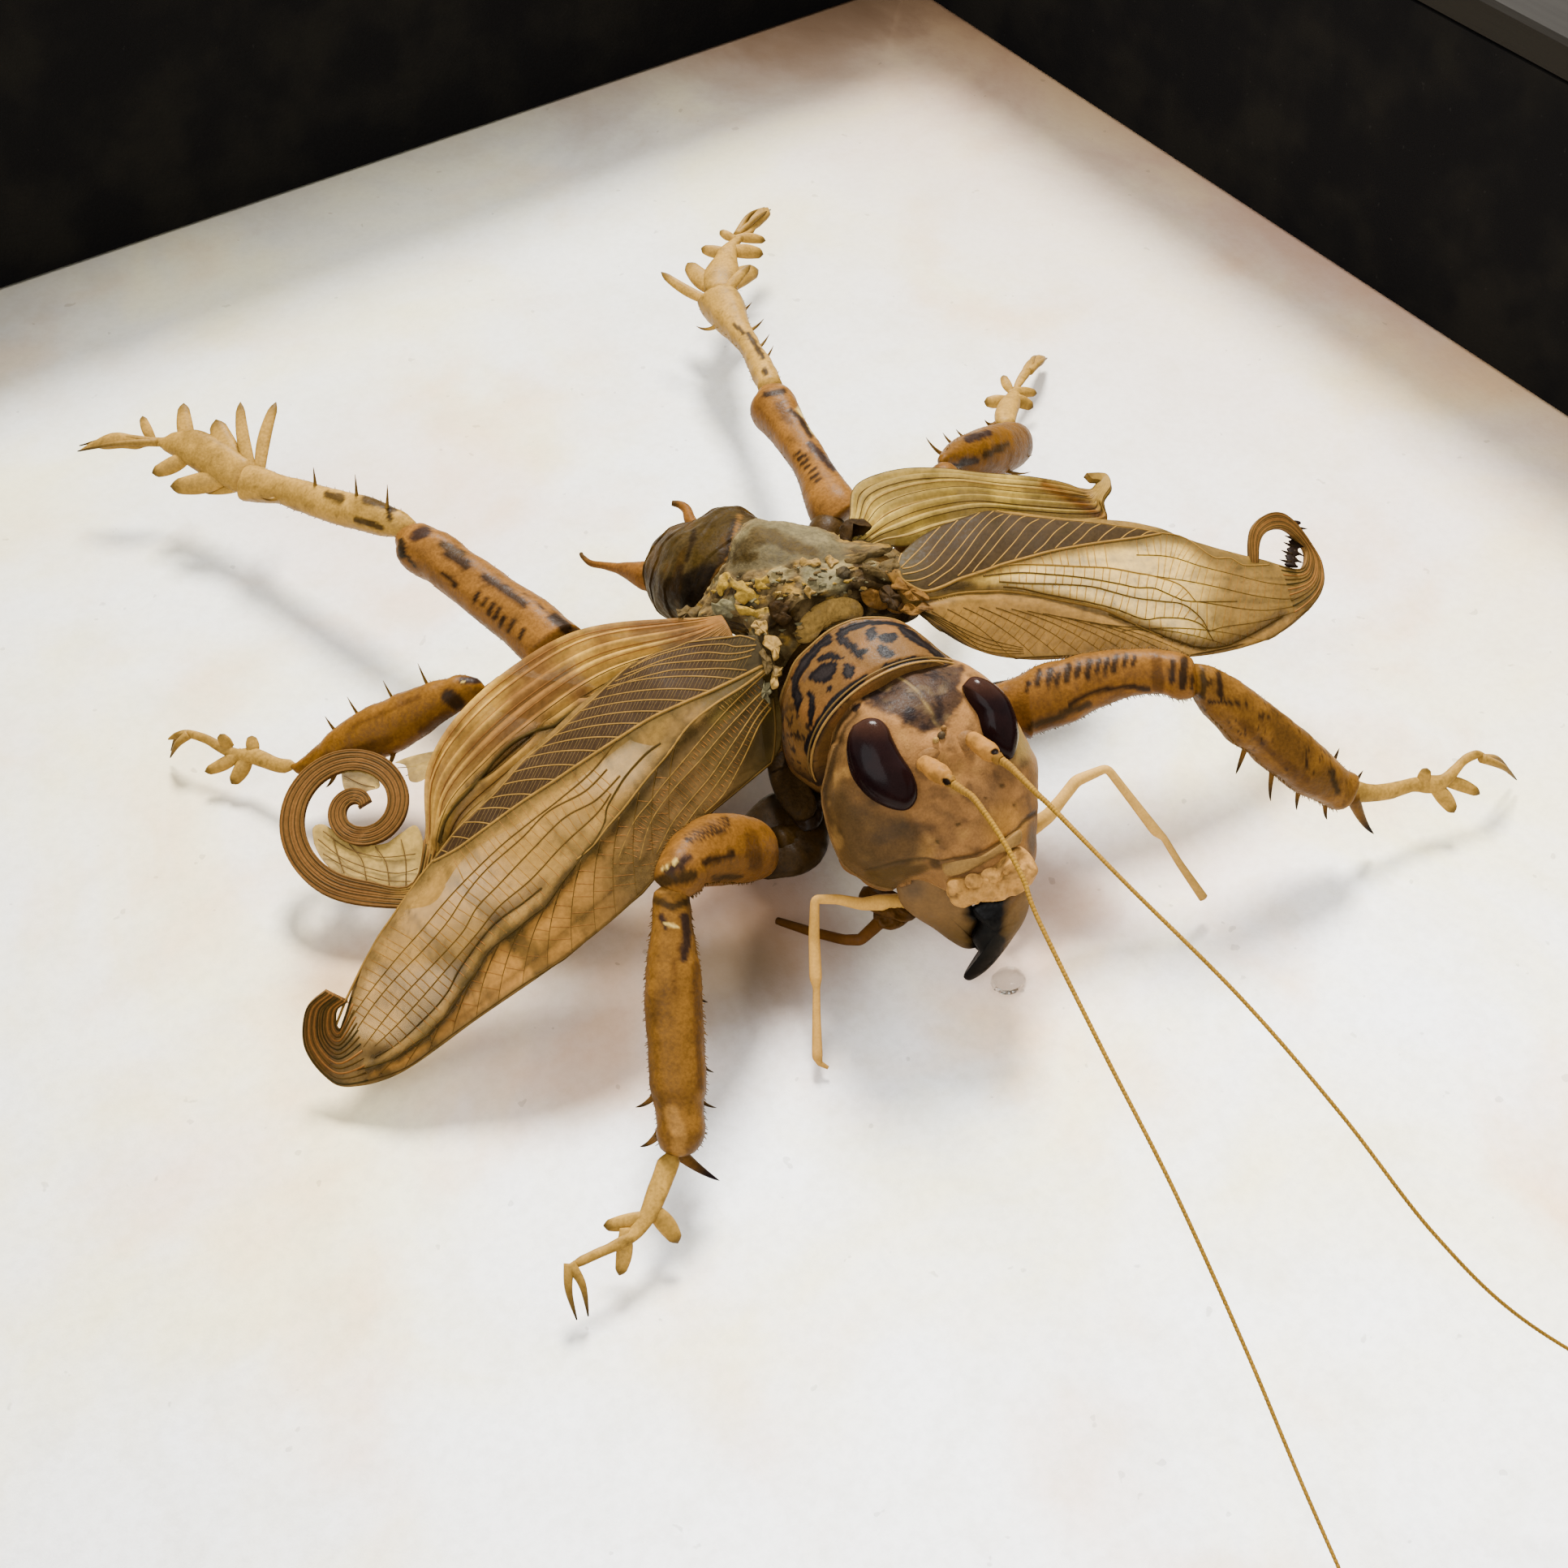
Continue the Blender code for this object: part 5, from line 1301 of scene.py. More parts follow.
def hindwing_right():
    wing = Wing("hindwing_right", WING_ROWS + 95)
    wave = pleat(wing, 8.0, 0.7, 0.3)
    ridge = np.exp(-(to_line(wing.pixels, RH_FOLD) / 6) ** 2) * 0.5
    wing.sheet = wing.sheet + wing.normal * ridge.reshape(wing.sheet.shape[:2])[..., None]
    wing.settle()
    px = wing.pixels
    pleat_shade = np.tile(ease(-wave, 0.15, 0.5), len(wing.sheet))
    paint = np.tile(tone(210, 174, 122), (len(px), 1))
    paint = stain(paint, (238, 220, 178), px, 50, 4, -0.2, 0.8, 0.6)
    # Painted shade in the pleats' grooves.
    paint = lay(paint, tone(158, 112, 64), pleat_shade * 0.4)
    paint = lay(paint, tone(228, 206, 160), leftward(px, *RH_PALE_COLUMNS)
                * ease(px[:, 1], *RH_PALE_ROWS) * 0.5)
    # Dark band along the fold: the wing's own brown with painted shade in the crease.
    paint = lay(paint, tone(108, 68, 30), np.exp(-(to_line(px, RH_FOLD) / 7) ** 2))
    paint = stain(paint, (120, 84, 40), px, 12, 14, 0.3, 0.9, 0.4)
    coil = ease(wing.run, 0.20, 0.26)[:, None].repeat(WING_COLUMNS, 1).ravel()
    streaks = np.tile(ease(np.sin(wing.share * 40), 0.0, 0.8), len(wing.sheet))
    paint = lay(paint, tone(198, 150, 94), coil)
    paint = lay(paint, tone(146, 98, 52), coil * streaks * 0.6)
    alpha = np.maximum(0.88, coil)
    shape = Shape()
    wing.membrane(shape, np.hstack([paint, alpha[:, None]]))
    for column in np.linspace(0.03, 0.97, 19):
        wing.rib(shape, column, 0.0, 0.22, 0.045, VEIN_PALE if int(column * 40) % 2 else VEIN_BROWN)
    for column in np.linspace(0.0, 1.0, 9):
        colour = tone(140, 94, 50) if int(column * 8.01) % 2 else tone(190, 142, 84)
        wing.rib(shape, column, 0.20, 1.0, 0.075, colour)
    wing.vein(shape, RH_FOLD, 0.16, VEIN_DARK, 0.2)
    coil_fill(shape)
    make_piece("hindwing_right_fan", shape, wing_finishes("hindwing_right"),
               ["hindwing_right"])

# Line of the left hindwing's rusty paint, in pixels
LH_RUST_LINE = [(1287, 598), (1328, 618), (1369, 644)]


def hindwing_left():
    wing = Wing("hindwing_left")
    wave = pleat(wing, 7.0, 0.65, 0.6)
    px = wing.pixels
    pleat_shade = np.tile(ease(-wave, 0.15, 0.5), len(wing.sheet))
    paint = np.tile(tone(216, 196, 146), (len(px), 1))
    paint = stain(paint, (236, 222, 182), px, 40, 6, -0.2, 0.8, 0.6)
    # Painted shade in the pleats' grooves.
    paint = lay(paint, tone(176, 144, 96), pleat_shade * 0.4)
    rust_line = to_line(px, LH_RUST_LINE)
    far_part = ease(wing.run, 0.5, 0.7)[:, None].repeat(WING_COLUMNS, 1).ravel()
    paint = lay(paint, tone(196, 116, 40), np.exp(-(rust_line / 7) ** 2) * 0.85)
    paint = lay(paint, tone(194, 144, 80), far_part * 0.7)
    paint = stain(paint, (120, 84, 40), px, 12, 16, 0.3, 0.9, 0.35)
    alpha = np.full(len(px), 0.92)
    shape = Shape()
    wing.membrane(shape, np.hstack([paint, alpha[:, None]]))
    for column in np.linspace(0.0, 1.0, 17):
        wing.rib(shape, column, 0.0, 1.0, 0.045, VEIN_BROWN if int(column * 16.01) % 3 else VEIN_GOLD)
    make_piece("hindwing_left_fan", shape, wing_finishes("hindwing_left"),
               ["hindwing_left"])


# Legs

# Edges of each limb's thigh, shin and foot as pixels, root first, upper or left edge before the other
LIMB_EDGES = {
    "foreleg_right": [([(934, 1020), (925, 1014), (915, 1009), (900, 1005), (885, 1005), (868, 1007),
        (855, 1010), (842, 1020), (830, 1030), (822, 1040), (811, 1060), (806, 1078), (807, 1092)],
        [(936, 1078), (928, 1086), (910, 1088), (890, 1086), (875, 1087), (867, 1090), (864, 1096),
        (858, 1100), (852, 1104), (846, 1107)]),
        ([(812, 1086), (806, 1098), (804, 1109), (804, 1125), (803, 1140), (800, 1162), (797, 1184),
        (795, 1206), (794, 1235), (796, 1262), (798, 1289), (800, 1317), (802, 1340), (805, 1356),
        (808, 1370), (810, 1384), (809, 1400), (815, 1417), (824, 1425)],
        [(845, 1086), (849, 1098), (850, 1110), (852, 1125), (853, 1140), (857, 1160), (861, 1185),
        (864, 1210), (866, 1240), (868, 1270), (869, 1300), (870, 1320), (870, 1345), (867, 1360),
        (869, 1390), (866, 1405), (860, 1415), (850, 1424), (842, 1427)]),
        ([(813, 1418), (806, 1440), (797, 1465), (789, 1490), (782, 1505), (770, 1519), (750, 1531),
        (728, 1541), (712, 1549), (700, 1560)],
        [(842, 1420), (834, 1445), (825, 1468), (815, 1490), (804, 1508), (788, 1526), (768, 1538),
        (745, 1548), (725, 1557), (707, 1566)])],
    "foreleg_left": [([(1200, 852), (1216, 846), (1236, 840), (1255, 832), (1270, 823), (1290, 816),
        (1310, 812), (1330, 806), (1350, 803), (1380, 800), (1420, 800), (1450, 803), (1467, 810),
        (1477, 820)], [(1206, 896), (1222, 896), (1240, 899), (1254, 904), (1268, 910), (1273, 906),
        (1290, 900), (1313, 893), (1330, 886), (1345, 877), (1360, 870), (1380, 862), (1400, 858),
        (1420, 856), (1435, 857), (1445, 861), (1458, 863), (1470, 860), (1480, 850)]),
        ([(1462, 814), (1470, 817), (1485, 820), (1500, 826), (1515, 834), (1530, 845), (1545, 855),
        (1560, 866), (1580, 882), (1600, 898), (1620, 914), (1632, 925), (1642, 935), (1653, 946),
        (1665, 952), (1674, 960)], [(1468, 857), (1478, 862), (1485, 872), (1493, 885), (1505, 897),
        (1515, 908), (1522, 917), (1533, 923), (1545, 930), (1555, 942), (1567, 952), (1580, 962),
        (1592, 972), (1605, 980), (1618, 985), (1632, 992), (1646, 998), (1658, 990)]),
        ([(1664, 960), (1690, 966), (1715, 964), (1740, 958), (1758, 955), (1776, 954), (1790, 943),
        (1804, 930), (1818, 924), (1830, 925)],
        [(1656, 990), (1690, 988), (1715, 984), (1740, 976), (1758, 978), (1776, 975), (1790, 962),
        (1804, 944), (1818, 936), (1830, 934)])],
    "midleg_right": [None, ([(600, 838), (587, 835), (573, 832), (563, 832), (553, 836), (540, 838),
        (532, 840), (520, 845), (507, 850), (490, 855), (478, 862), (460, 868), (443, 877), (430, 885),
        (420, 893), (407, 903), (398, 913), (388, 922), (380, 929), (370, 936), (360, 939)],
        [(596, 862), (580, 867), (560, 880), (540, 893), (523, 907), (500, 922), (482, 930), (465, 936),
        (440, 944), (420, 950), (400, 953), (380, 954), (366, 953), (357, 949)]),
        ([(368, 936), (345, 934), (325, 925), (310, 921), (292, 922), (270, 912), (250, 903), (226, 899),
        (206, 908)], [(360, 953), (340, 952), (322, 946), (306, 940), (290, 937), (268, 926), (250, 915),
        (226, 909), (208, 914)])],
    "midleg_left": [None, ([(1158, 564), (1164, 557), (1172, 547), (1185, 537), (1200, 531), (1222, 523),
        (1240, 521), (1251, 525)], [(1157, 573), (1170, 576), (1185, 578), (1196, 584), (1212, 587),
        (1230, 586), (1244, 580), (1255, 570)]),
        ([(1228, 528), (1225, 512), (1229, 500), (1238, 489), (1248, 477), (1252, 467), (1258, 457),
        (1265, 446), (1275, 439), (1285, 436)],
        [(1250, 528), (1253, 512), (1257, 500), (1257, 489), (1256, 480), (1262, 472), (1268, 464),
        (1275, 456), (1284, 450), (1290, 443)])],
    "hindleg_right": [([(725, 782), (712, 772), (700, 764), (690, 755), (675, 742), (660, 733),
        (645, 724), (632, 715), (620, 706), (605, 695), (592, 688), (580, 680), (572, 672), (560, 664),
        (545, 658), (532, 651), (520, 648)], [(665, 832), (650, 820), (637, 807), (625, 795), (610, 782),
        (595, 770), (580, 758), (565, 745), (550, 733), (535, 722), (522, 711), (507, 704), (497, 698),
        (492, 690), (491, 680), (489, 670), (492, 660)]),
        ([(520, 650), (507, 638), (498, 631), (490, 627), (480, 622), (470, 617), (455, 612), (440, 609),
        (420, 604), (400, 600), (385, 595), (370, 591), (350, 586), (335, 580), (322, 575), (308, 574),
        (298, 580)], [(510, 666), (490, 662), (475, 660), (462, 659), (440, 653), (420, 648), (400, 642),
        (380, 635), (360, 628), (345, 621), (330, 619), (310, 618), (297, 616), (290, 608)]),
        ([(322, 576), (300, 560), (280, 546), (262, 536), (245, 530), (230, 531), (215, 533), (205, 538),
        (195, 539), (165, 536), (145, 533), (130, 536), (115, 544), (95, 555)],
        [(300, 614), (285, 604), (265, 594), (245, 583), (230, 573), (215, 563), (203, 556), (195, 550),
        (180, 551), (168, 554), (150, 553), (130, 554), (115, 552), (96, 558)])],
    "hindleg_left": [([(1010, 668), (1001, 646), (996, 635), (990, 615), (985, 597), (975, 577),
        (962, 557), (950, 540), (937, 525), (927, 515), (925, 507), (930, 498), (934, 484)],
        [(1066, 624), (1052, 607), (1040, 592), (1027, 575), (1015, 555), (1002, 537), (992, 517),
        (985, 502), (976, 489), (966, 480)]), ([(936, 488), (932, 475), (926, 464), (921, 452),
        (915, 437), (907, 425), (901, 419), (892, 410), (880, 400), (871, 390), (863, 382), (860, 372),
        (866, 364)], [(966, 478), (960, 462), (955, 454), (949, 444), (940, 432), (935, 422), (930, 412),
        (925, 402), (921, 390), (920, 382), (916, 370), (906, 362), (894, 358)]),
        ([(868, 368), (868, 355), (866, 342), (872, 330), (880, 320), (884, 311), (892, 304), (904, 296),
        (912, 285), (919, 272), (930, 261), (942, 254)],
        [(908, 366), (910, 345), (911, 335), (909, 322), (908, 311), (911, 300), (918, 292), (927, 288),
        (932, 281), (940, 275), (949, 265), (950, 257)])],
}


def limb(shape, joints, edges, flat, paint_by, sides=56, rows=150, seed=0, lumps=0.05, square=0.85,
         back=0.0):
    """A limb part whose outline follows two traced edges, at the depths of a chain of joints."""
    first, second = (route(np.array(edge, float), rows) for edge in edges)
    chain = np.vstack([a + (b - a) * np.linspace(0, 1, 60)[:, None] for a, b in zip(joints, joints[1:])])
    chain_px = photo(chain)
    middle = (first + second) / 2
    near = np.argmin(np.linalg.norm(middle[:, None] - chain_px[None], axis=2), axis=1)
    depth = ((chain[near] - CAMERA_PLACE) @ FORWARD)
    kernel = np.hanning(17)
    kernel /= kernel.sum()
    depth = np.convolve(np.pad(depth, 8, mode="edge"), kernel, "valid") + back
    ways = np.array([ray(pixel) for pixel in middle])
    path = CAMERA_PLACE + ways * (depth / (ways @ FORWARD))[:, None]
    gap = first - second
    half = np.linalg.norm(gap, axis=1) / 2 * depth / CAMERA_FOCAL
    across = unit(RIGHT * gap[:, :1] - ABOVE * gap[:, 1:2])
    along = unit(np.gradient(path, axis=0))
    toward = unit(np.cross(across, along))
    toward *= -np.sign((toward @ FORWARD))[:, None]
    steps = np.arange(rows)
    close = np.sqrt(np.clip(np.minimum(steps + 0.2, rows - 0.8 - steps) / 5, 0, 1))
    angle = np.arange(sides) * TAU / sides
    wide = np.sign(np.cos(angle)) * np.abs(np.cos(angle)) ** square
    high = np.sign(np.sin(angle)) * np.abs(np.sin(angle)) ** square
    ring = (path[:, None] + across[:, None] * ((half * close)[:, None] * wide)[..., None]
            + toward[:, None] * ((half * close * flat)[:, None] * high)[..., None])
    points = ring.reshape(-1, 3)
    out = unit(points - np.repeat(path, sides, axis=0))
    points = points + out * (cloud(points, 1.6, seed) * lumps + cloud(points, 0.35, seed + 1, 2) * lumps
            * 0.3)[:, None]
    shape.grid(points.reshape(ring.shape), paint_by(points, np.repeat(np.linspace(0, 1, rows), sides), out),
               wrap=True, caps=True)
    return path, across, toward, half


def fringe(shape, path, across, half, rng, count, length, colour, low=0.1, high=0.95):
    """Short stiff hairs along both edges of a limb part."""
    for sign in (-1, 1):
        for share in np.linspace(low, high, count):
            k = int(share * (len(path) - 2))
            along = unit(path[k + 1] - path[k])
            foot = path[k] + across[k] * sign * half[k] * 0.97
            lean = rng.uniform(0.4, 1.4)
            tip = foot + unit(across[k] * sign + along * lean + UP
                    * rng.uniform(-0.4, 0.4)) * length * rng.uniform(0.6, 1.3)
            spike(shape, foot, tip, 0.03, colour, colour, 0.0, 3, 2)


LEG_JOINTS = {
    "foreleg_right": [(12.1, -0.8, 6.0), (15.3, -1.0, 7.2), (23.4, 1.0, 14.2), (32.1, 12.5, 4.6),
        (35.1, 14.9, 3.4), (40.6, 14.9, 3.2), (41.3, 17.2, 0.8)],
    "foreleg_left": [(-1.9, -0.8, 7.4), (-7.6, 2.4, 12.6), (-14.3, 8.0, 14.5), (-23.2, 17.2, 4.6),
        (-29.4, 18.8, 3.4), (-33.9, 19.6, 4.2), (-37.6, 20.8, 0.9)],
    "midleg_right": [(10.8, -12.4, 5.6), (17.0, -16.4, 7.8), (23.4, -23.1, 8.6), (36.4, -28.8, 3.6),
        (38.6, -32.6, 2.8), (41.5, -36.8, 2.8), (43.0, -37.6, 0.9)],
    "midleg_left": [(-1.6, -12.6, 6.0), (-8.6, -16.4, 9.6), (-16.6, -21.5, 10.8), (-29.7, -29.1, 4.2),
        (-33.4, -33.1, 3.0), (-37.8, -35.1, 2.6), (-41.9, -37.6, 0.9)],
    "hindleg_right": [(9.2, -16.0, 6.4), (16.9, -22.4, 9.0), (21.2, -41.2, 9.0), (26.6, -55.9, 6.4),
        (29.1, -61.6, 6.2), (30.8, -64.9, 6.0), (36.3, -68.6, 5.4)],
    "hindleg_left": [(-0.6, -17.8, 6.4), (-7.2, -23.8, 9.2), (-11.5, -39.1, 9.0), (-17.7, -54.7, 6.4),
        (-22.8, -60.7, 6.2), (-25.3, -62.9, 6.0), (-30.6, -65.4, 5.6)],
}

# Half widths, sideways and upwards, at shares of each segment: hip, thigh, shin, then the foot's parts
LEG_GIRTH = {
    "foreleg": [[(0, 1.0, 1.2), (0.3, 1.6, 1.9), (0.8, 1.5, 1.8), (1, 0.9, 1.0)],
        [(-0.06, 0.5, 0.6), (0.0, 1.3, 1.6), (0.2, 1.7, 2.1), (0.6, 1.6, 1.95), (0.92, 1.35, 1.6),
        (1.06, 0.5, 0.6)], [(-0.05, 0.5, 0.5), (0.0, 1.1, 1.2), (0.12, 1.25, 1.35), (0.4, 1.7, 1.9),
        (0.75, 1.8, 1.9), (0.93, 1.45, 1.4), (1.02, 0.7, 0.6)],
        [(-0.05, 0.3, 0.3), (0.1, 0.5, 0.5), (0.8, 0.75, 0.65), (1.0, 0.4, 0.4)],
        [(0.0, 0.3, 0.3), (0.15, 0.45, 0.45), (0.6, 0.5, 0.45), (1.0, 0.42, 0.4)]],
    "midleg": [[(0, 0.9, 1.0), (0.3, 1.4, 1.7), (0.8, 1.4, 1.7), (1, 0.9, 1.0)],
        [(-0.06, 0.5, 0.6), (0.0, 1.2, 1.5), (0.2, 1.5, 1.9), (0.6, 1.4, 1.7), (0.92, 1.3, 1.5),
        (1.06, 0.5, 0.6)], [(-0.05, 0.5, 0.6), (0.0, 1.1, 1.3), (0.15, 1.4, 1.7), (0.4, 1.8, 2.2),
        (0.7, 1.7, 2.0), (0.93, 0.9, 1.0), (1.02, 0.5, 0.5)],
        [(-0.05, 0.3, 0.3), (0.1, 0.45, 0.45), (0.85, 0.75, 0.7), (1.0, 0.4, 0.4)],
        [(0.0, 0.3, 0.3), (0.15, 0.45, 0.45), (0.6, 0.5, 0.45), (1.0, 0.42, 0.4)]],
    "hindleg": [[(0, 1.0, 1.2), (0.3, 1.7, 2.0), (0.8, 1.8, 2.2), (1, 1.1, 1.3)],
        [(-0.04, 0.7, 0.9), (0.02, 1.7, 2.1), (0.15, 1.95, 2.4), (0.5, 1.8, 2.2), (0.9, 1.55, 1.95),
        (0.98, 1.3, 1.6), (1.03, 0.5, 0.6)], [(-0.05, 0.4, 0.5), (0.0, 1.05, 1.15), (0.1, 1.0, 1.1),
        (0.5, 0.95, 1.1), (0.85, 1.1, 1.2), (0.97, 0.9, 0.9), (1.03, 0.4, 0.4)],
        [(-0.05, 0.4, 0.3), (0.2, 0.9, 0.6), (0.8, 1.0, 0.6), (1.0, 0.5, 0.4)],
        [(0.0, 0.4, 0.3), (0.2, 0.7, 0.5), (0.7, 0.6, 0.5), (1.0, 0.5, 0.4)]],
}

LEG_SPINES = {
    "foreleg_right": [(0.80, 180, 28, 2.3), (0.95, 205, 25, 2.1), (0.40, 320, 30, 3.1),
        (0.62, 330, 34, 3.6), (0.76, 330, 28, 3.7), (0.88, 320, 22, 3.3)],
    "foreleg_left": [(0.35, 310, 18, 4.0), (0.50, 318, 28, 4.4), (0.68, 307, 30, 3.7),
        (0.84, 303, 38, 3.1), (0.80, 150, 0, 2.2), (0.94, 152, 14, 2.1)],
    "midleg_right": [(0.25, 126, 4, 3.7), (0.42, 125, 8, 3.5), (0.60, 125, 11, 3.4),
        (0.74, 127, 14, 2.7), (0.50, 345, 25, 3.2), (0.80, 345, 30, 2.8)],
    "midleg_left": [(0.20, 160, -8, 3.3), (0.40, 166, 4, 2.9), (0.60, 172, 2, 2.6),
        (0.92, 155, -35, 1.8), (0.50, 342, 25, 5.0), (0.65, 347, 34, 4.4), (0.85, 353, 28, 2.7)],
    "hindleg_right": [(0.08, 106, -10, 3.7), (0.27, 105, -5, 3.6), (0.55, 104, -4, 3.0),
        (0.75, 20, 10, 2.4)],
    "hindleg_left": [(0.30, 13, 34, 3.1), (0.45, 10, 28, 3.1), (0.65, 15, 8, 2.9), (0.85, 17, 6, 2.6),
        (0.80, 196, 20, 2.9)],
}

LEG_LEAVES = {
    "foreleg_right": [(2, 0.98, 340, 34, 4.1, 0.3), (4, 0.05, 187, 68, 2.5, 0.5),
        (3, 0.92, 327, 30, 2.8, 0.6), (4, 0.30, 317, 35, 2.8, 0.5)],
    "foreleg_left": [(2, 0.97, 285, 72, 4.2, 0.3), (4, 0.05, 323, 15, 2.7, 0.6),
        (4, 0.20, 311, 48, 3.6, 0.5), (3, 0.92, 110, 0, 1.5, 0.5)],
    "midleg_right": [(4, 0.02, 321, 15, 2.6, 0.6), (4, 0.12, 328, 46, 3.2, 0.5),
        (3, 0.90, 130, 20, 1.4, 0.5), (4, 0.30, 101, 40, 1.3, 0.45)],
    "midleg_left": [(3, 0.92, 186, -14, 2.0, 0.6), (3, 0.95, 339, 14, 2.7, 0.6),
        (4, 0.10, 336, 56, 3.2, 0.5), (4, 0.20, 158, 37, 1.9, 0.45)],
    "hindleg_right": [(2, 0.97, 331, 64, 5.4, 0.35), (2, 0.98, 137, 38, 7.0, 0.55),
        (2, 0.95, 151, 22, 7.2, 0.55), (3, 0.15, 146, 56, 5.9, 1.0), (3, 0.30, 339, 54, 5.6, 0.9),
        (4, 0.05, 150, 38, 4.8, 0.7), (4, 0.10, 342, 38, 3.5, 0.7), (5, 0.05, 145, 22, 2.5, 0.45)],
    "hindleg_left": [(2, 0.97, 163, 49, 6.8, 0.5), (2, 0.97, 197, 68, 5.8, 0.3),
        (2, 0.97, 30, 35, 4.9, 0.5), (3, 0.20, 178, 50, 5.4, 0.9), (3, 0.20, 337, 62, 6.6, 1.0),
        (4, 0.05, 180, 0, 2.6, 0.6), (4, 0.05, 343, 34, 3.6, 0.7), (4, 0.80, 165, 10, 1.6, 0.45),
        (4, 0.80, 348, 27, 3.0, 0.5)],
}
SHIN = 2
SEGMENT_SIDES = 30
SEGMENT_ROWS = 60

GOLD = tone(200, 150, 78)
AMBER = tone(198, 146, 64)
STRAW = tone(222, 198, 144)
SPINE_DARK = tone(48, 22, 24)


def leg_axes(start, end, sign):
    """Along a leg's span, towards the insect's front, and away from the paper."""
    along = unit(end - start)
    front = unit(np.cross(UP, along) * sign)
    top = unit(np.cross(along, front) * sign)
    return along, front, top if top[2] > 0 else -top


def aim(axes, roll, lean):
    along, front, top = axes
    around = front * math.cos(math.radians(roll)) + top * math.sin(math.radians(roll))
    return around * math.cos(math.radians(lean)) + along * math.sin(math.radians(lean))


def girth(stations, rows):
    """Half widths at even shares from the first to the last station, with the corners eased."""
    table = np.array(stations, float)
    share = np.linspace(table[0, 0], table[-1, 0], rows)
    kernel = np.hanning(11)
    kernel /= kernel.sum()
    sizes = []
    for column in (1, 2):
        raw = np.interp(share, table[:, 0], table[:, column])
        padded = np.pad(raw, 5, mode="edge")
        size = np.convolve(padded, kernel, mode="valid")
        round_ends = np.sqrt(np.clip(np.minimum(np.arange(rows) + 0.3, rows - 0.7 - np.arange(rows)) / 5, 0,
                                     1))
        sizes.append(size * round_ends)
    return share, sizes[0], sizes[1]


def segment(shape, start, end, stations, paint_by, sides=SEGMENT_SIDES, rows=SEGMENT_ROWS, lumps=0.03,
            seed=0):
    """One limb segment: a lofted pod with uneven skin, painted by a function of its points."""
    share, wide, high = girth(stations, rows)
    path = start + (end - start) * share[:, None]
    ring = rings(path, wide, high, sides)
    flat = ring.reshape(-1, 3)
    centre = np.repeat(path, sides, axis=0)
    out = unit(flat - centre)
    flat = flat + out * (cloud(flat, 1.2, seed) * lumps)[:, None]
    shape.grid(flat.reshape(ring.shape), paint_by(flat, np.repeat(share, sides), out), wrap=True, caps=True)


def spike(shape, root, tip, half, base, tip_colour, sag=0.08, sides=8, rows=12):
    """A slightly curved spine that tapers to a point."""
    t = np.linspace(0, 1, rows)[:, None]
    length = np.linalg.norm(tip - root)
    path = root + (tip - root) * t - UP * (sag * length * 4 * t * (1 - t))
    size = half * (1 - t[:, 0]) ** 0.8 + 0.02
    blend = ease(t[:, 0], 0.35, 0.8)[:, None]
    up = UP if abs(unit(tip - root)[2]) < 0.8 else np.array([0.0, 1.0, 0.0])
    shape.tube(path, size, size, base * (1 - blend) + tip_colour * blend, sides, up)


def leaf(shape, root, tip, half, base, tip_colour, sides=14, rows=18, flat=0.5):
    """A blunt strap-shaped spur or pad with a darker end."""
    t = np.linspace(0, 1, rows)
    way = tip - root
    bow = unit(np.cross(way, FORWARD)) * 0.05 * np.linalg.norm(way)
    path = root + way * t[:, None] + bow * (4 * t * (1 - t))[:, None]
    width = half * (0.62 + 0.38 * np.sin(np.clip(t * 1.05, 0,
                                                 1) * math.pi)) * np.sqrt(np.clip((1.001 - t) * 9, 0, 1))
    width = np.maximum(width, 0.03)
    blend = ease(t, 0.72, 1.0)[:, None] * 0.85
    streak = (0.12 * cloud(path, 0.8, int(abs(tip[0]) * 10)))[:, None]
    shape.tube(path, width, width * flat, (base * (1 - blend) + tip_colour * blend) * (1 + streak), sides,
               up=-FORWARD)


def leg_paint(base, seed, marks=(), specks=0.0):
    """Paint for a limb part: clouds of tone, painted shade on the sides turned from the camera, then marks
    given as pixel strokes.
    """
    def paint_by(points, share, out):
        px = photo(points)
        paint = np.tile(base, (len(points), 1))
        paint = lay(paint, base * 0.50, ease(cloud(points, 2.2, seed), 0.0, 0.9) * 0.7)
        paint = lay(paint, base * 1.35, ease(cloud(points, 1.4, seed + 9), 0.2, 1.0) * 0.45)
        # Painted shade: darker on the sides that turn away from the camera.
        paint = lay(paint, base * 0.35, ease(-(out @ -FORWARD), -0.75, -0.1) * 0.35)
        paint = lay(paint, MARK_TONES["brown"], ease(cloud(points, 0.4, seed + 21, 2), 0.55, 0.9) * 0.35)
        rough = cloud(points, 0.45, seed + 4) * 1.4
        for colour, width, line in marks:
            gap = (np.linalg.norm(px - np.array(line[0]), axis=1) if len(line) == 1 else to_line(px,
                    line)) + rough
            strength = 0.65 if colour in ("rust", "cream") else 0.92
            paint = lay(paint, MARK_TONES[colour], ease(-gap, -width * 1.15 - 0.8,
                                                        -width * 0.75 + 0.4) * strength)
        if specks:
            spots = ease(cloud(points, 0.3, seed + 31, 2), 0.62 - specks * 0.3, 0.8 - specks * 0.3)
            paint = lay(paint, MARK_TONES["dark"], spots * 0.8
                    * ease(cloud(points, 2.5, seed + 33), -0.4, 0.2))
        return paint
    return paint_by


# Tones of the marks on the legs; the pale strokes are painted highlights
MARK_TONES = {
    "dark": tone(70, 38, 20), "plum": tone(66, 40, 42), "brown": tone(112, 66, 28),
    "rust": tone(146, 76, 30), "pale": tone(230, 216, 186), "cream": tone(220, 190, 138),
    "green": tone(44, 38, 26), "straw": tone(206, 160, 84),
}


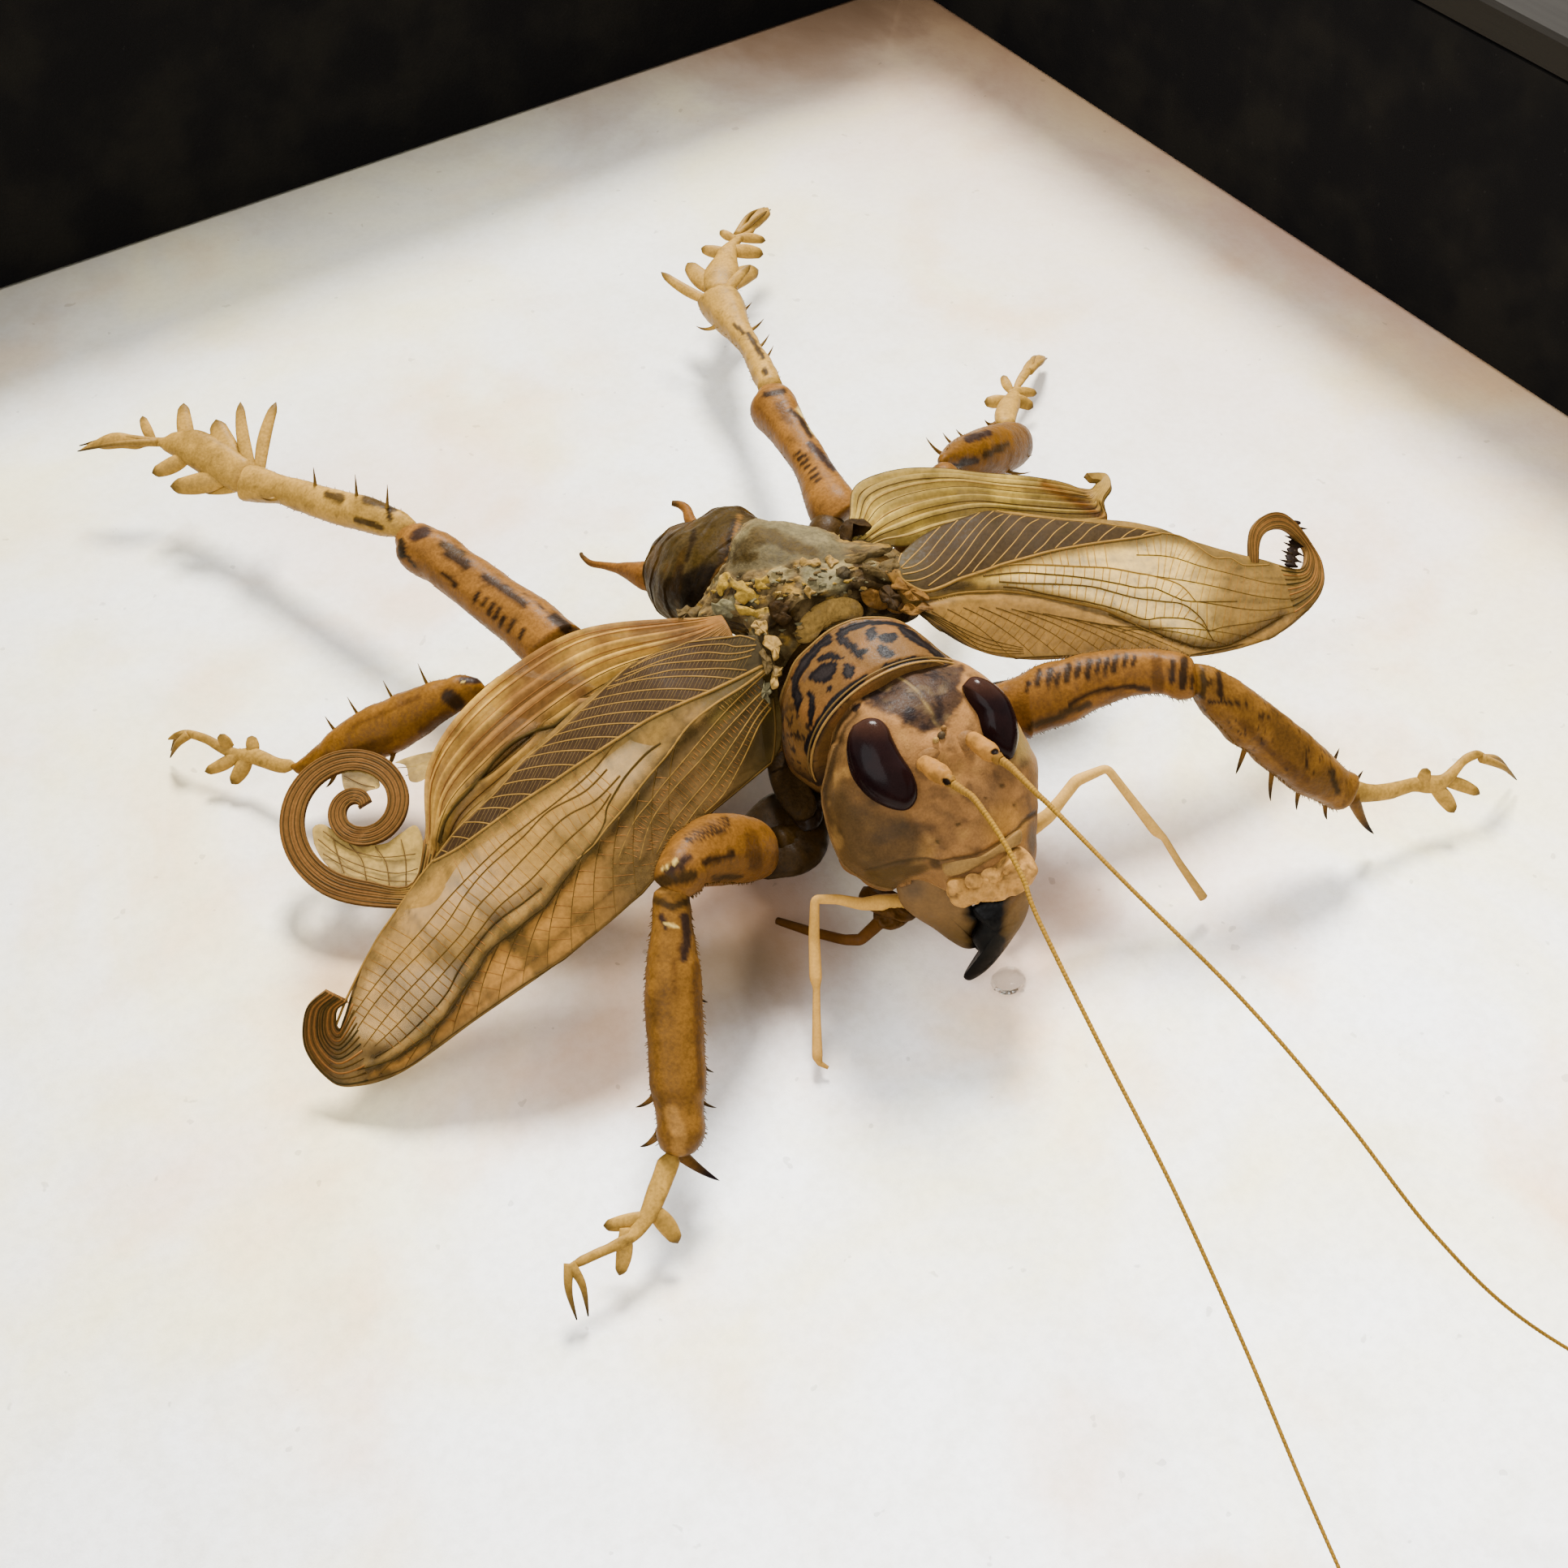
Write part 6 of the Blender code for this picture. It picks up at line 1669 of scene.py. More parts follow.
def bar_row(first, last, count, width, lean, colour="dark"):
    """Short strokes in an even row between two pixels."""
    row = []
    for k in range(count):
        f = k / max(count - 1, 1)
        x, y = first[0] + (last[0] - first[0]) * f, first[1] + (last[1] - first[1]) * f
        row.append((colour, width, [(x - lean[0], y - lean[1]), (x + lean[0], y + lean[1])]))
    return row


# Strokes on thigh and shin: tone, half width in pixels and the pixels they follow
LEG_MARKS = {"foreleg_left": ([("dark", w, [(x - 1.5, y + h * 0.75), (x + 1.5, y - h * 0.75)]) for x, y,
        w, h in ((1266, 846, 3, 7), (1279, 835, 3.5, 10), (1293, 834, 4.5, 10), (1303, 836, 3.5, 8),
        (1315, 829, 4.5, 12), (1328, 825, 3.6, 10), (1341, 824, 4, 12), (1353, 821, 3.2, 10),
        (1363, 819, 3.6, 10), (1374, 818, 4.4, 10), (1386, 815, 3.6, 8), (1397, 814, 2.6, 6))]
        + [("dark", 3.2, [(1318, 866), (1340, 856), (1360, 850), (1390, 846), (1415, 850)]),
        ("brown", 5, [(1270, 895), (1300, 884), (1340, 868)]), ("dark", 4, [(1445, 815), (1444, 838)]),
        ("dark", 5.5, [(1459, 813), (1457, 846)]), ("dark", 2.5, [(1469, 832), (1469, 848)]),
        ("rust", 7, [(1425, 812), (1428, 850)])], [("dark", 4, [(1501, 830), (1505, 858)]),
        ("dark", 2.4, [(1490, 865), (1512, 865), (1536, 869)]), ("brown", 4, [(1482, 826), (1482, 858)]),
        ("brown", 4, [(1640, 950), (1648, 975)]), ("rust", 5, [(1530, 890), (1570, 930), (1610, 962)])]),
        "foreleg_right": (bar_row((846, 1034), (897, 1014), 11, 1.3, (-1.5, -6.5))
        + [("dark", 5, [(868, 1062), (902, 1053)]), ("plum", 7, [(824, 1073), (848, 1059)]),
        ("brown", 8, [(814, 1086), (852, 1078)]), ("pale", 1.6, [(816, 1071), (836, 1060)]),
        ("rust", 9, [(926, 1030), (932, 1066)]), ("brown", 4, [(880, 1082), (912, 1080)])],
        [("cream", 8, [(816, 1092), (842, 1092)]), ("brown", 5, [(808, 1109), (828, 1118), (850, 1110)]),
        ("plum", 4, [(815, 1130), (820, 1142)]), ("pale", 1.6, [(820, 1138), (836, 1143)]),
        ("plum", 6, [(843, 1130), (847, 1150), (843, 1180)]),
        ("rust", 5, [(856, 1190), (858, 1230), (860, 1272)]), ("rust", 4, [(860, 1280), (862, 1340)]),
        ("rust", 2, [(836, 1165), (830, 1200), (829, 1225)]),
        ("cream", 9, [(826, 1370), (838, 1400), (836, 1418)])]),
        "midleg_right": ([], [("dark", 10, [(553, 858), (563, 866)]),
        ("plum", 4.5, [(570, 838), (592, 838)]), ("pale", 2, [(571, 840)]),
        ("rust", 3, [(434, 894), (475, 877), (516, 858)]),
        ("rust", 6, [(520, 902), (535, 892), (552, 880)]),
        ("rust", 6, [(400, 935), (440, 925), (480, 912)])]),
        "midleg_left": ([], [("plum", 5, [(1192, 541), (1218, 534)]),
        ("dark", 5, [(1186, 570), (1202, 568)]), ("dark", 3, [(1160, 573), (1184, 574)]),
        ("brown", 5, [(1215, 560), (1240, 548)])]), "hindleg_right": ([("plum", 8,
        [(512, 660), (524, 655)]), ("green", 5, [(494, 668), (495, 684)]),
        ("green", 2, [(498, 681), (512, 698)]), ("dark", 7, [(552, 684), (574, 696)]),
        ("dark", 7, [(598, 712), (620, 726), (644, 744)]), ("dark", 8, [(682, 762), (698, 774)]),
        ("brown", 5, [(545, 670), (570, 683)]), ("dark", 2.2, [(545, 705), (562, 722)])]
        + [("dark", 2.6, [(x + 3, y - 6), (x - 3, y + 6)]) for x,
        y in ((587, 735), (597, 741), (604, 751), (612, 756), (619, 765), (630, 771), (643, 780))]
        + [("dark", 1.4, [(645 + 7 * k, 732 + 5 * k), (648 + 7 * k, 735 + 5 * k)]) for k in range(9)],
        [("brown", 6, [(404, 610), (420, 614)]), ("brown", 5.5, [(450, 616), (486, 625)]),
        ("dark", 3.2, [(480, 618), (480, 640)]), ("brown", 4, [(440, 640), (470, 650)])]),
        "hindleg_left": ([("dark", 3.6, [(942, 486), (966, 482)]),
        ("dark", 3.4, [(974, 506), (986, 516), (999, 537)]),
        ("pale", 1.8, [(983, 504), (996, 520), (1006, 538)]),
        ("plum", 4.6, [(998, 548), (1012, 562), (1027, 577)]), ("rust", 6, [(960, 500), (972, 518)])]
        + bar_row((983, 558), (1008, 592), 7, 1.8, (-4, 3)),
        [("dark", 3.2, [(922, 412), (931, 425), (940, 440)]), ("dark", 3.6, [(941, 456), (943, 459)]),
        ("brown", 3, [(905, 400), (915, 410)])]), }


def leg(name):
    kind, side = name.split("_")
    sign = 1 if side == "right" else -1
    seed = sum(ord(c) for c in name)
    rng = np.random.default_rng(seed)
    joints = at(LEG_JOINTS[name])
    shape = Shape()
    thigh_marks, shin_marks = LEG_MARKS[name]
    shin_base = {"foreleg": tone(198, 150, 76), "midleg": AMBER, "hindleg": STRAW}[kind]
    foot_base = STRAW
    thigh_base = GOLD if kind != "hindleg" else tone(204, 158, 88)
    segment(shape, joints[0], joints[1], LEG_GIRTH[kind][0], leg_paint(tone(132, 78, 36), seed), 26, 40,
            0.06, seed)
    parts = ((joints[1:3], thigh_base, thigh_marks, 1.05, 1),
             (joints[2:4], shin_base, shin_marks, 1.0, SHIN),
             (joints[3:], foot_base, (), 0.62, 3))
    for (chain, base, marks, flat, span), edges in zip(parts, LIMB_EDGES[name]):
        specks = 0.5 if name == "foreleg_left" and span == SHIN else 0.0
        paint_by = leg_paint(base, seed + span, marks, specks)
        if edges is None:
            segment(shape, chain[0], chain[1], LEG_GIRTH[kind][span], paint_by, SEGMENT_SIDES, SEGMENT_ROWS,
                    0.05, seed + span)
            continue
        small = span > SHIN
        path, across, _, half = limb(shape, chain, edges, flat, paint_by, 24 if small else 42,
                                          80 if small else 116,
                                          seed + span, 0.03 if small else 0.06)
        hairs = {"foreleg": 70, "midleg": 36, "hindleg": 22}[kind]
        if not small:
            fringe(shape, path, across, half, rng, hairs, 0.24 if kind == "foreleg" else 0.18,
                   tone(190, 146, 84))
    shin = leg_axes(joints[SHIN], joints[SHIN + 1], sign)
    spine_tip = tone(120, 76, 44) if kind == "foreleg" else tone(186, 142, 78)
    for share, roll, lean, length in LEG_SPINES[name]:
        middle = joints[SHIN] + (joints[SHIN + 1] - joints[SHIN]) * share
        foot = middle + aim(shin, roll, 0) * 0.6
        spike(shape, foot, middle + aim(shin, roll, lean) * length, 0.26, shin_base * 0.9, spine_tip, 0.22,
              8, 10)
    for span, share, roll, lean, length, half in LEG_LEAVES[name]:
        axes = leg_axes(joints[span], joints[span + 1], sign)
        middle = joints[span] + (joints[span + 1] - joints[span]) * share
        tip = middle + aim(axes, roll, lean) * length
        if kind == "foreleg" and span == SHIN:
            spike(shape, middle, tip, 0.5, shin_base * 0.7, SPINE_DARK, 0.1, 10, 12)
        else:
            leaf(shape, middle, tip, half, foot_base, tone(150, 104, 56))
    claw = at(LEG_JOINTS[name])[5:]
    spread = unit(np.cross(claw[1] - claw[0], UP)) * 0.35
    for way in (-1, 1):
        middle = (claw[0] + claw[1]) / 2 + UP * 0.5 + spread * way * 1.2
        path = route(np.array([claw[0], middle, claw[1] + spread * way]), 20)
        size = np.linspace(0.36, 0.05, 20)
        blend = np.linspace(0, 1, 20)[:, None] ** 1.5
        shape.tube(path, size, size, foot_base * 0.8 * (1 - blend) + tone(60, 36, 22) * blend, 12)
    root_plates(shape, name, 820)
    make_piece(name + "_bristled", shape, [cuticle(name + "_cuticle", 0.45, 0.03, 0.22, 0.2, 0.045)],
               [name])


# Body

THORAX = [
    ((5.0, -8.3, 11.6), 4.0, 5.0), ((4.9, -9.6, 11.2), 5.2, 6.4), ((4.7, -12.4, 11.0), 5.5, 6.6),
    ((4.4, -15.2, 10.8), 5.4, 6.5), ((4.3, -17.4, 10.3), 4.9, 5.7), ((4.2, -18.5, 10.0), 3.9, 4.6),
]

ABDOMEN = [
    ((4.2, -19.2, 9.4), 3.6, 4.0), ((4.2, -20.2, 9.2), 4.6, 4.9), ((4.2, -22.8, 8.6), 4.9, 5.1),
    ((4.3, -25.4, 7.7), 4.6, 4.7), ((4.4, -27.8, 6.8), 3.6, 3.7), ((4.5, -29.4, 6.2), 2.2, 2.3),
]
FACE_TOP = (5.5, -0.6, 20.6)
FACE_FOOT = (6.3, 11.6, 9.6)

# Rings of the saddle's front and rear rims: middle, half width, half height, tilt and turn in radians,
# fitted by least squares to the rims' pixels
FRONT_RIM = ((4.93, -0.61, 13.06), 6.28, 5.86, 0.08, -0.19)

REAR_RIM = ((5.21, -3.06, 12.52), 6.37, 6.81, 0.55, -0.42)

SADDLE_OUTLINE = [
    (970, 838), (980, 815), (1000, 795), (1020, 778), (1040, 768), (1060, 762), (1080, 761), (1100, 763),
    (1120, 772), (1140, 787), (1160, 804), (1180, 818), (1205, 840), (1215, 890), (1190, 940),
    (1130, 985), (1060, 1000), (1020, 985), (997, 977), (985, 966), (970, 945), (960, 900),
    (962, 860),
]

# Dark patches of the saddle
SADDLE_PATCHES = [
    [(1028, 783), (1035, 775), (1050, 768), (1070, 764), (1100, 765), (1124, 775), (1112, 773),
        (1090, 769), (1068, 772), (1050, 777), (1040, 784), (1031, 790)],
    [(1066, 783), (1068, 776), (1076, 772), (1082, 778), (1078, 785), (1076, 790), (1070, 791)],
    [(1081, 786), (1090, 780), (1102, 780), (1107, 786), (1100, 792), (1088, 791)],
    [(1079, 796), (1085, 794), (1095, 800), (1101, 806), (1098, 811), (1090, 810), (1083, 804)],
    [(1030, 785), (1040, 785), (1055, 794), (1063, 806), (1063, 813), (1055, 811), (1045, 801),
        (1035, 793)],
    [(1012, 807), (1023, 803), (1033, 805), (1041, 811), (1034, 814), (1022, 812), (1008, 817),
        (1004, 813)],
    [(1000, 828), (1010, 819), (1022, 816), (1032, 817), (1030, 828), (1024, 836), (1015, 843),
        (1005, 841), (995, 836)],
    [(1039, 817), (1046, 816), (1053, 822), (1054, 830), (1048, 838), (1041, 837), (1038, 829)],
    [(1084, 824), (1090, 818), (1105, 814), (1120, 811), (1125, 808), (1140, 810), (1152, 815),
        (1130, 815), (1110, 820), (1095, 825)],
    [(1062, 833), (1070, 830), (1062, 843), (1050, 852), (1035, 868), (1022, 888), (1010, 907),
        (1000, 922), (993, 930), (989, 922), (998, 903), (1008, 884), (1020, 866), (1035, 851),
        (1050, 840)],
    [(998, 850), (1004, 858), (1003, 880), (1000, 897), (995, 895), (997, 870), (994, 852)],
    [(1105, 768), (1125, 778), (1145, 793), (1165, 810), (1186, 822), (1172, 820), (1150, 807),
        (1130, 794), (1110, 781)],
    [(1022, 780), (1028, 790), (1012, 800), (1000, 815), (988, 830), (984, 846), (990, 860), (982, 880),
        (976, 860), (975, 836), (985, 814), (1002, 796)],
    [(1020, 846), (1026, 843), (1025, 850), (1016, 856)],
]

SADDLE_EYE = (1065, 802)


def rim_ring(rim, angles, grow=0.0):
    """Places round one of the saddle's rims."""
    middle, wide, high, tilt, turn = rim
    facing = np.array([-math.sin(turn) * math.cos(tilt), math.cos(turn) * math.cos(tilt), math.sin(tilt)])
    side = unit(np.cross(facing, UP))
    top = np.cross(side, facing)
    low = np.minimum(np.sin(angles), 0) * high * math.sin(tilt) * 0.8
    return (at(middle) + np.outer(np.cos(angles) * (wide + grow),
                                  side) + np.outer(np.sin(angles) * (high + grow), top)
            + np.outer(low, facing / max(facing[1], 0.5)) * 0.9)


# Sections down the face: share of the face's length, half width, depth and rise of the front
CRANIUM = [
    (-0.02, 1.2, 1.2, -4.0), (0.02, 3.6, 3.6, -2.9), (0.07, 5.0, 6.2, -1.6), (0.13, 5.7, 7.8, -0.5),
    (0.22, 6.1, 8.8, 0.45), (0.34, 6.4, 9.6, 1.1), (0.50, 6.4, 9.6, 1.2), (0.66, 6.0, 9.0, 1.0),
    (0.80, 5.0, 7.8, 0.7), (0.90, 4.2, 6.2, 0.3), (1.00, 3.2, 4.2, -0.3), (1.05, 1.6, 2.0, -1.0),
]

HEAD_OUTLINE = [
    (1046, 858), (1080, 830), (1115, 812), (1150, 806), (1190, 815), (1222, 838), (1243, 864),
    (1254, 888), (1268, 918), (1279, 942), (1281, 985), (1279, 1027), (1278, 1060), (1266, 1088),
    (1240, 1102), (1205, 1108), (1178, 1104), (1150, 1090), (1125, 1088), (1100, 1097), (1075, 1092),
    (1058, 1080), (1040, 1068), (1022, 1028), (1013, 990), (1014, 960), (1020, 925), (1030, 890),
]

VERTEX_DARK = [
    (1058, 856), (1075, 845), (1095, 833), (1110, 826), (1130, 815), (1160, 812), (1186, 822),
    (1184, 838), (1182, 850), (1188, 858), (1180, 868), (1175, 880), (1166, 893), (1160, 898),
    (1152, 898), (1145, 904), (1130, 900), (1118, 896), (1112, 888), (1098, 880), (1080, 876),
    (1066, 868),
]

# Darker clouds of the vertex and the face: middle, half sizes, tilt and strength
HEAD_CLOUDS = [
    ((1078, 855), 16, 8, -20, 0.9), ((1124, 884), 13, 14, 20, 0.95), ((1138, 895), 8, 10, 0, 0.8),
    ((1157, 882), 9, 16, 10, 0.8), ((1158, 862), 8, 8, 0, 0.7), ((1150, 832), 14, 8, 20, 0.8),
    ((1090, 866), 14, 6, 0, 0.5), ((1170, 845), 10, 7, 30, 0.5), ((1054, 872), 11, 6, -40, 1.0),
]

FACE_CLOUDS = [
    ((1100, 1022), 34, 18, -15, 0.6), ((1083, 1035), 10, 12, 0, 0.6), ((1130, 1030), 16, 26, 20, 0.4),
    ((1155, 1000), 24, 14, 30, 0.45), ((1225, 975), 14, 22, 0, 0.35), ((1262, 940), 9, 9, 0, 0.5),
    ((1172, 1005), 14, 10, 40, 0.4), ((1066, 1000), 20, 12, 40, 0.3),
]

FACE_SPOTS = [((1155, 1037), 4), ((1181, 1016), 4), ((1250, 992), 3), ((1235, 968), 4), ((1211, 983), 2.5)]

MEDIAN_LINE = [(1104, 833), (1118, 840), (1129, 849), (1138, 862), (1146, 876), (1153, 890), (1159, 898)]

GENA_RIM = [
    (1052, 878), (1040, 893), (1028, 920), (1019, 950), (1013, 975), (1014, 992), (1022, 1026),
    (1031, 1050), (1041, 1067), (1058, 1080), (1078, 1091), (1100, 1096),
]

FACE_SUTURES = [
    [(1066, 1074), (1085, 1068), (1105, 1063), (1125, 1059), (1142, 1058), (1156, 1062)],
    [(1160, 1062), (1180, 1058), (1200, 1055), (1216, 1048), (1236, 1036), (1255, 1021), (1265, 1010),
        (1279, 1001)],
    [(1121, 1000), (1128, 1016), (1140, 1034), (1150, 1052)],
]

CLYPEUS = [
    (1161, 1064), (1180, 1060), (1200, 1057), (1216, 1050), (1236, 1038), (1256, 1022), (1259, 1036),
    (1250, 1044), (1232, 1052), (1215, 1062), (1200, 1070), (1185, 1077), (1170, 1080), (1162, 1074),
]

LABRUM = [
    (1164, 1086), (1170, 1081), (1190, 1079), (1210, 1073), (1228, 1063), (1245, 1049), (1257, 1044),
    (1268, 1051), (1275, 1064), (1277, 1078), (1269, 1088), (1258, 1096), (1240, 1106), (1220, 1110),
    (1200, 1112), (1182, 1117), (1172, 1112), (1167, 1100),
]

LABRUM_LUMPS = [
    ((1180, 1098), 14), ((1200, 1086), 12), ((1222, 1080), 14), ((1246, 1068), 15), ((1262, 1064), 11),
    ((1230, 1096), 13), ((1205, 1100), 12), ((1256, 1086), 11),
]

SOCKETS = [
    [(1128, 940), (1131, 930), (1139, 923), (1150, 921), (1158, 927), (1152, 936), (1146, 947),
        (1138, 953), (1130, 950)],
    [(1178, 915), (1180, 906), (1188, 900), (1198, 901), (1202, 910), (1198, 920), (1190, 926),
        (1181, 923)],
]

EYE_OUTLINES = {
    "right": [(1051, 894), (1067, 885), (1083, 886), (1094, 896), (1100, 910), (1110, 930), (1123, 950),
        (1130, 969), (1129, 986), (1118, 998), (1099, 997), (1075, 986), (1059, 971), (1048, 953),
        (1043, 928), (1045, 907)],
    "left": [(1186, 845), (1197, 834), (1213, 837), (1228, 847), (1241, 862), (1251, 886), (1254, 908),
        (1250, 928), (1244, 936), (1231, 931), (1217, 919), (1207, 902), (1202, 882), (1192, 864)],
}

# Feelers as pixels and heights, root first, then places from the part
SCAPES = {
    "right": ([(1134, 938, 17.7), (1150, 948, 18.1), (1166, 959, 18.4), (1174, 966, 18.5)], (1166, 963)),
    "left": ([(1194, 908, 18.0), (1208, 918, 18.4), (1224, 930, 18.7), (1234, 937, 18.8)], (1226, 926)),
}

ANTENNA_STARTS = {
    "right": [(1174, 966, 18.5), (1186, 974, 18.6), (1198, 982, 18.7), (1212, 1000, 18.8),
        (1228, 1023, 18.8), (1245, 1052, 18.7), (1262, 1086, 18.5)],
    "left": [(1234, 937, 18.8), (1246, 946, 18.9), (1262, 962, 19.1), (1280, 980, 19.3),
        (1300, 999, 19.5)],
}

ANTENNA_REST = {
    "right": [(10.2, 19.0, 18.0), (12.0, 27.0, 16.0), (13.4, 34.8, 13.5), (15.0, 43.0, 10.0),
        (17.0, 51.0, 7.0), (19.0, 60.0, 4.0), (20.4, 69.0, 2.0), (19.6, 78.0, 1.0), (16.6, 86.0, 0.7)],
    "left": [(5.6, 21.0, 20.2), (5.0, 30.0, 19.0), (4.6, 37.8, 17.0), (4.0, 45.0, 14.0),
        (1.6, 50.8, 10.4), (-3.4, 57.4, 6.6), (-9.6, 63.8, 3.8), (-16.6, 70.0, 1.8), (-24.0, 75.6, 0.8)],
}

# Brown mouthparts under the cheek, as outlines in pixels
MAXILLA_PLATES = [
    [(1064, 1092), (1080, 1092), (1102, 1098), (1122, 1114), (1130, 1128), (1116, 1136), (1094, 1130),
        (1072, 1122), (1058, 1106)],
    [(1084, 1112), (1104, 1112), (1122, 1122), (1116, 1138), (1098, 1146), (1080, 1140), (1076, 1124)],
]

# Palp joints as pixels, heights and half widths in millimetres
PALP_JOINTS = {
    "maxillary_right": [(1112, 1112, 5.2, 0.62), (1084, 1112, 5.8, 0.55), (1062, 1114, 6.2, 0.42),
        (1032, 1108, 7.0, 0.34), (1004, 1108, 7.5, 0.30), (1003, 1150, 5.4, 0.36),
        (1005, 1205, 4.0, 0.42), (1006, 1217, 3.6, 0.24), (1006, 1250, 2.6, 0.27),
        (1007, 1302, 1.2, 0.36), (1010, 1310, 0.9, 0.2), (1021, 1316, 0.7, 0.12)],
    "maxillary_left": [(1268, 1022, 8.2, 0.6), (1292, 1005, 9.0, 0.5), (1308, 985, 9.6, 0.42),
        (1326, 962, 10.2, 0.42), (1364, 946, 10.5, 0.30), (1394, 985, 8.6, 0.32),
        (1424, 1024, 6.6, 0.38), (1434, 1032, 6.0, 0.24), (1452, 1062, 4.2, 0.26),
        (1484, 1108, 1.4, 0.34)],
    "labial_right": [(1100, 1120, 3.8, 0.6), (1080, 1140, 3.8, 0.46), (1060, 1158, 3.6, 0.40),
        (1040, 1158, 3.2, 0.36), (1000, 1148, 2.2, 0.34), (956, 1134, 1.0, 0.26)],
    "labial_left": [(1244, 1090, 3.8, 0.5), (1254, 1094, 3.4, 0.4), (1262, 1098, 2.8, 0.35),
        (1262, 1082, 1.4, 0.3)],
}

PALP_TONES = {
    "maxillary_right": tone(232, 210, 170), "maxillary_left": tone(232, 212, 176),
    "labial_right": tone(176, 108, 54), "labial_left": tone(176, 112, 60),
}

MANDIBLE_OUTLINES = {
    "right": [(1104, 1093), (1118, 1083), (1135, 1076), (1152, 1074), (1165, 1084), (1172, 1098),
        (1184, 1110), (1196, 1112), (1200, 1124), (1208, 1133), (1203, 1146), (1199, 1157), (1206, 1166),
        (1190, 1169), (1172, 1160), (1150, 1144), (1125, 1128), (1110, 1113)],
    "left": [(1196, 1118), (1214, 1108), (1236, 1103), (1262, 1088), (1269, 1098), (1268, 1116),
        (1262, 1134), (1248, 1156), (1232, 1178), (1215, 1196), (1196, 1208), (1187, 1203), (1196, 1190),
        (1206, 1176), (1204, 1168), (1198, 1158), (1200, 1147), (1206, 1134), (1198, 1127)],
}

MANDIBLE_HEIGHTS = {"right": (9.6, 2.6), "left": (8.2, 0.9)}

BITING_EDGE = [
    (1196, 1112), (1233, 1108), (1234, 1120), (1232, 1135), (1229, 1150), (1236, 1160), (1232, 1176),
    (1212, 1198), (1192, 1210), (1184, 1203), (1200, 1180), (1198, 1150), (1204, 1136), (1195, 1126),
]


def body_rings(sections, rows=140, sides=160):
    """A body part's skin as rings from front to back, closed to a point at both ends."""
    centre = spline([s[0] for s in sections], rows)
    wide = spline([s[1] for s in sections], rows)
    high = spline([s[2] for s in sections], rows)
    rounding = np.sqrt(np.clip(np.minimum(np.arange(rows) + 0.2, rows - 0.8 - np.arange(rows)) / 8, 0, 1))
    ring = rings(at(centre), wide * rounding, high * rounding, sides)
    return ring

# Where the saddle's side lobe is painted, and the lobe's small flap, in pixels and heights
LOBE_ROWS = (830, 900)
LOBE_COLUMNS = (1030, 1000)
FLECK_COLUMNS = (1000, 975)
LOBE_FLAP = [(962, 925), (985, 935), (1003, 950), (999, 968), (996, 977), (988, 971), (978, 958), (962, 950)]
LOBE_FLAP_HEIGHTS = [8.4, 8.8, 9.4, 9.0, 8.6, 8.2, 7.9, 7.8]


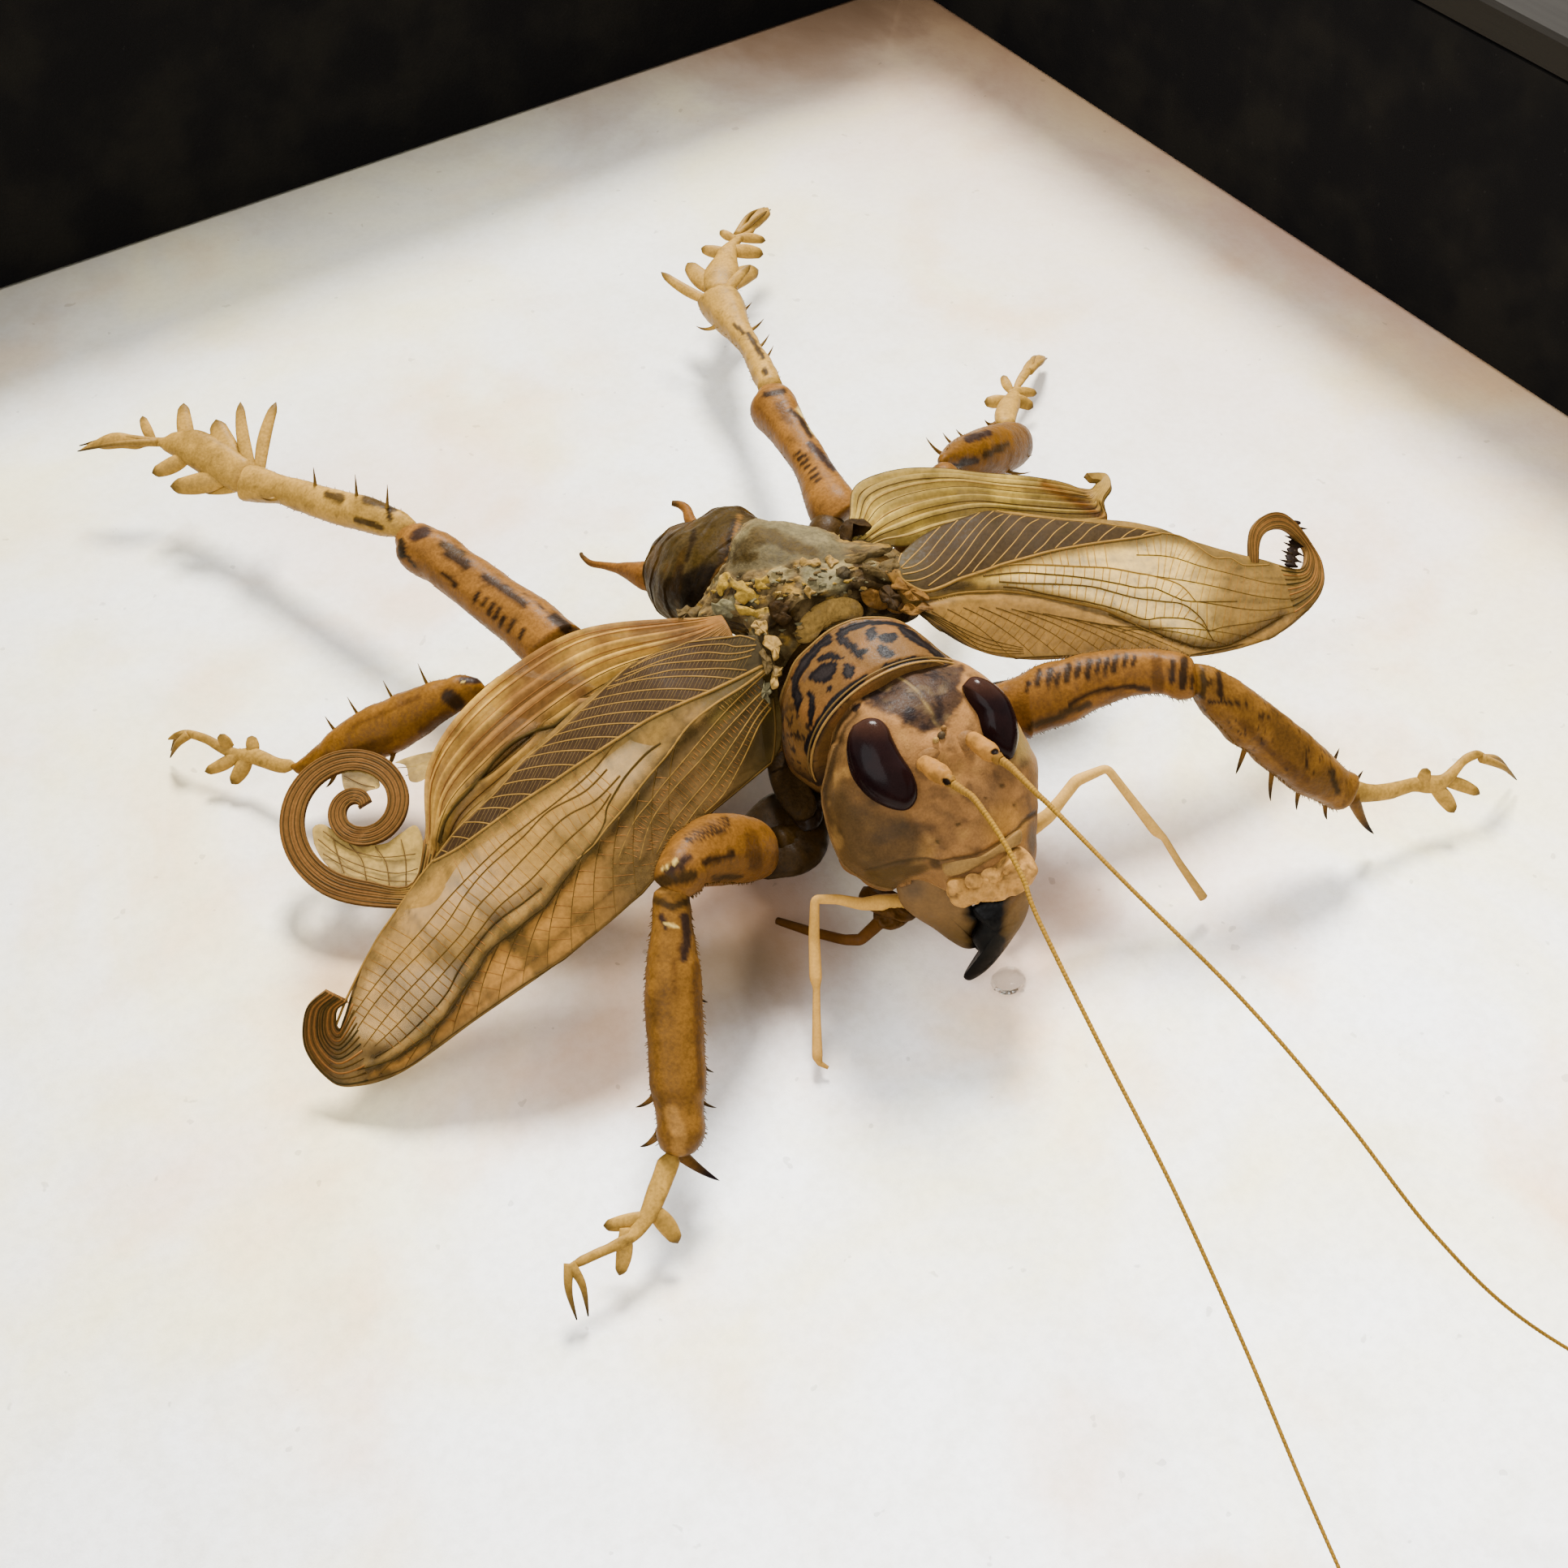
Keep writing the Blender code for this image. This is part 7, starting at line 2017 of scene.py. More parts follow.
def pronotum():
    rows, sides = 104, 210
    angles = np.arange(sides) * TAU / sides
    front = rim_ring(FRONT_RIM, angles)
    rear = rim_ring(REAR_RIM, angles)
    run = np.linspace(-0.06, 1.03, rows)
    middle = np.stack([front.mean(axis=0) * (1 - t) + rear.mean(axis=0) * t for t in run])
    ring = front[None] * (1 - run)[:, None, None] + rear[None] * run[:, None, None]
    close = np.sqrt(np.clip(np.minimum((run + 0.06) / 0.05, (1.03 - run) / 0.03), 0, 1))
    bulge = 1 + 0.05 * np.sin(np.clip(run, 0, 1) * math.pi)
    ring = middle[:, None] + (ring - middle[:, None]) * (close * bulge)[:, None, None]
    flat = ring.reshape(-1, 3)
    out = unit(flat - np.repeat(middle, sides, axis=0))
    run = np.repeat(run, sides)
    flat = fit_outline(flat, SADDLE_OUTLINE, 0.75)
    flat = flat + out * (cloud(flat, 1.6, 2) * 0.05 - np.exp(-((run - 0.09) / 0.03) ** 2) * 0.12
                         - np.exp(-((run - 0.93) / 0.03) ** 2) * 0.10)[:, None]
    px = photo(flat)
    seen = facing_camera(flat, out)
    paint = np.tile(tone(190, 142, 86), (len(flat), 1))
    paint = stain(paint, (210, 166, 108), flat, 2.4, 5, 0.0, 0.8, 0.6)
    rough = cloud(flat, 0.45, 7) * 1.6 + cloud(flat, 0.16, 8, 2) * 0.8
    side_lobe = ease(px[:, 1], *LOBE_ROWS) * leftward(px, *LOBE_COLUMNS)
    flecks = ease(cloud(flat, 0.5, 12, 3) + 0.25 * leftward(px, *FLECK_COLUMNS), 0.38, 0.55)
    paint = lay(paint, tone(70, 46, 38), flecks * side_lobe * seen * 0.9)
    hidden = ease(cloud(flat, 1.7, 23, 2), 0.1, 0.3) * (1 - seen)
    paint = lay(paint, tone(58, 40, 38), hidden * 0.9)
    for patch in SADDLE_PATCHES:
        inside = within(px, patch) + rough
        paint = lay(paint, tone(40, 30, 34), ease(inside, -1.2, 0.6) * seen)
        paint = lay(paint, tone(104, 84, 84), ease(inside, 2.5, 6.0) * seen * 0.55)
    paint = lay(paint, tone(14, 10, 10), ease(blotch(px, SADDLE_EYE, 6, 4.5, 0), 0, 0.4) * seen)
    paint = stain(paint, (120, 108, 110), flat, 0.9, 15, 0.6, 1.0, 0.35)
    shape = Shape()
    shape.grid(flat.reshape(ring.shape), paint, wrap=True, caps=True)
    turn = np.linspace(-0.35, math.pi + 0.75, 150)
    for rim, size, along, colour in ((FRONT_RIM, 0.09, 0.05, tone(214, 186, 138)),
                                     (FRONT_RIM, 0.07, -0.32, tone(190, 154, 100)),
                                     (REAR_RIM, 0.09, 0.0, tone(204, 172, 116))):
        path = rim_ring(rim, turn, 0.06) + np.array([0.0, 1.0, 0.0]) * along
        shape.tube(fit_outline(path, SADDLE_OUTLINE, 0.75) if rim is REAR_RIM else path, size, size * 0.8,
                   colour, 10)
    lobe = on_height(LOBE_FLAP, LOBE_FLAP_HEIGHTS)
    pillow(shape, lobe, -FORWARD, 0.25, 0.6, evenly(tone(178, 134, 82)))
    make_piece("pronotum_saddle", shape, [cuticle("pronotum_skin", 0.45, 0.02, 0.14, 0.14, 0.05)],
               ["pronotum"])


ABDOMEN_OUTLINE = [
    (822, 762), (810, 752), (801, 738), (795, 722), (793, 708), (795, 694), (800, 680), (806, 668),
    (815, 658), (828, 650), (845, 645), (857, 640), (868, 634), (880, 627), (895, 624), (912, 624),
    (924, 630), (940, 642), (955, 670), (950, 710), (925, 745), (900, 768), (860, 775),
]

# Strokes on the abdomen: tone, half width in pixels and the pixels they follow
ABDOMEN_MARKS = [
    ("grey", 14, [(905, 640), (925, 655), (935, 680)]),
    ("bark", 17, [(858, 690), (872, 655), (892, 638)]),
    ("umber", 4, [(905, 642), (900, 665), (896, 690)]),
    ("bark", 6, [(884, 640), (882, 670), (876, 695)]),
    ("grey", 5, [(846, 740), (846, 705), (852, 665), (862, 645)]),
    ("grey", 4, [(824, 745), (820, 718), (832, 680), (850, 655)]),
    ("umber", 8, [(824, 745), (826, 718)]),
    ("umber", 5, [(806, 735), (806, 715), (815, 695)]),
    ("ink", 15, [(856, 740), (858, 716), (872, 708)]),
    ("ink", 8, [(846, 745), (845, 714)]),
    ("rose", 6, [(816, 684), (821, 672)]),
    ("umber", 5, [(834, 735), (838, 700)]),
    ("bark", 5, [(812, 700), (826, 668), (842, 653)]),
    ("grey", 3, [(812, 752), (808, 730), (812, 705), (826, 684)]),
    ("umber", 3, [(846, 690), (856, 655)]),
    ("gold", 1.6, [(912, 634), (900, 681), (888, 702), (876, 725), (869, 750)]),
]

BODY_TONES = {
    "grey": tone(140, 98, 58), "umber": tone(72, 40, 16), "bark": tone(120, 76, 30),
    "ink": tone(46, 25, 10), "rose": tone(142, 108, 78), "gold": tone(196, 150, 84),
    "yellow": tone(214, 190, 120), "tan": tone(170, 134, 90), "mauve": tone(160, 146, 126),
    "ash": tone(190, 178, 156), "cream": tone(214, 190, 144), "chestnut": tone(112, 66, 34),
}

TRUNK_OUTLINE = [
    (895, 690), (905, 660), (925, 641), (945, 642), (975, 644), (1000, 648), (1022, 655), (1040, 667),
    (1062, 670), (1090, 675), (1108, 684), (1114, 700), (1112, 722), (1128, 742), (1132, 756),
    (1122, 768), (1090, 772), (1060, 800), (1010, 822), (985, 834), (962, 836), (940, 816),
    (925, 790), (905, 775), (872, 770), (852, 762), (868, 742), (884, 708),
]

DOME = [
    (893, 704), (903, 668), (925, 640), (945, 641), (975, 643), (1000, 647), (1022, 655), (1038, 671),
    (1046, 688), (1030, 698), (1000, 694), (985, 690), (965, 699), (935, 705), (905, 708),
]

# Strokes of tone over the torn trunk
TRUNK_MARKS = [
    ("grey", 10, [(916, 676), (928, 666)]),
    ("bark", 5, [(905, 690), (930, 684)]),
    ("grey", 9, [(930, 655), (1000, 680)]),
    ("ash", 13, [(1000, 712), (1030, 722)]),
    ("ash", 8, [(900, 745), (925, 738)]),
    ("ash", 6, [(885, 752), (895, 764)]),
    ("chestnut", 12, [(962, 742), (970, 765), (985, 778)]),
    ("umber", 7, [(952, 772), (965, 755)]),
    ("umber", 8, [(975, 820), (995, 800)]),
    ("chestnut", 10, [(1060, 700), (1075, 728), (1060, 745)]),
    ("umber", 6, [(1040, 715), (1058, 732), (1062, 758)]),
    ("umber", 5, [(1085, 715), (1110, 730)]),
    ("umber", 6, [(1080, 758), (1112, 764)]),
    ("gold", 8, [(1085, 695), (1102, 705)]),
    ("gold", 7, [(1072, 738), (1085, 742)]),
    ("umber", 5, [(885, 735), (905, 728), (925, 752)]),
    ("chestnut", 8, [(925, 800), (940, 822)]),
]

# Plates and flakes that lie on the trunk: tone, height of the bulge and outline
TRUNK_PLATES = [
    ("cream", 0.5, [(983, 792), (978, 779), (984, 765), (994, 754), (1006, 745), (1022, 738),
        (1040, 735), (1056, 740), (1064, 750), (1061, 761), (1046, 763), (1026, 769), (1011, 779),
        (998, 793)]),
    ("tan", 0.4, [(936, 770), (946, 777), (952, 786), (964, 792), (960, 802), (968, 812), (958, 822),
        (947, 812), (941, 800), (934, 786)]),
    ("yellow", 0.22, [(885, 712), (890, 706), (897, 705), (901, 712), (905, 718), (899, 728), (893, 727),
        (889, 735), (882, 725)]),
    ("yellow", 0.22, [(901, 711), (908, 716), (915, 715), (921, 723), (928, 726), (934, 733), (944, 734),
        (950, 742), (936, 746), (926, 740), (916, 745), (905, 736), (908, 728), (900, 722)]),
    ("yellow", 0.2, [(905, 745), (920, 748), (935, 752), (945, 748), (952, 756), (940, 764), (925, 758),
        (912, 757)]),
    ("yellow", 0.2, [(930, 712), (938, 713), (945, 710), (949, 724), (939, 726), (931, 724)]),
    ("tan", 0.35, [(1076, 702), (1082, 697), (1088, 691), (1104, 689), (1108, 704), (1103, 712),
        (1106, 720), (1096, 714), (1090, 716)]),
    ("tan", 0.3, [(1040, 690), (1060, 683), (1088, 677), (1101, 675), (1090, 683), (1070, 688),
        (1062, 694), (1045, 697)]),
    ("tan", 0.3, [(1062, 694), (1080, 700), (1095, 706), (1110, 706), (1112, 712), (1096, 716),
        (1078, 710), (1064, 704)]),
    ("chestnut", 0.5, [(1034, 651), (1045, 641), (1060, 639), (1073, 645), (1073, 653), (1066, 652),
        (1056, 648), (1047, 652), (1046, 660), (1050, 668), (1041, 673), (1035, 664)]),
    ("gold", 0.4, [(1060, 730), (1070, 724), (1082, 727), (1094, 732), (1098, 742), (1090, 751),
        (1076, 750), (1064, 742)]),
    ("gold", 0.35, [(1092, 742), (1104, 736), (1122, 738), (1140, 744), (1142, 752), (1124, 752),
        (1106, 756), (1094, 752)]),
    ("chestnut", 0.3, [(945, 745), (958, 740), (972, 748), (970, 756), (976, 762), (966, 772),
        (955, 765), (950, 760)]),
    ("ash", 0.3, [(876, 742), (884, 744), (890, 738), (900, 740), (908, 742), (915, 752), (905, 756),
        (900, 762), (882, 757)]),
    ("cream", 0.2, [(985, 690), (990, 686), (996, 689), (1008, 688), (1012, 694), (1004, 699),
        (998, 696), (988, 697)]),
    ("cream", 0.2, [(1016, 688), (1022, 684), (1027, 687), (1034, 692), (1028, 696), (1024, 700)]),
    ("rose", 0.25, [(1030, 700), (1040, 697), (1048, 704), (1042, 714), (1032, 710)]),
    ("cream", 0.2, [(990, 728), (994, 722), (999, 726), (1006, 730), (1000, 733), (998, 738)]),
    ("tan", 0.4, [(942, 812), (955, 818), (962, 830), (952, 836), (942, 828)]),
    ("ash", 0.4, [(958, 822), (970, 812), (975, 826), (970, 838), (960, 836)]),
]


def body_paint(paint, points, px, marks, seed, blur=1.0):
    rough = cloud(points, 0.6, seed) * 2.2 * blur
    for colour, width, line in marks:
        gap = to_line(px, line) + rough
        paint = lay(paint, BODY_TONES[colour], ease(-gap, -width * 1.25 - blur, -width * 0.6) * 0.88)
    return paint


def sheet_tree(grid):
    """A tree over a closed grid of places, for seating things on it."""
    rows, sides = grid.shape[:2]
    index = np.arange(rows * sides).reshape(rows, sides)
    right = np.roll(index, -1, axis=1)
    quads = np.stack([index[:-1], right[:-1], right[1:], index[1:]], axis=-1).reshape(-1, 4)
    return BVHTree.FromPolygons(grid.reshape(-1, 3).tolist(), quads.tolist())


def mottled(colour, seed):
    """A painter that breaks one colour with darker and paler clouds."""
    def paint_by(points):
        paint = np.tile(np.asarray(colour, float), (len(points), 1))
        paint = lay(paint, colour * 0.55, ease(cloud(points, 0.9, seed), 0.1, 0.7) * 0.6)
        return lay(paint, colour * 0.7 + 0.25 * colour.max(),
                   ease(cloud(points, 0.7, seed + 3), 0.2, 0.8) * 0.5)
    return paint_by


# The two tail feelers: pixels from root to tip, heights above the paper, half widths
CERCUS_ROUTES = [
    ([(815, 712), (795, 709), (770, 702), (745, 697), (728, 694), (718, 686), (716, 682)],
        [6.8, 6.4, 5.8, 5.0, 4.5, 4.4, 4.4], [1.3, 1.15, 0.75, 0.42, 0.3, 0.26, 0.16]),
    ([(868, 662), (856, 650), (850, 640), (846, 628), (838, 622), (828, 620)],
        [8.0, 8.0, 8.0, 8.0, 8.0, 8.0], [0.75, 0.6, 0.5, 0.42, 0.36, 0.22]),
]

# The strip's top end and its fall, in pixels
STRIP_TOP = (1594, 642)
STRIP_FALL = 56


def ring_strip(shape, rng):
    """A dark torn strip that hangs in the wing tip's ring."""
    height = 11.6
    count = 60
    t = np.linspace(0, 1, count)
    centre = np.stack([STRIP_TOP[0] + 3 * np.sin(t * 5), STRIP_TOP[1] + STRIP_FALL * t], axis=1)
    path = on_height(centre, np.full(count, height))
    size = 0.42 + 0.12 * np.sin(t * 40) + rng.normal(0, 0.03, count)
    shape.tube(path, size, size * 0.25, tone(64, 36, 26), 10, up=-FORWARD, slot=1)
    for k in range(4, count - 4, 5):
        side = unit(np.cross(path[k + 1] - path[k], FORWARD)) * (1 if k % 2 else -1)
        spike(shape, path[k], path[k] + side * 0.9, 0.14, tone(90, 54, 30), tone(54, 30, 20), 0.0, 6, 6)


def coil_fill(shape):
    """Pale veined skin caught between the coil's turns."""
    normal = unit(np.cross(unit(COIL_ACROSS), unit(COIL_RISE)))
    normal = normal if normal @ FORWARD < 0 else -normal

    def on_coil(pixels, lift):
        ways = np.array([ray(pixel) for pixel in pixels])
        reach = ((at(COIL_CENTRE) + normal * lift - CAMERA_PLACE) @ normal) / (ways @ normal)
        return CAMERA_PLACE + ways * reach[:, None]

    for outline, lift in COIL_SKINS:
        pillow(shape, on_coil(outline, lift), normal, 0.04, 0.04, skin_paint, 14, 0.5, 0.10, 1.2, 88)
    for line in COIL_SKIN_VEINS:
        path = on_coil(route(np.array(line, float), 40), 0.02)
        shape.tube(path, 0.035, 0.035, tone(186, 144, 92), 4, up=normal, slot=1)


def skin_paint(points):
    paint = np.tile(tone(224, 206, 168), (len(points), 1))
    paint = stain(paint, (186, 152, 104), points, 1.5, 90, 0.0, 0.8, 0.6)
    return np.hstack([paint, np.full((len(points), 1), 0.82)])


# Skins in the coil: outline in pixels and shift from the coil's plane
COIL_SKINS = [
    ([(387, 1040), (396, 1058), (412, 1074), (443, 1088), (478, 1098), (500, 1096), (515, 1084),
        (522, 1045), (514, 1018), (500, 1022), (488, 1034), (463, 1041), (436, 1038), (415, 1030),
        (400, 1016), (386, 1020)], -0.15),
    ([(420, 950), (440, 946), (462, 956), (468, 970), (452, 976), (436, 985), (424, 972)], -0.1),
    ([(486, 940), (500, 934), (520, 928), (546, 926), (536, 946), (520, 962), (505, 962), (500, 944)],
        0.6),
]

# Joints of limbs and wings with the trunk: piece, tone, height above the paper, bulge and outline
ROOT_PLATES = {
    "trunk": [("cream", 17.2, 0.3, [(925, 768), (934, 762), (943, 768), (946, 778), (938, 784),
        (930, 778)]), ("cream", 17.0, 0.3, [(940, 786), (952, 782), (962, 792), (966, 806), (958, 812),
        (948, 804)]), ("tan", 16.6, 0.3, [(936, 800), (948, 806), (954, 818), (950, 830), (942, 824),
        (936, 812)]), ("cream", 16.2, 0.3, [(952, 816), (964, 820), (962, 836), (954, 850), (948, 840),
        (950, 828)]), ("ash", 15.8, 0.25, [(940, 838), (948, 842), (950, 856), (944, 866), (938, 856)]),
        ("tan", 17.4, 0.25, [(1092, 690), (1104, 684), (1110, 694), (1106, 706), (1096, 704)]),
        ("gold", 17.2, 0.25, [(1098, 712), (1110, 708), (1122, 722), (1140, 730), (1146, 738),
        (1130, 740), (1112, 732), (1100, 724)]),
        ("chestnut", 17.2, 0.3, [(1084, 728), (1094, 722), (1104, 732), (1114, 740), (1108, 750),
        (1096, 746), (1086, 738)]), ("gold", 17.0, 0.25,
        [(1104, 752), (1118, 744), (1136, 746), (1150, 750), (1136, 756), (1118, 758)]),
        ("tan", 14.6, 0.25, [(836, 752), (850, 746), (862, 752), (860, 764), (846, 766), (836, 762)]),
        ("chestnut", 9.0, 1.2, [(938, 850), (955, 836), (975, 838), (985, 880), (988, 930), (1000, 970),
        (1006, 1000), (985, 1014), (958, 985), (944, 940), (938, 890)]),],
    "foreleg_right": [("chestnut", 7.0, 1.6, [(908, 1016), (930, 992), (955, 976), (985, 972),
        (1008, 985), (1020, 1010), (1022, 1038), (1012, 1062), (990, 1076), (960, 1082), (935, 1082),
        (915, 1062)]), ("plum", 8.2, 1.2, [(965, 960), (985, 948), (1004, 958), (1014, 985),
        (1012, 1012), (995, 1024), (975, 1010), (965, 985)]),],
    "foreleg_left": [("rust", 9.2, 1.4, [(1196, 852), (1220, 842), (1262, 836), (1292, 836), (1300, 862),
        (1296, 890), (1275, 902), (1240, 908), (1204, 892)]),],
}


def root_plates(shape, name, seed):
    tones = {**BODY_TONES, "plum": tone(84, 50, 34), "rust": tone(140, 86, 38)}
    rng = np.random.default_rng(seed)
    for k, (colour, height, bulge, outline) in enumerate(ROOT_PLATES.get(name, ())):
        dense = route(np.array(outline + outline[:1], float), 15)[:-1]
        ragged = dense + rng.normal(0, 2.0 if bulge < 1 else 0.6, dense.shape)
        ring = on_height(ragged, height + rng.normal(0, 0.15 if bulge < 1 else 0.0, len(ragged)))
        pillow(shape, ring, -FORWARD, bulge, bulge * 1.3, mottled(tones[colour], seed + k), 6, 0.5, 0.4,
               0.6, seed + k,
               points=41)


# Small torn chips on the trunk: how many, the pixels they lie between, and their distance from edges
CHIP_COUNT = 110
CHIP_SPAN = (868, 1108)
CHIP_FALL = (690, 800)
CHIP_MARGIN = 3

# The neck from the trunk into the saddle, which only shows from above: places and half sizes
NECK_ROUTE = [(4.9, -11.0, 10.8), (4.9, -7.0, 11.6), (4.95, -3.0, 12.4)]
NECK_STEPS = 40
NECK_HALF = (3.6, 3.8)

# Rows between which the dome turns pale, and a corner of the slanting line that chips stay above, in pixels
DOME_PALE_ROWS = (690, 650)
CHIP_CORNER = (1130, 700)


def thorax():
    rng = np.random.default_rng(31)
    ring = body_rings(THORAX, 150, 180)
    flat = fit_outline(ring.reshape(-1, 3), TRUNK_OUTLINE, 0.35)
    px = photo(flat)
    out = unit(flat - np.repeat(ring.mean(axis=1), ring.shape[1], axis=0))
    smooth = ease(within(px, DOME), -4, 6)
    torn = 1 - smooth * 0.96
    ridges = 1 - np.abs(cloud(flat, 1.5, 33, 4)) * 2
    fine = 1 - np.abs(cloud(flat, 0.5, 36, 3)) * 2
    flat = flat + out * ((cloud(flat, 2.2, 31, 4) * 0.40 + ridges * 0.24 + fine * 0.08) * torn
            + cloud(flat, 3.5, 32) * 0.10)[:, None]
    paint = np.tile(tone(186, 156, 116), (len(flat), 1))
    paint = stain(paint, (208, 194, 170), flat, 1.7, 34, 0.0, 0.5, 0.8)
    # Painted shade: darker brown in the hollows between the torn ridges.
    paint = lay(paint, tone(96, 64, 38), ease(-ridges, -0.3, 0.1) * 0.7)
    paint = stain(paint, (110, 76, 48), flat, 1.0, 35, 0.2, 0.6, 0.7)
    paint = stain(paint, (216, 190, 126), flat, 0.8, 37, 0.3, 0.6, 0.8)
    dome = lay(np.tile(tone(168, 144, 112), (len(flat), 1)), tone(196, 182, 160),
               upward(px, *DOME_PALE_ROWS) * 0.8)
    dome = stain(dome, (118, 92, 66), flat, 2.4, 38, 0.1, 0.8, 0.5)
    paint = paint * (1 - smooth[:, None]) + dome * smooth[:, None]
    paint = body_paint(paint, flat, px, TRUNK_MARKS, 39, 1.6)
    shape = Shape()
    shape.grid(flat.reshape(ring.shape), paint, wrap=True, caps=True)
    tree = sheet_tree(flat.reshape(ring.shape))
    for k, (colour, bulge, outline) in enumerate(TRUNK_PLATES):
        place, axis = seat(tree, outline, 0.3)
        pillow(shape, place, axis, bulge, 0.6, mottled(BODY_TONES[colour], 40 + k), 8, 0.6, 0.22, 0.6,
               300 + k, points=49)
    chips = 0
    while chips < CHIP_COUNT:
        pixel = np.array([rng.uniform(*CHIP_SPAN), rng.uniform(*CHIP_FALL)])
        on_dome = within(pixel[None], DOME)[0] > -CHIP_MARGIN
        near_edge = within(pixel[None], TRUNK_OUTLINE)[0] < 2 * CHIP_MARGIN
        too_low = pixel[1] > CHIP_CORNER[1] + (CHIP_CORNER[0] - pixel[0]) * 0.6
        if on_dome or near_edge or too_low:
            continue
        chips += 1
        turn = np.sort(rng.uniform(0, TAU, 8))
        size = rng.uniform(1.4, 4.6)
        reach = size * rng.uniform(0.35, 1.3, 8)
        outline = pixel + np.stack([np.cos(turn) * reach * 1.5, np.sin(turn) * reach * 0.7], axis=1)
        place, axis = seat(tree, outline, rng.uniform(0.05, 0.35), 0.3)
        colour = ("cream", "tan", "ash", "ash", "yellow", "tan")[rng.integers(6)]
        pillow(shape, place, unit(axis + rng.normal(0, 0.35, 3)), 0.05, 0.25,
               mottled(BODY_TONES[colour], 400), 4, 0.6, 0.06, 0.4,
               500 + chips, points=17)
    root_plates(shape, "trunk", 800)
    neck = route(at(NECK_ROUTE), NECK_STEPS)
    half = [np.full(NECK_STEPS, size) for size in NECK_HALF]
    shape.tube(neck, *half, np.tile(BODY_TONES["chestnut"], (NECK_STEPS, 1)), 40)
    make_piece("thorax_torn", shape, [cuticle("thorax_tissue_dry", 0.6, 0.1, 0.3, 0.25, 0.03)],
               ["thorax"])


def abdomen():
    ring = body_rings(ABDOMEN, 130, 150)
    rows, sides = ring.shape[:2]
    flat = fit_outline(ring.reshape(-1, 3), ABDOMEN_OUTLINE, 0.35)
    px = photo(flat)
    run = np.repeat(np.linspace(0, 1, rows), sides)
    out = unit(flat - np.repeat(ring.mean(axis=1), sides, axis=0))
    step = ((run * 5 + cloud(flat, 4.0, 40) * 0.3) % 1.0)
    flat = flat + out * (0.14 * (1 - step) - 0.07 + cloud(flat, 2.0, 41) * 0.16)[:, None]
    angle = np.tile(np.arange(sides) * TAU / sides, rows)
    paint = np.tile(tone(138, 84, 40), (len(flat), 1))
    stripe = np.sin(angle * 7 + cloud(flat, 4.0, 44) * 2.0)
    paint = lay(paint, tone(66, 38, 20), ease(stripe, 0.1, 0.8) * 0.6)
    paint = stain(paint, (150, 104, 60), flat, 1.8, 45, 0.1, 0.8, 0.5)
    paint = body_paint(paint, flat, px, ABDOMEN_MARKS, 47)
    shape = Shape()
    shape.grid(flat.reshape(ring.shape), paint, wrap=True, caps=True)
    for route_px, heights, sizes in CERCUS_ROUTES:
        path = route(on_height(route_px, heights), 50)
        size = np.interp(np.linspace(0, 1, 50), np.linspace(0, 1, len(sizes)), sizes)
        share = np.linspace(0, 1, 50)
        paint = lay(np.tile(tone(196, 142, 78), (50, 1)), tone(120, 84, 48), ease(share, 0.75, 1.0) * 0.8)
        shape.tube(path, size, size, paint, 24, up=-FORWARD)
    make_piece("abdomen_striped", shape, [cuticle("abdomen_skin", 0.5, 0.04, 0.25, 0.25, 0.025)],
               ["abdomen"])


def face_axes():
    top = at(FACE_TOP)
    foot = at(FACE_FOOT)
    down = unit(foot - top)
    side = unit(np.cross(down, UP))
    out = np.cross(side, down)
    return top, foot, down, side, out if out[2] > 0 else -out

# Swellings, spots, patches, painted light and painted shade of the face, in pixels
BROW_SWELL = (1163, 925)
FACE_SWELL = (1200, 985)
FACE_DIP = (1150, 1048)
FACE_SHADE_ROW = 900
FACE_SHADE_COLUMNS = (1130, 960)
FACE_LIT_SPOT = (1240, 1020)
FACE_HIGHLIGHT_SPOT = (1256, 915)
CHEEK_SHADE_PATCH = [(1012, 975), (1040, 950), (1060, 985), (1120, 1000), (1150, 1060), (1100, 1100), (1040, 1070)]
GENA_SHADE_ROWS = (1060, 960)
JAW_SPOT = (1153, 1066)
JAW_PATCH = [(1064, 1076), (1100, 1067), (1140, 1062), (1150, 1070), (1120, 1084), (1100, 1097), (1078, 1091)]
FAR_CHEEK_SHEEN = (1271, 1035)
FAR_CHEEK_DOT = (1272, 1003)
FACE_BEADS = (((1160, 906), 5, tone(150, 112, 84)),
              ((1163, 897), 3.5, tone(206, 170, 120)),
              ((1153, 912), 4, tone(214, 190, 150)))


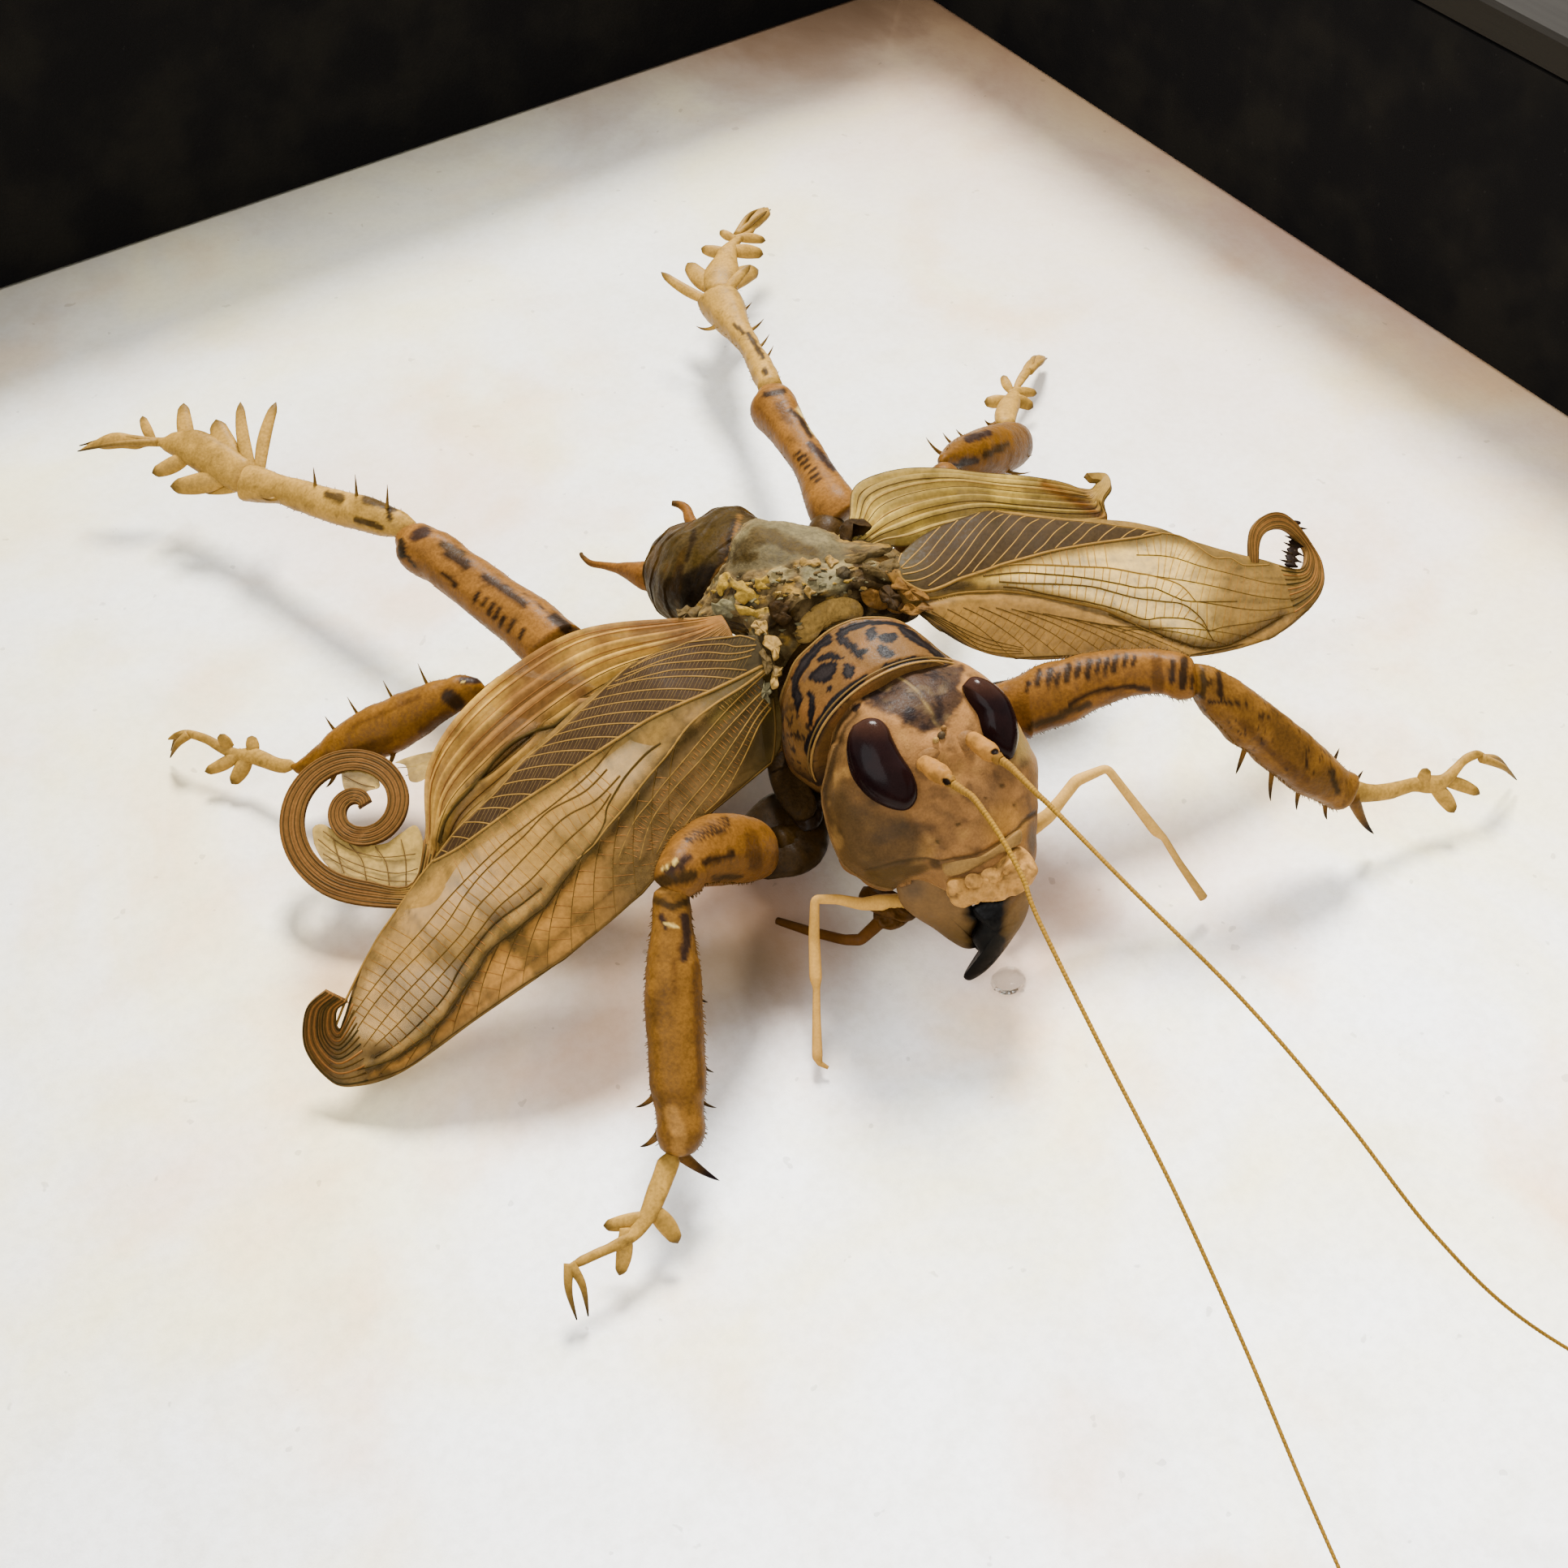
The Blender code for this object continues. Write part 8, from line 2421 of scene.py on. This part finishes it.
def head():
    top, foot, _, side, out = face_axes()
    rows, sides = 182, 206
    table = np.array(CRANIUM)
    share = np.linspace(table[0, 0], table[-1, 0], rows)
    kernel = np.hanning(25)
    kernel /= kernel.sum()
    half, depth, rise = (np.convolve(np.pad(np.interp(share, table[:, 0], table[:, k]), 12, mode="edge"),
                                     kernel, "valid")
                         for k in (1, 2, 3))
    rounding = np.sqrt(np.clip(np.minimum(np.arange(rows) + 0.2, rows - 0.8 - np.arange(rows)) / 11, 0, 1))
    angle = np.arange(sides) * TAU / sides
    front = top + (foot - top) * share[:, None] + out * rise[:, None]
    middle = front - out * (depth / 2)[:, None]
    ring = (middle[:, None] + side * ((half * rounding)[:, None] * np.cos(angle))[..., None]
            + out * ((depth / 2 * rounding)[:, None] * np.sin(angle))[..., None])
    flat = fit_outline(ring.reshape(-1, 3), HEAD_OUTLINE, 0.3)
    grid = flat.reshape(ring.shape)
    normal = unit(np.cross(np.roll(grid, -1, axis=1) - np.roll(grid, 1, axis=1),
                           np.gradient(grid, axis=0))).reshape(-1, 3)
    outward = flat - np.repeat(grid.mean(axis=1), sides, axis=0)
    normal = normal * np.sign((normal * outward).sum(axis=1))[:, None]
    px = photo(flat)
    seen = facing_camera(flat, normal)
    relief = cloud(flat, 2.5, 51) * 0.10 + cloud(flat, 0.6, 52, 3) * 0.02
    for line in FACE_SUTURES:
        relief -= np.exp(-(to_line(px, line) / 2.6) ** 2) * 0.16 * seen
    relief -= np.exp(-(to_line(px, MEDIAN_LINE) / 1.8) ** 2) * 0.05 * seen
    relief += np.exp(-(to_line(px, GENA_RIM[2:]) / 3.5) ** 2) * 0.16 * seen
    relief -= np.exp(-((to_line(px, GENA_RIM[2:]) - 9) / 5) ** 2) * 0.07 * seen
    relief += ease(blotch(px, BROW_SWELL, 34, 26, 30), 0, 0.8) * 0.35 * seen
    relief += ease(blotch(px, FACE_SWELL, 60, 34, 40), 0, 0.9) * 0.25 * seen
    relief -= ease(blotch(px, FACE_DIP, 14, 10, 0), 0, 0.8) * 0.2 * seen
    flat = flat + normal * relief[:, None]
    paint = np.tile(tone(216, 184, 144), (len(flat), 1))
    paint = stain(paint, (174, 126, 92), flat, 2.4, 53, -0.2, 0.7, 0.65)
    paint = stain(paint, (146, 98, 76), flat, 1.1, 57, 0.1, 0.8, 0.55)
    # Painted shade: darker towards the insect's right side of the face and lower down.
    shade_side = ease(-px[:, 0] + 0.5 * (px[:, 1] - FACE_SHADE_ROW), -FACE_SHADE_COLUMNS[0], -FACE_SHADE_COLUMNS[1]) * seen
    paint = lay(paint, tone(138, 92, 50), shade_side * 0.75)
    paint = stain(paint, (222, 196, 156), flat, 1.6, 54, 0.1, 0.8, 0.5)
    # Painted light: a pale lit patch low on the left of the face and a greyish highlight beside the left eye.
    paint = spot(paint, (228, 200, 146), px, FACE_LIT_SPOT, 40, 46, 0, 0, 0.9, 0.6 * seen)
    paint = spot(paint, (206, 186, 146), px, FACE_HIGHLIGHT_SPOT, 26, 40, -15, 0, 0.8, 0.8 * seen)
    # Painted shade over the right cheek.
    cheek = ease(within(px, CHEEK_SHADE_PATCH), -6, 18)
    paint = lay(paint, tone(148, 102, 70), cheek * 0.7 * seen)
    for centre, long, short, tilt, strength in FACE_CLOUDS:
        mask = ease(blotch(px, centre, long, short, tilt) + cloud(flat, 0.7, 56) * 0.3, 0.0, 0.9)
        paint = lay(paint, tone(134, 96, 76), mask * strength * seen)
    for centre, size in FACE_SPOTS:
        paint = spot(paint, (116, 78, 40), px, centre, size, size, 0, 0, 0.6, 0.8 * seen)
    rough = cloud(flat, 0.5, 58) * 2.5
    vertex = within(px, VERTEX_DARK)
    paint = lay(paint, tone(98, 64, 58), ease(vertex + rough * 2.2, -6, 4) * 0.92 * seen)
    paint = lay(paint, tone(176, 142, 108), ease(cloud(flat, 0.9, 60), 0.15, 0.7) * ease(vertex, 0, 4)
            * 0.7 * seen)
    paint = lay(paint, tone(54, 34, 30), ease(cloud(flat, 0.35, 61), 0.35, 0.7) * ease(vertex, 0, 4)
            * 0.7 * seen)
    for centre, long, short, tilt, strength in HEAD_CLOUDS:
        mask = ease(blotch(px, centre, long, short, tilt) + cloud(flat, 0.4, 62) * 0.6, 0.0, 0.6)
        paint = lay(paint, tone(62, 42, 44), mask * strength * seen)
    paint = lay(paint, tone(196, 170, 128), np.exp(-(to_line(px, MEDIAN_LINE) / 1.3) ** 2) * seen)
    # Painted shadow in a band beside the cheek's raised rim, fading out lower down.
    rim = to_line(px, GENA_RIM[:8])
    paint = lay(paint, tone(76, 50, 34), np.exp(-((rim - 4.0) / 2.6) ** 2) * 0.75 * seen
            * upward(px, *GENA_SHADE_ROWS))
    paint = lay(paint, tone(206, 164, 116), np.exp(-(to_line(px, GENA_RIM[4:]) / 2.0) ** 2) * 0.8 * seen)
    for line in FACE_SUTURES[:2]:
        paint = lay(paint, tone(132, 92, 62), np.exp(-(to_line(px, line) / 2.0) ** 2) * 0.75 * seen)
    paint = spot(paint, (110, 70, 40), px, JAW_SPOT, 14, 7, 20, 0, 0.7, 0.8 * seen)
    paint = lay(paint, tone(158, 104, 52), ease(within(px, JAW_PATCH), -2, 4) * 0.8 * seen)
    # Painted sheen down the far cheek, beside a dark dot.
    paint = spot(paint, (164, 146, 142), px, FAR_CHEEK_SHEEN, 8, 34, 0, 0, 0.8, 0.7 * seen)
    paint = spot(paint, (88, 62, 62), px, FAR_CHEEK_DOT, 10, 4, -20, 0, 0.6, 0.8 * seen)
    shape = Shape()
    shape.grid(flat.reshape(ring.shape), paint, wrap=True, caps=True)
    index = np.arange(rows * sides).reshape(rows, sides)
    right = np.roll(index, -1, axis=1)
    quads = np.stack([index[:-1], right[:-1], right[1:], index[1:]], axis=-1).reshape(-1, 4)
    tree = BVHTree.FromPolygons(flat.tolist(), quads.tolist())

    def crust(points):
        paint = np.tile(tone(226, 200, 160), (len(points), 1))
        paint = stain(paint, (184, 136, 90), points, 0.8, 71, 0.0, 0.8, 0.7)
        return stain(paint, (150, 112, 72), points, 0.5, 74, 0.35, 0.9, 0.5)

    place, axis = seat(tree, CLYPEUS, 0.05)
    pillow(shape, place, axis, 0.5, 0.8, evenly(tone(206, 176, 130)), 10, 0.6, 0.05, 0.8, 72, points=65)
    place, axis = seat(tree, LABRUM, 0.25)
    pillow(shape, place, axis, 0.8, 1.2, crust, 20, 0.5, 0.6, 1.1, 73, points=81)
    for centre, size in LABRUM_LUMPS:
        turn = np.arange(14) * TAU / 14
        blob = np.stack([centre[0] + size * 1.0 * np.cos(turn), centre[1] + size * 0.8 * np.sin(turn)],
                        axis=1)
        place, axis = seat(tree, blob, 0.55)
        pillow(shape, place, axis, 0.24, 0.6, crust, 7, 1.3, 0.16, 0.7, int(centre[0]), points=33)
    for socket in SOCKETS:
        place, axis = seat(tree, socket, 0.05)
        pillow(shape, place, axis, 0.35, 0.6, evenly(tone(204, 166, 120)), 8, 0.7, 0.08, 0.5, 75, points=49)
    for pixel, size, colour in FACE_BEADS:
        turn = np.arange(12) * TAU / 12
        bead = np.stack([pixel[0] + size * np.cos(turn), pixel[1] + size * np.sin(turn)], axis=1)
        place, axis = seat(tree, bead, 0.1)
        pillow(shape, place, axis, 0.25, 0.4, evenly(colour), 6, points=25)
    path = np.array([p for p in (tree.ray_cast(Vector(CAMERA_PLACE),
                                               Vector(ray(q)))[0] for q in route(GENA_RIM[2:], 90)) if p])
    shape.tube(path, 0.09, 0.09, tone(190, 148, 98), 8)
    for k, outline in enumerate(MAXILLA_PLATES):
        ring = on_height(outline, np.full(len(outline), 5.0 - k))
        pillow(shape, ring, -FORWARD, 0.7, 0.9, mottled(tone(164, 98, 48), 90 + k), 12, 0.5, 0.35, 0.6,
               90 + k, points=65)
    make_piece("head_capsule", shape, [cuticle("head_skin", 0.45, 0.03, 0.16, 0.14, 0.04)],
               ["head"])
    return tree


def eye(which, tree):
    ring, axis = seat(tree, EYE_OUTLINES[which], 0.25, 1.4)
    shape = Shape()

    def paint_by(points):
        paint = np.tile(tone(66, 32, 34), (len(points), 1))
        paint = stain(paint, (40, 20, 26), points, 2.2, 81, -0.1, 0.8, 0.8)
        # Painted reflection: a paler, redder band across the top of the eye.
        edge = photo(ring).min(axis=0)[1]
        return lay(paint, tone(128, 70, 58), ease(-photo(points)[:, 1], -edge - 34, -edge - 6) * 0.75)

    pillow(shape, ring, axis, 1.25, 1.2, paint_by, rounds=22, power=0.5)
    make_piece("eye_" + which + "_glossy", shape, [cuticle("eye_" + which + "_gloss", 0.16, 0.002, 0.08,
                                                           0.12, 0.04)],
               ["eye_" + which])


def antennae():
    for which, (scape, spot) in SCAPES.items():
        start = np.array(ANTENNA_STARTS[which])
        points = np.vstack([on_height(start[:, :2], start[:, 2]), at(ANTENNA_REST[which])])
        count = 1400
        path = route(points, count)
        run = np.linspace(0, 1, count)
        bead = (run * 330) % 1.0
        size = np.interp(run, [0, 0.015, 0.05, 0.12, 1.0],
                [0.30, 0.24, 0.19, 0.15, 0.085]) * (0.88 + 0.2 * np.sin(bead * math.pi))
        paint = lay(np.tile(tone(214, 184, 104), (count, 1)), tone(186, 146, 72),
                    ease(np.abs(bead - 0.5), 0.3, 0.5))
        paint = lay(paint, tone(208, 174, 108), ease(-run, -0.06, -0.01) * 0.7)
        paint = lay(paint, tone(202, 168, 92), ease(run, 0.2, 0.9) * 0.5)
        shape = Shape()
        shape.tube(path, size, size, paint, 6)
        scape = np.array(scape)
        base = route(on_height(scape[:, :2], scape[:, 2]), 60)
        share = np.linspace(0, 1, 60)
        bulge = np.interp(share, [0, 0.08, 0.35, 0.62, 0.78, 0.84, 0.92, 1.0],
                          [0.25, 0.48, 0.60, 0.66, 0.52, 0.34, 0.40, 0.28])
        ring = rings(base, bulge, bulge, 40)
        flat = ring.reshape(-1, 3)
        flat = flat + unit(flat - np.repeat(base, 40, axis=0)) * (cloud(flat, 0.6, 90) * 0.06)[:, None]
        paint = np.tile(tone(218, 184, 128), (len(flat), 1))
        paint = stain(paint, (192, 146, 82), flat, 0.8, 91, 0.0, 0.8, 0.6)
        paint = lay(paint, tone(190, 148, 76), np.repeat(ease(share, 0.8, 0.9), 40) * 0.7)
        mark = ease(blotch(photo(flat), spot, 6, 5, 30) + cloud(flat, 0.3, 92) * 0.3, 0, 0.3)
        paint = lay(paint, tone(54, 26, 14), mark)
        shape.grid(flat.reshape(ring.shape), paint, wrap=True, caps=True)
        make_piece("antenna_" + which + "_ringed", shape,
                [cuticle("antenna_" + which + "_skin", 0.5, 0.01, 0.2, 0.12, 0.03)],
                ["antenna_" + which])


def palps():
    for which, joints in PALP_JOINTS.items():
        rows = []
        table = np.array(joints, float)
        places = on_height(table[:, :2], table[:, 2])
        for k in range(len(table) - 1):
            for t in np.linspace(0, 1, 14, endpoint=k == len(table) - 2):
                rows.append(np.append(places[k] * (1 - t) + places[k + 1] * t,
                                      table[k, 3] * (1 - t) + table[k + 1, 3] * t))
        rows = np.array(rows)
        kernel = np.hanning(9)
        kernel /= kernel.sum()
        smooth = np.stack([np.convolve(np.pad(rows[:, k], 4, mode="edge"), kernel,
                                       "valid") for k in range(4)], axis=1)
        run = np.linspace(0, 1, len(rows))
        paint = lay(np.tile(PALP_TONES[which], (len(rows), 1)), PALP_TONES[which] * 0.62,
                    ease(run, 0.72, 1.0) * 0.8)
        shape = Shape()
        shape.tube(smooth[:, :3], smooth[:, 3] * 1.0, smooth[:, 3] * 0.9, paint, 24, up=-FORWARD)
        make_piece("palp_" + which + "_jointed", shape,
                [cuticle("palp_" + which + "_skin", 0.5, 0.015, 0.18, 0.12, 0.04)],
                ["palp_" + which])

# Where the jaws' paint changes, and the places of the left jaw's teeth, in pixels
JAW_PALE_SPOT = (1125, 1095)
JAW_BROWN = (1350, 1400)
TOOTH_PLACES = [(1199, 1128), (1204, 1142), (1199, 1155), (1204, 1168)]


def mandibles():
    for which, outline in MANDIBLE_OUTLINES.items():
        ring = np.array(outline, float)
        top, low = MANDIBLE_HEIGHTS[which]
        share = (ring[:, 1] - ring[:, 1].min()) / np.ptp(ring[:, 1])
        places = on_height(ring, top + (low - top) * share)

        def paint_by(points):
            px = photo(points)
            paint = np.tile(tone(196, 160, 116), (len(points), 1))
            paint = spot(paint, (172, 136, 112), px, JAW_PALE_SPOT, 26, 22, 0, 0, 0.9, 0.8)
            paint = lay(paint, tone(150, 100, 46), ease(px[:, 1] + px[:, 0] * 0.2, *JAW_BROWN) * 0.7)
            edge = within(px, BITING_EDGE) + cloud(points, 0.5, 95) * 2.5
            paint = lay(paint, tone(116, 68, 28), ease(edge, -14, -2) * 0.9)
            return lay(paint, tone(16, 10, 10), ease(edge, -5, 0))

        shape = Shape()
        pillow(shape, places, -FORWARD, 1.0 if which == "left" else 0.8, 1.2, paint_by, rounds=20,
               power=0.55, lumps=0.08,
               grain=0.9, seed=96)
        if which == "left":
            for k, (x, y) in enumerate(TOOTH_PLACES):
                foot = on_height([(x + 8, y + 2)], 5.4 - k * 1.0)[0]
                tip = on_height([(x - 3, y - 1)], 5.6 - k * 1.0)[0]
                spike(shape, foot, tip, 0.3, tone(18, 10, 10), tone(12, 8, 8), 0.0, 12, 8)
        make_piece("mandible_" + which + "_toothed", shape,
                [cuticle("mandible_" + which + "_horn", 0.42, 0.01, 0.2, 0.12, 0.06)],
                ["mandible_" + which])


def glue():
    tree = Tree("glue_clear")
    tree.shader.inputs["Base Color"].default_value = (0.92, 0.92, 0.9, 1.0)
    tree.shader.inputs["Roughness"].default_value = 0.05
    tree.shader.inputs["Transmission Weight"].default_value = 1.0
    tree.shader.inputs["IOR"].default_value = 1.46
    refinish("glue_drop", tree.finish)


add_camera()
add_studio()
dress_frame()
forewing_right()
forewing_left()
hindwing_right()
hindwing_left()
for leg_name in LEG_JOINTS:
    leg(leg_name)
pronotum()
thorax()
abdomen()
skull = head()
for which_eye in EYE_OUTLINES:
    eye(which_eye, skull)
antennae()
palps()
mandibles()
glue()
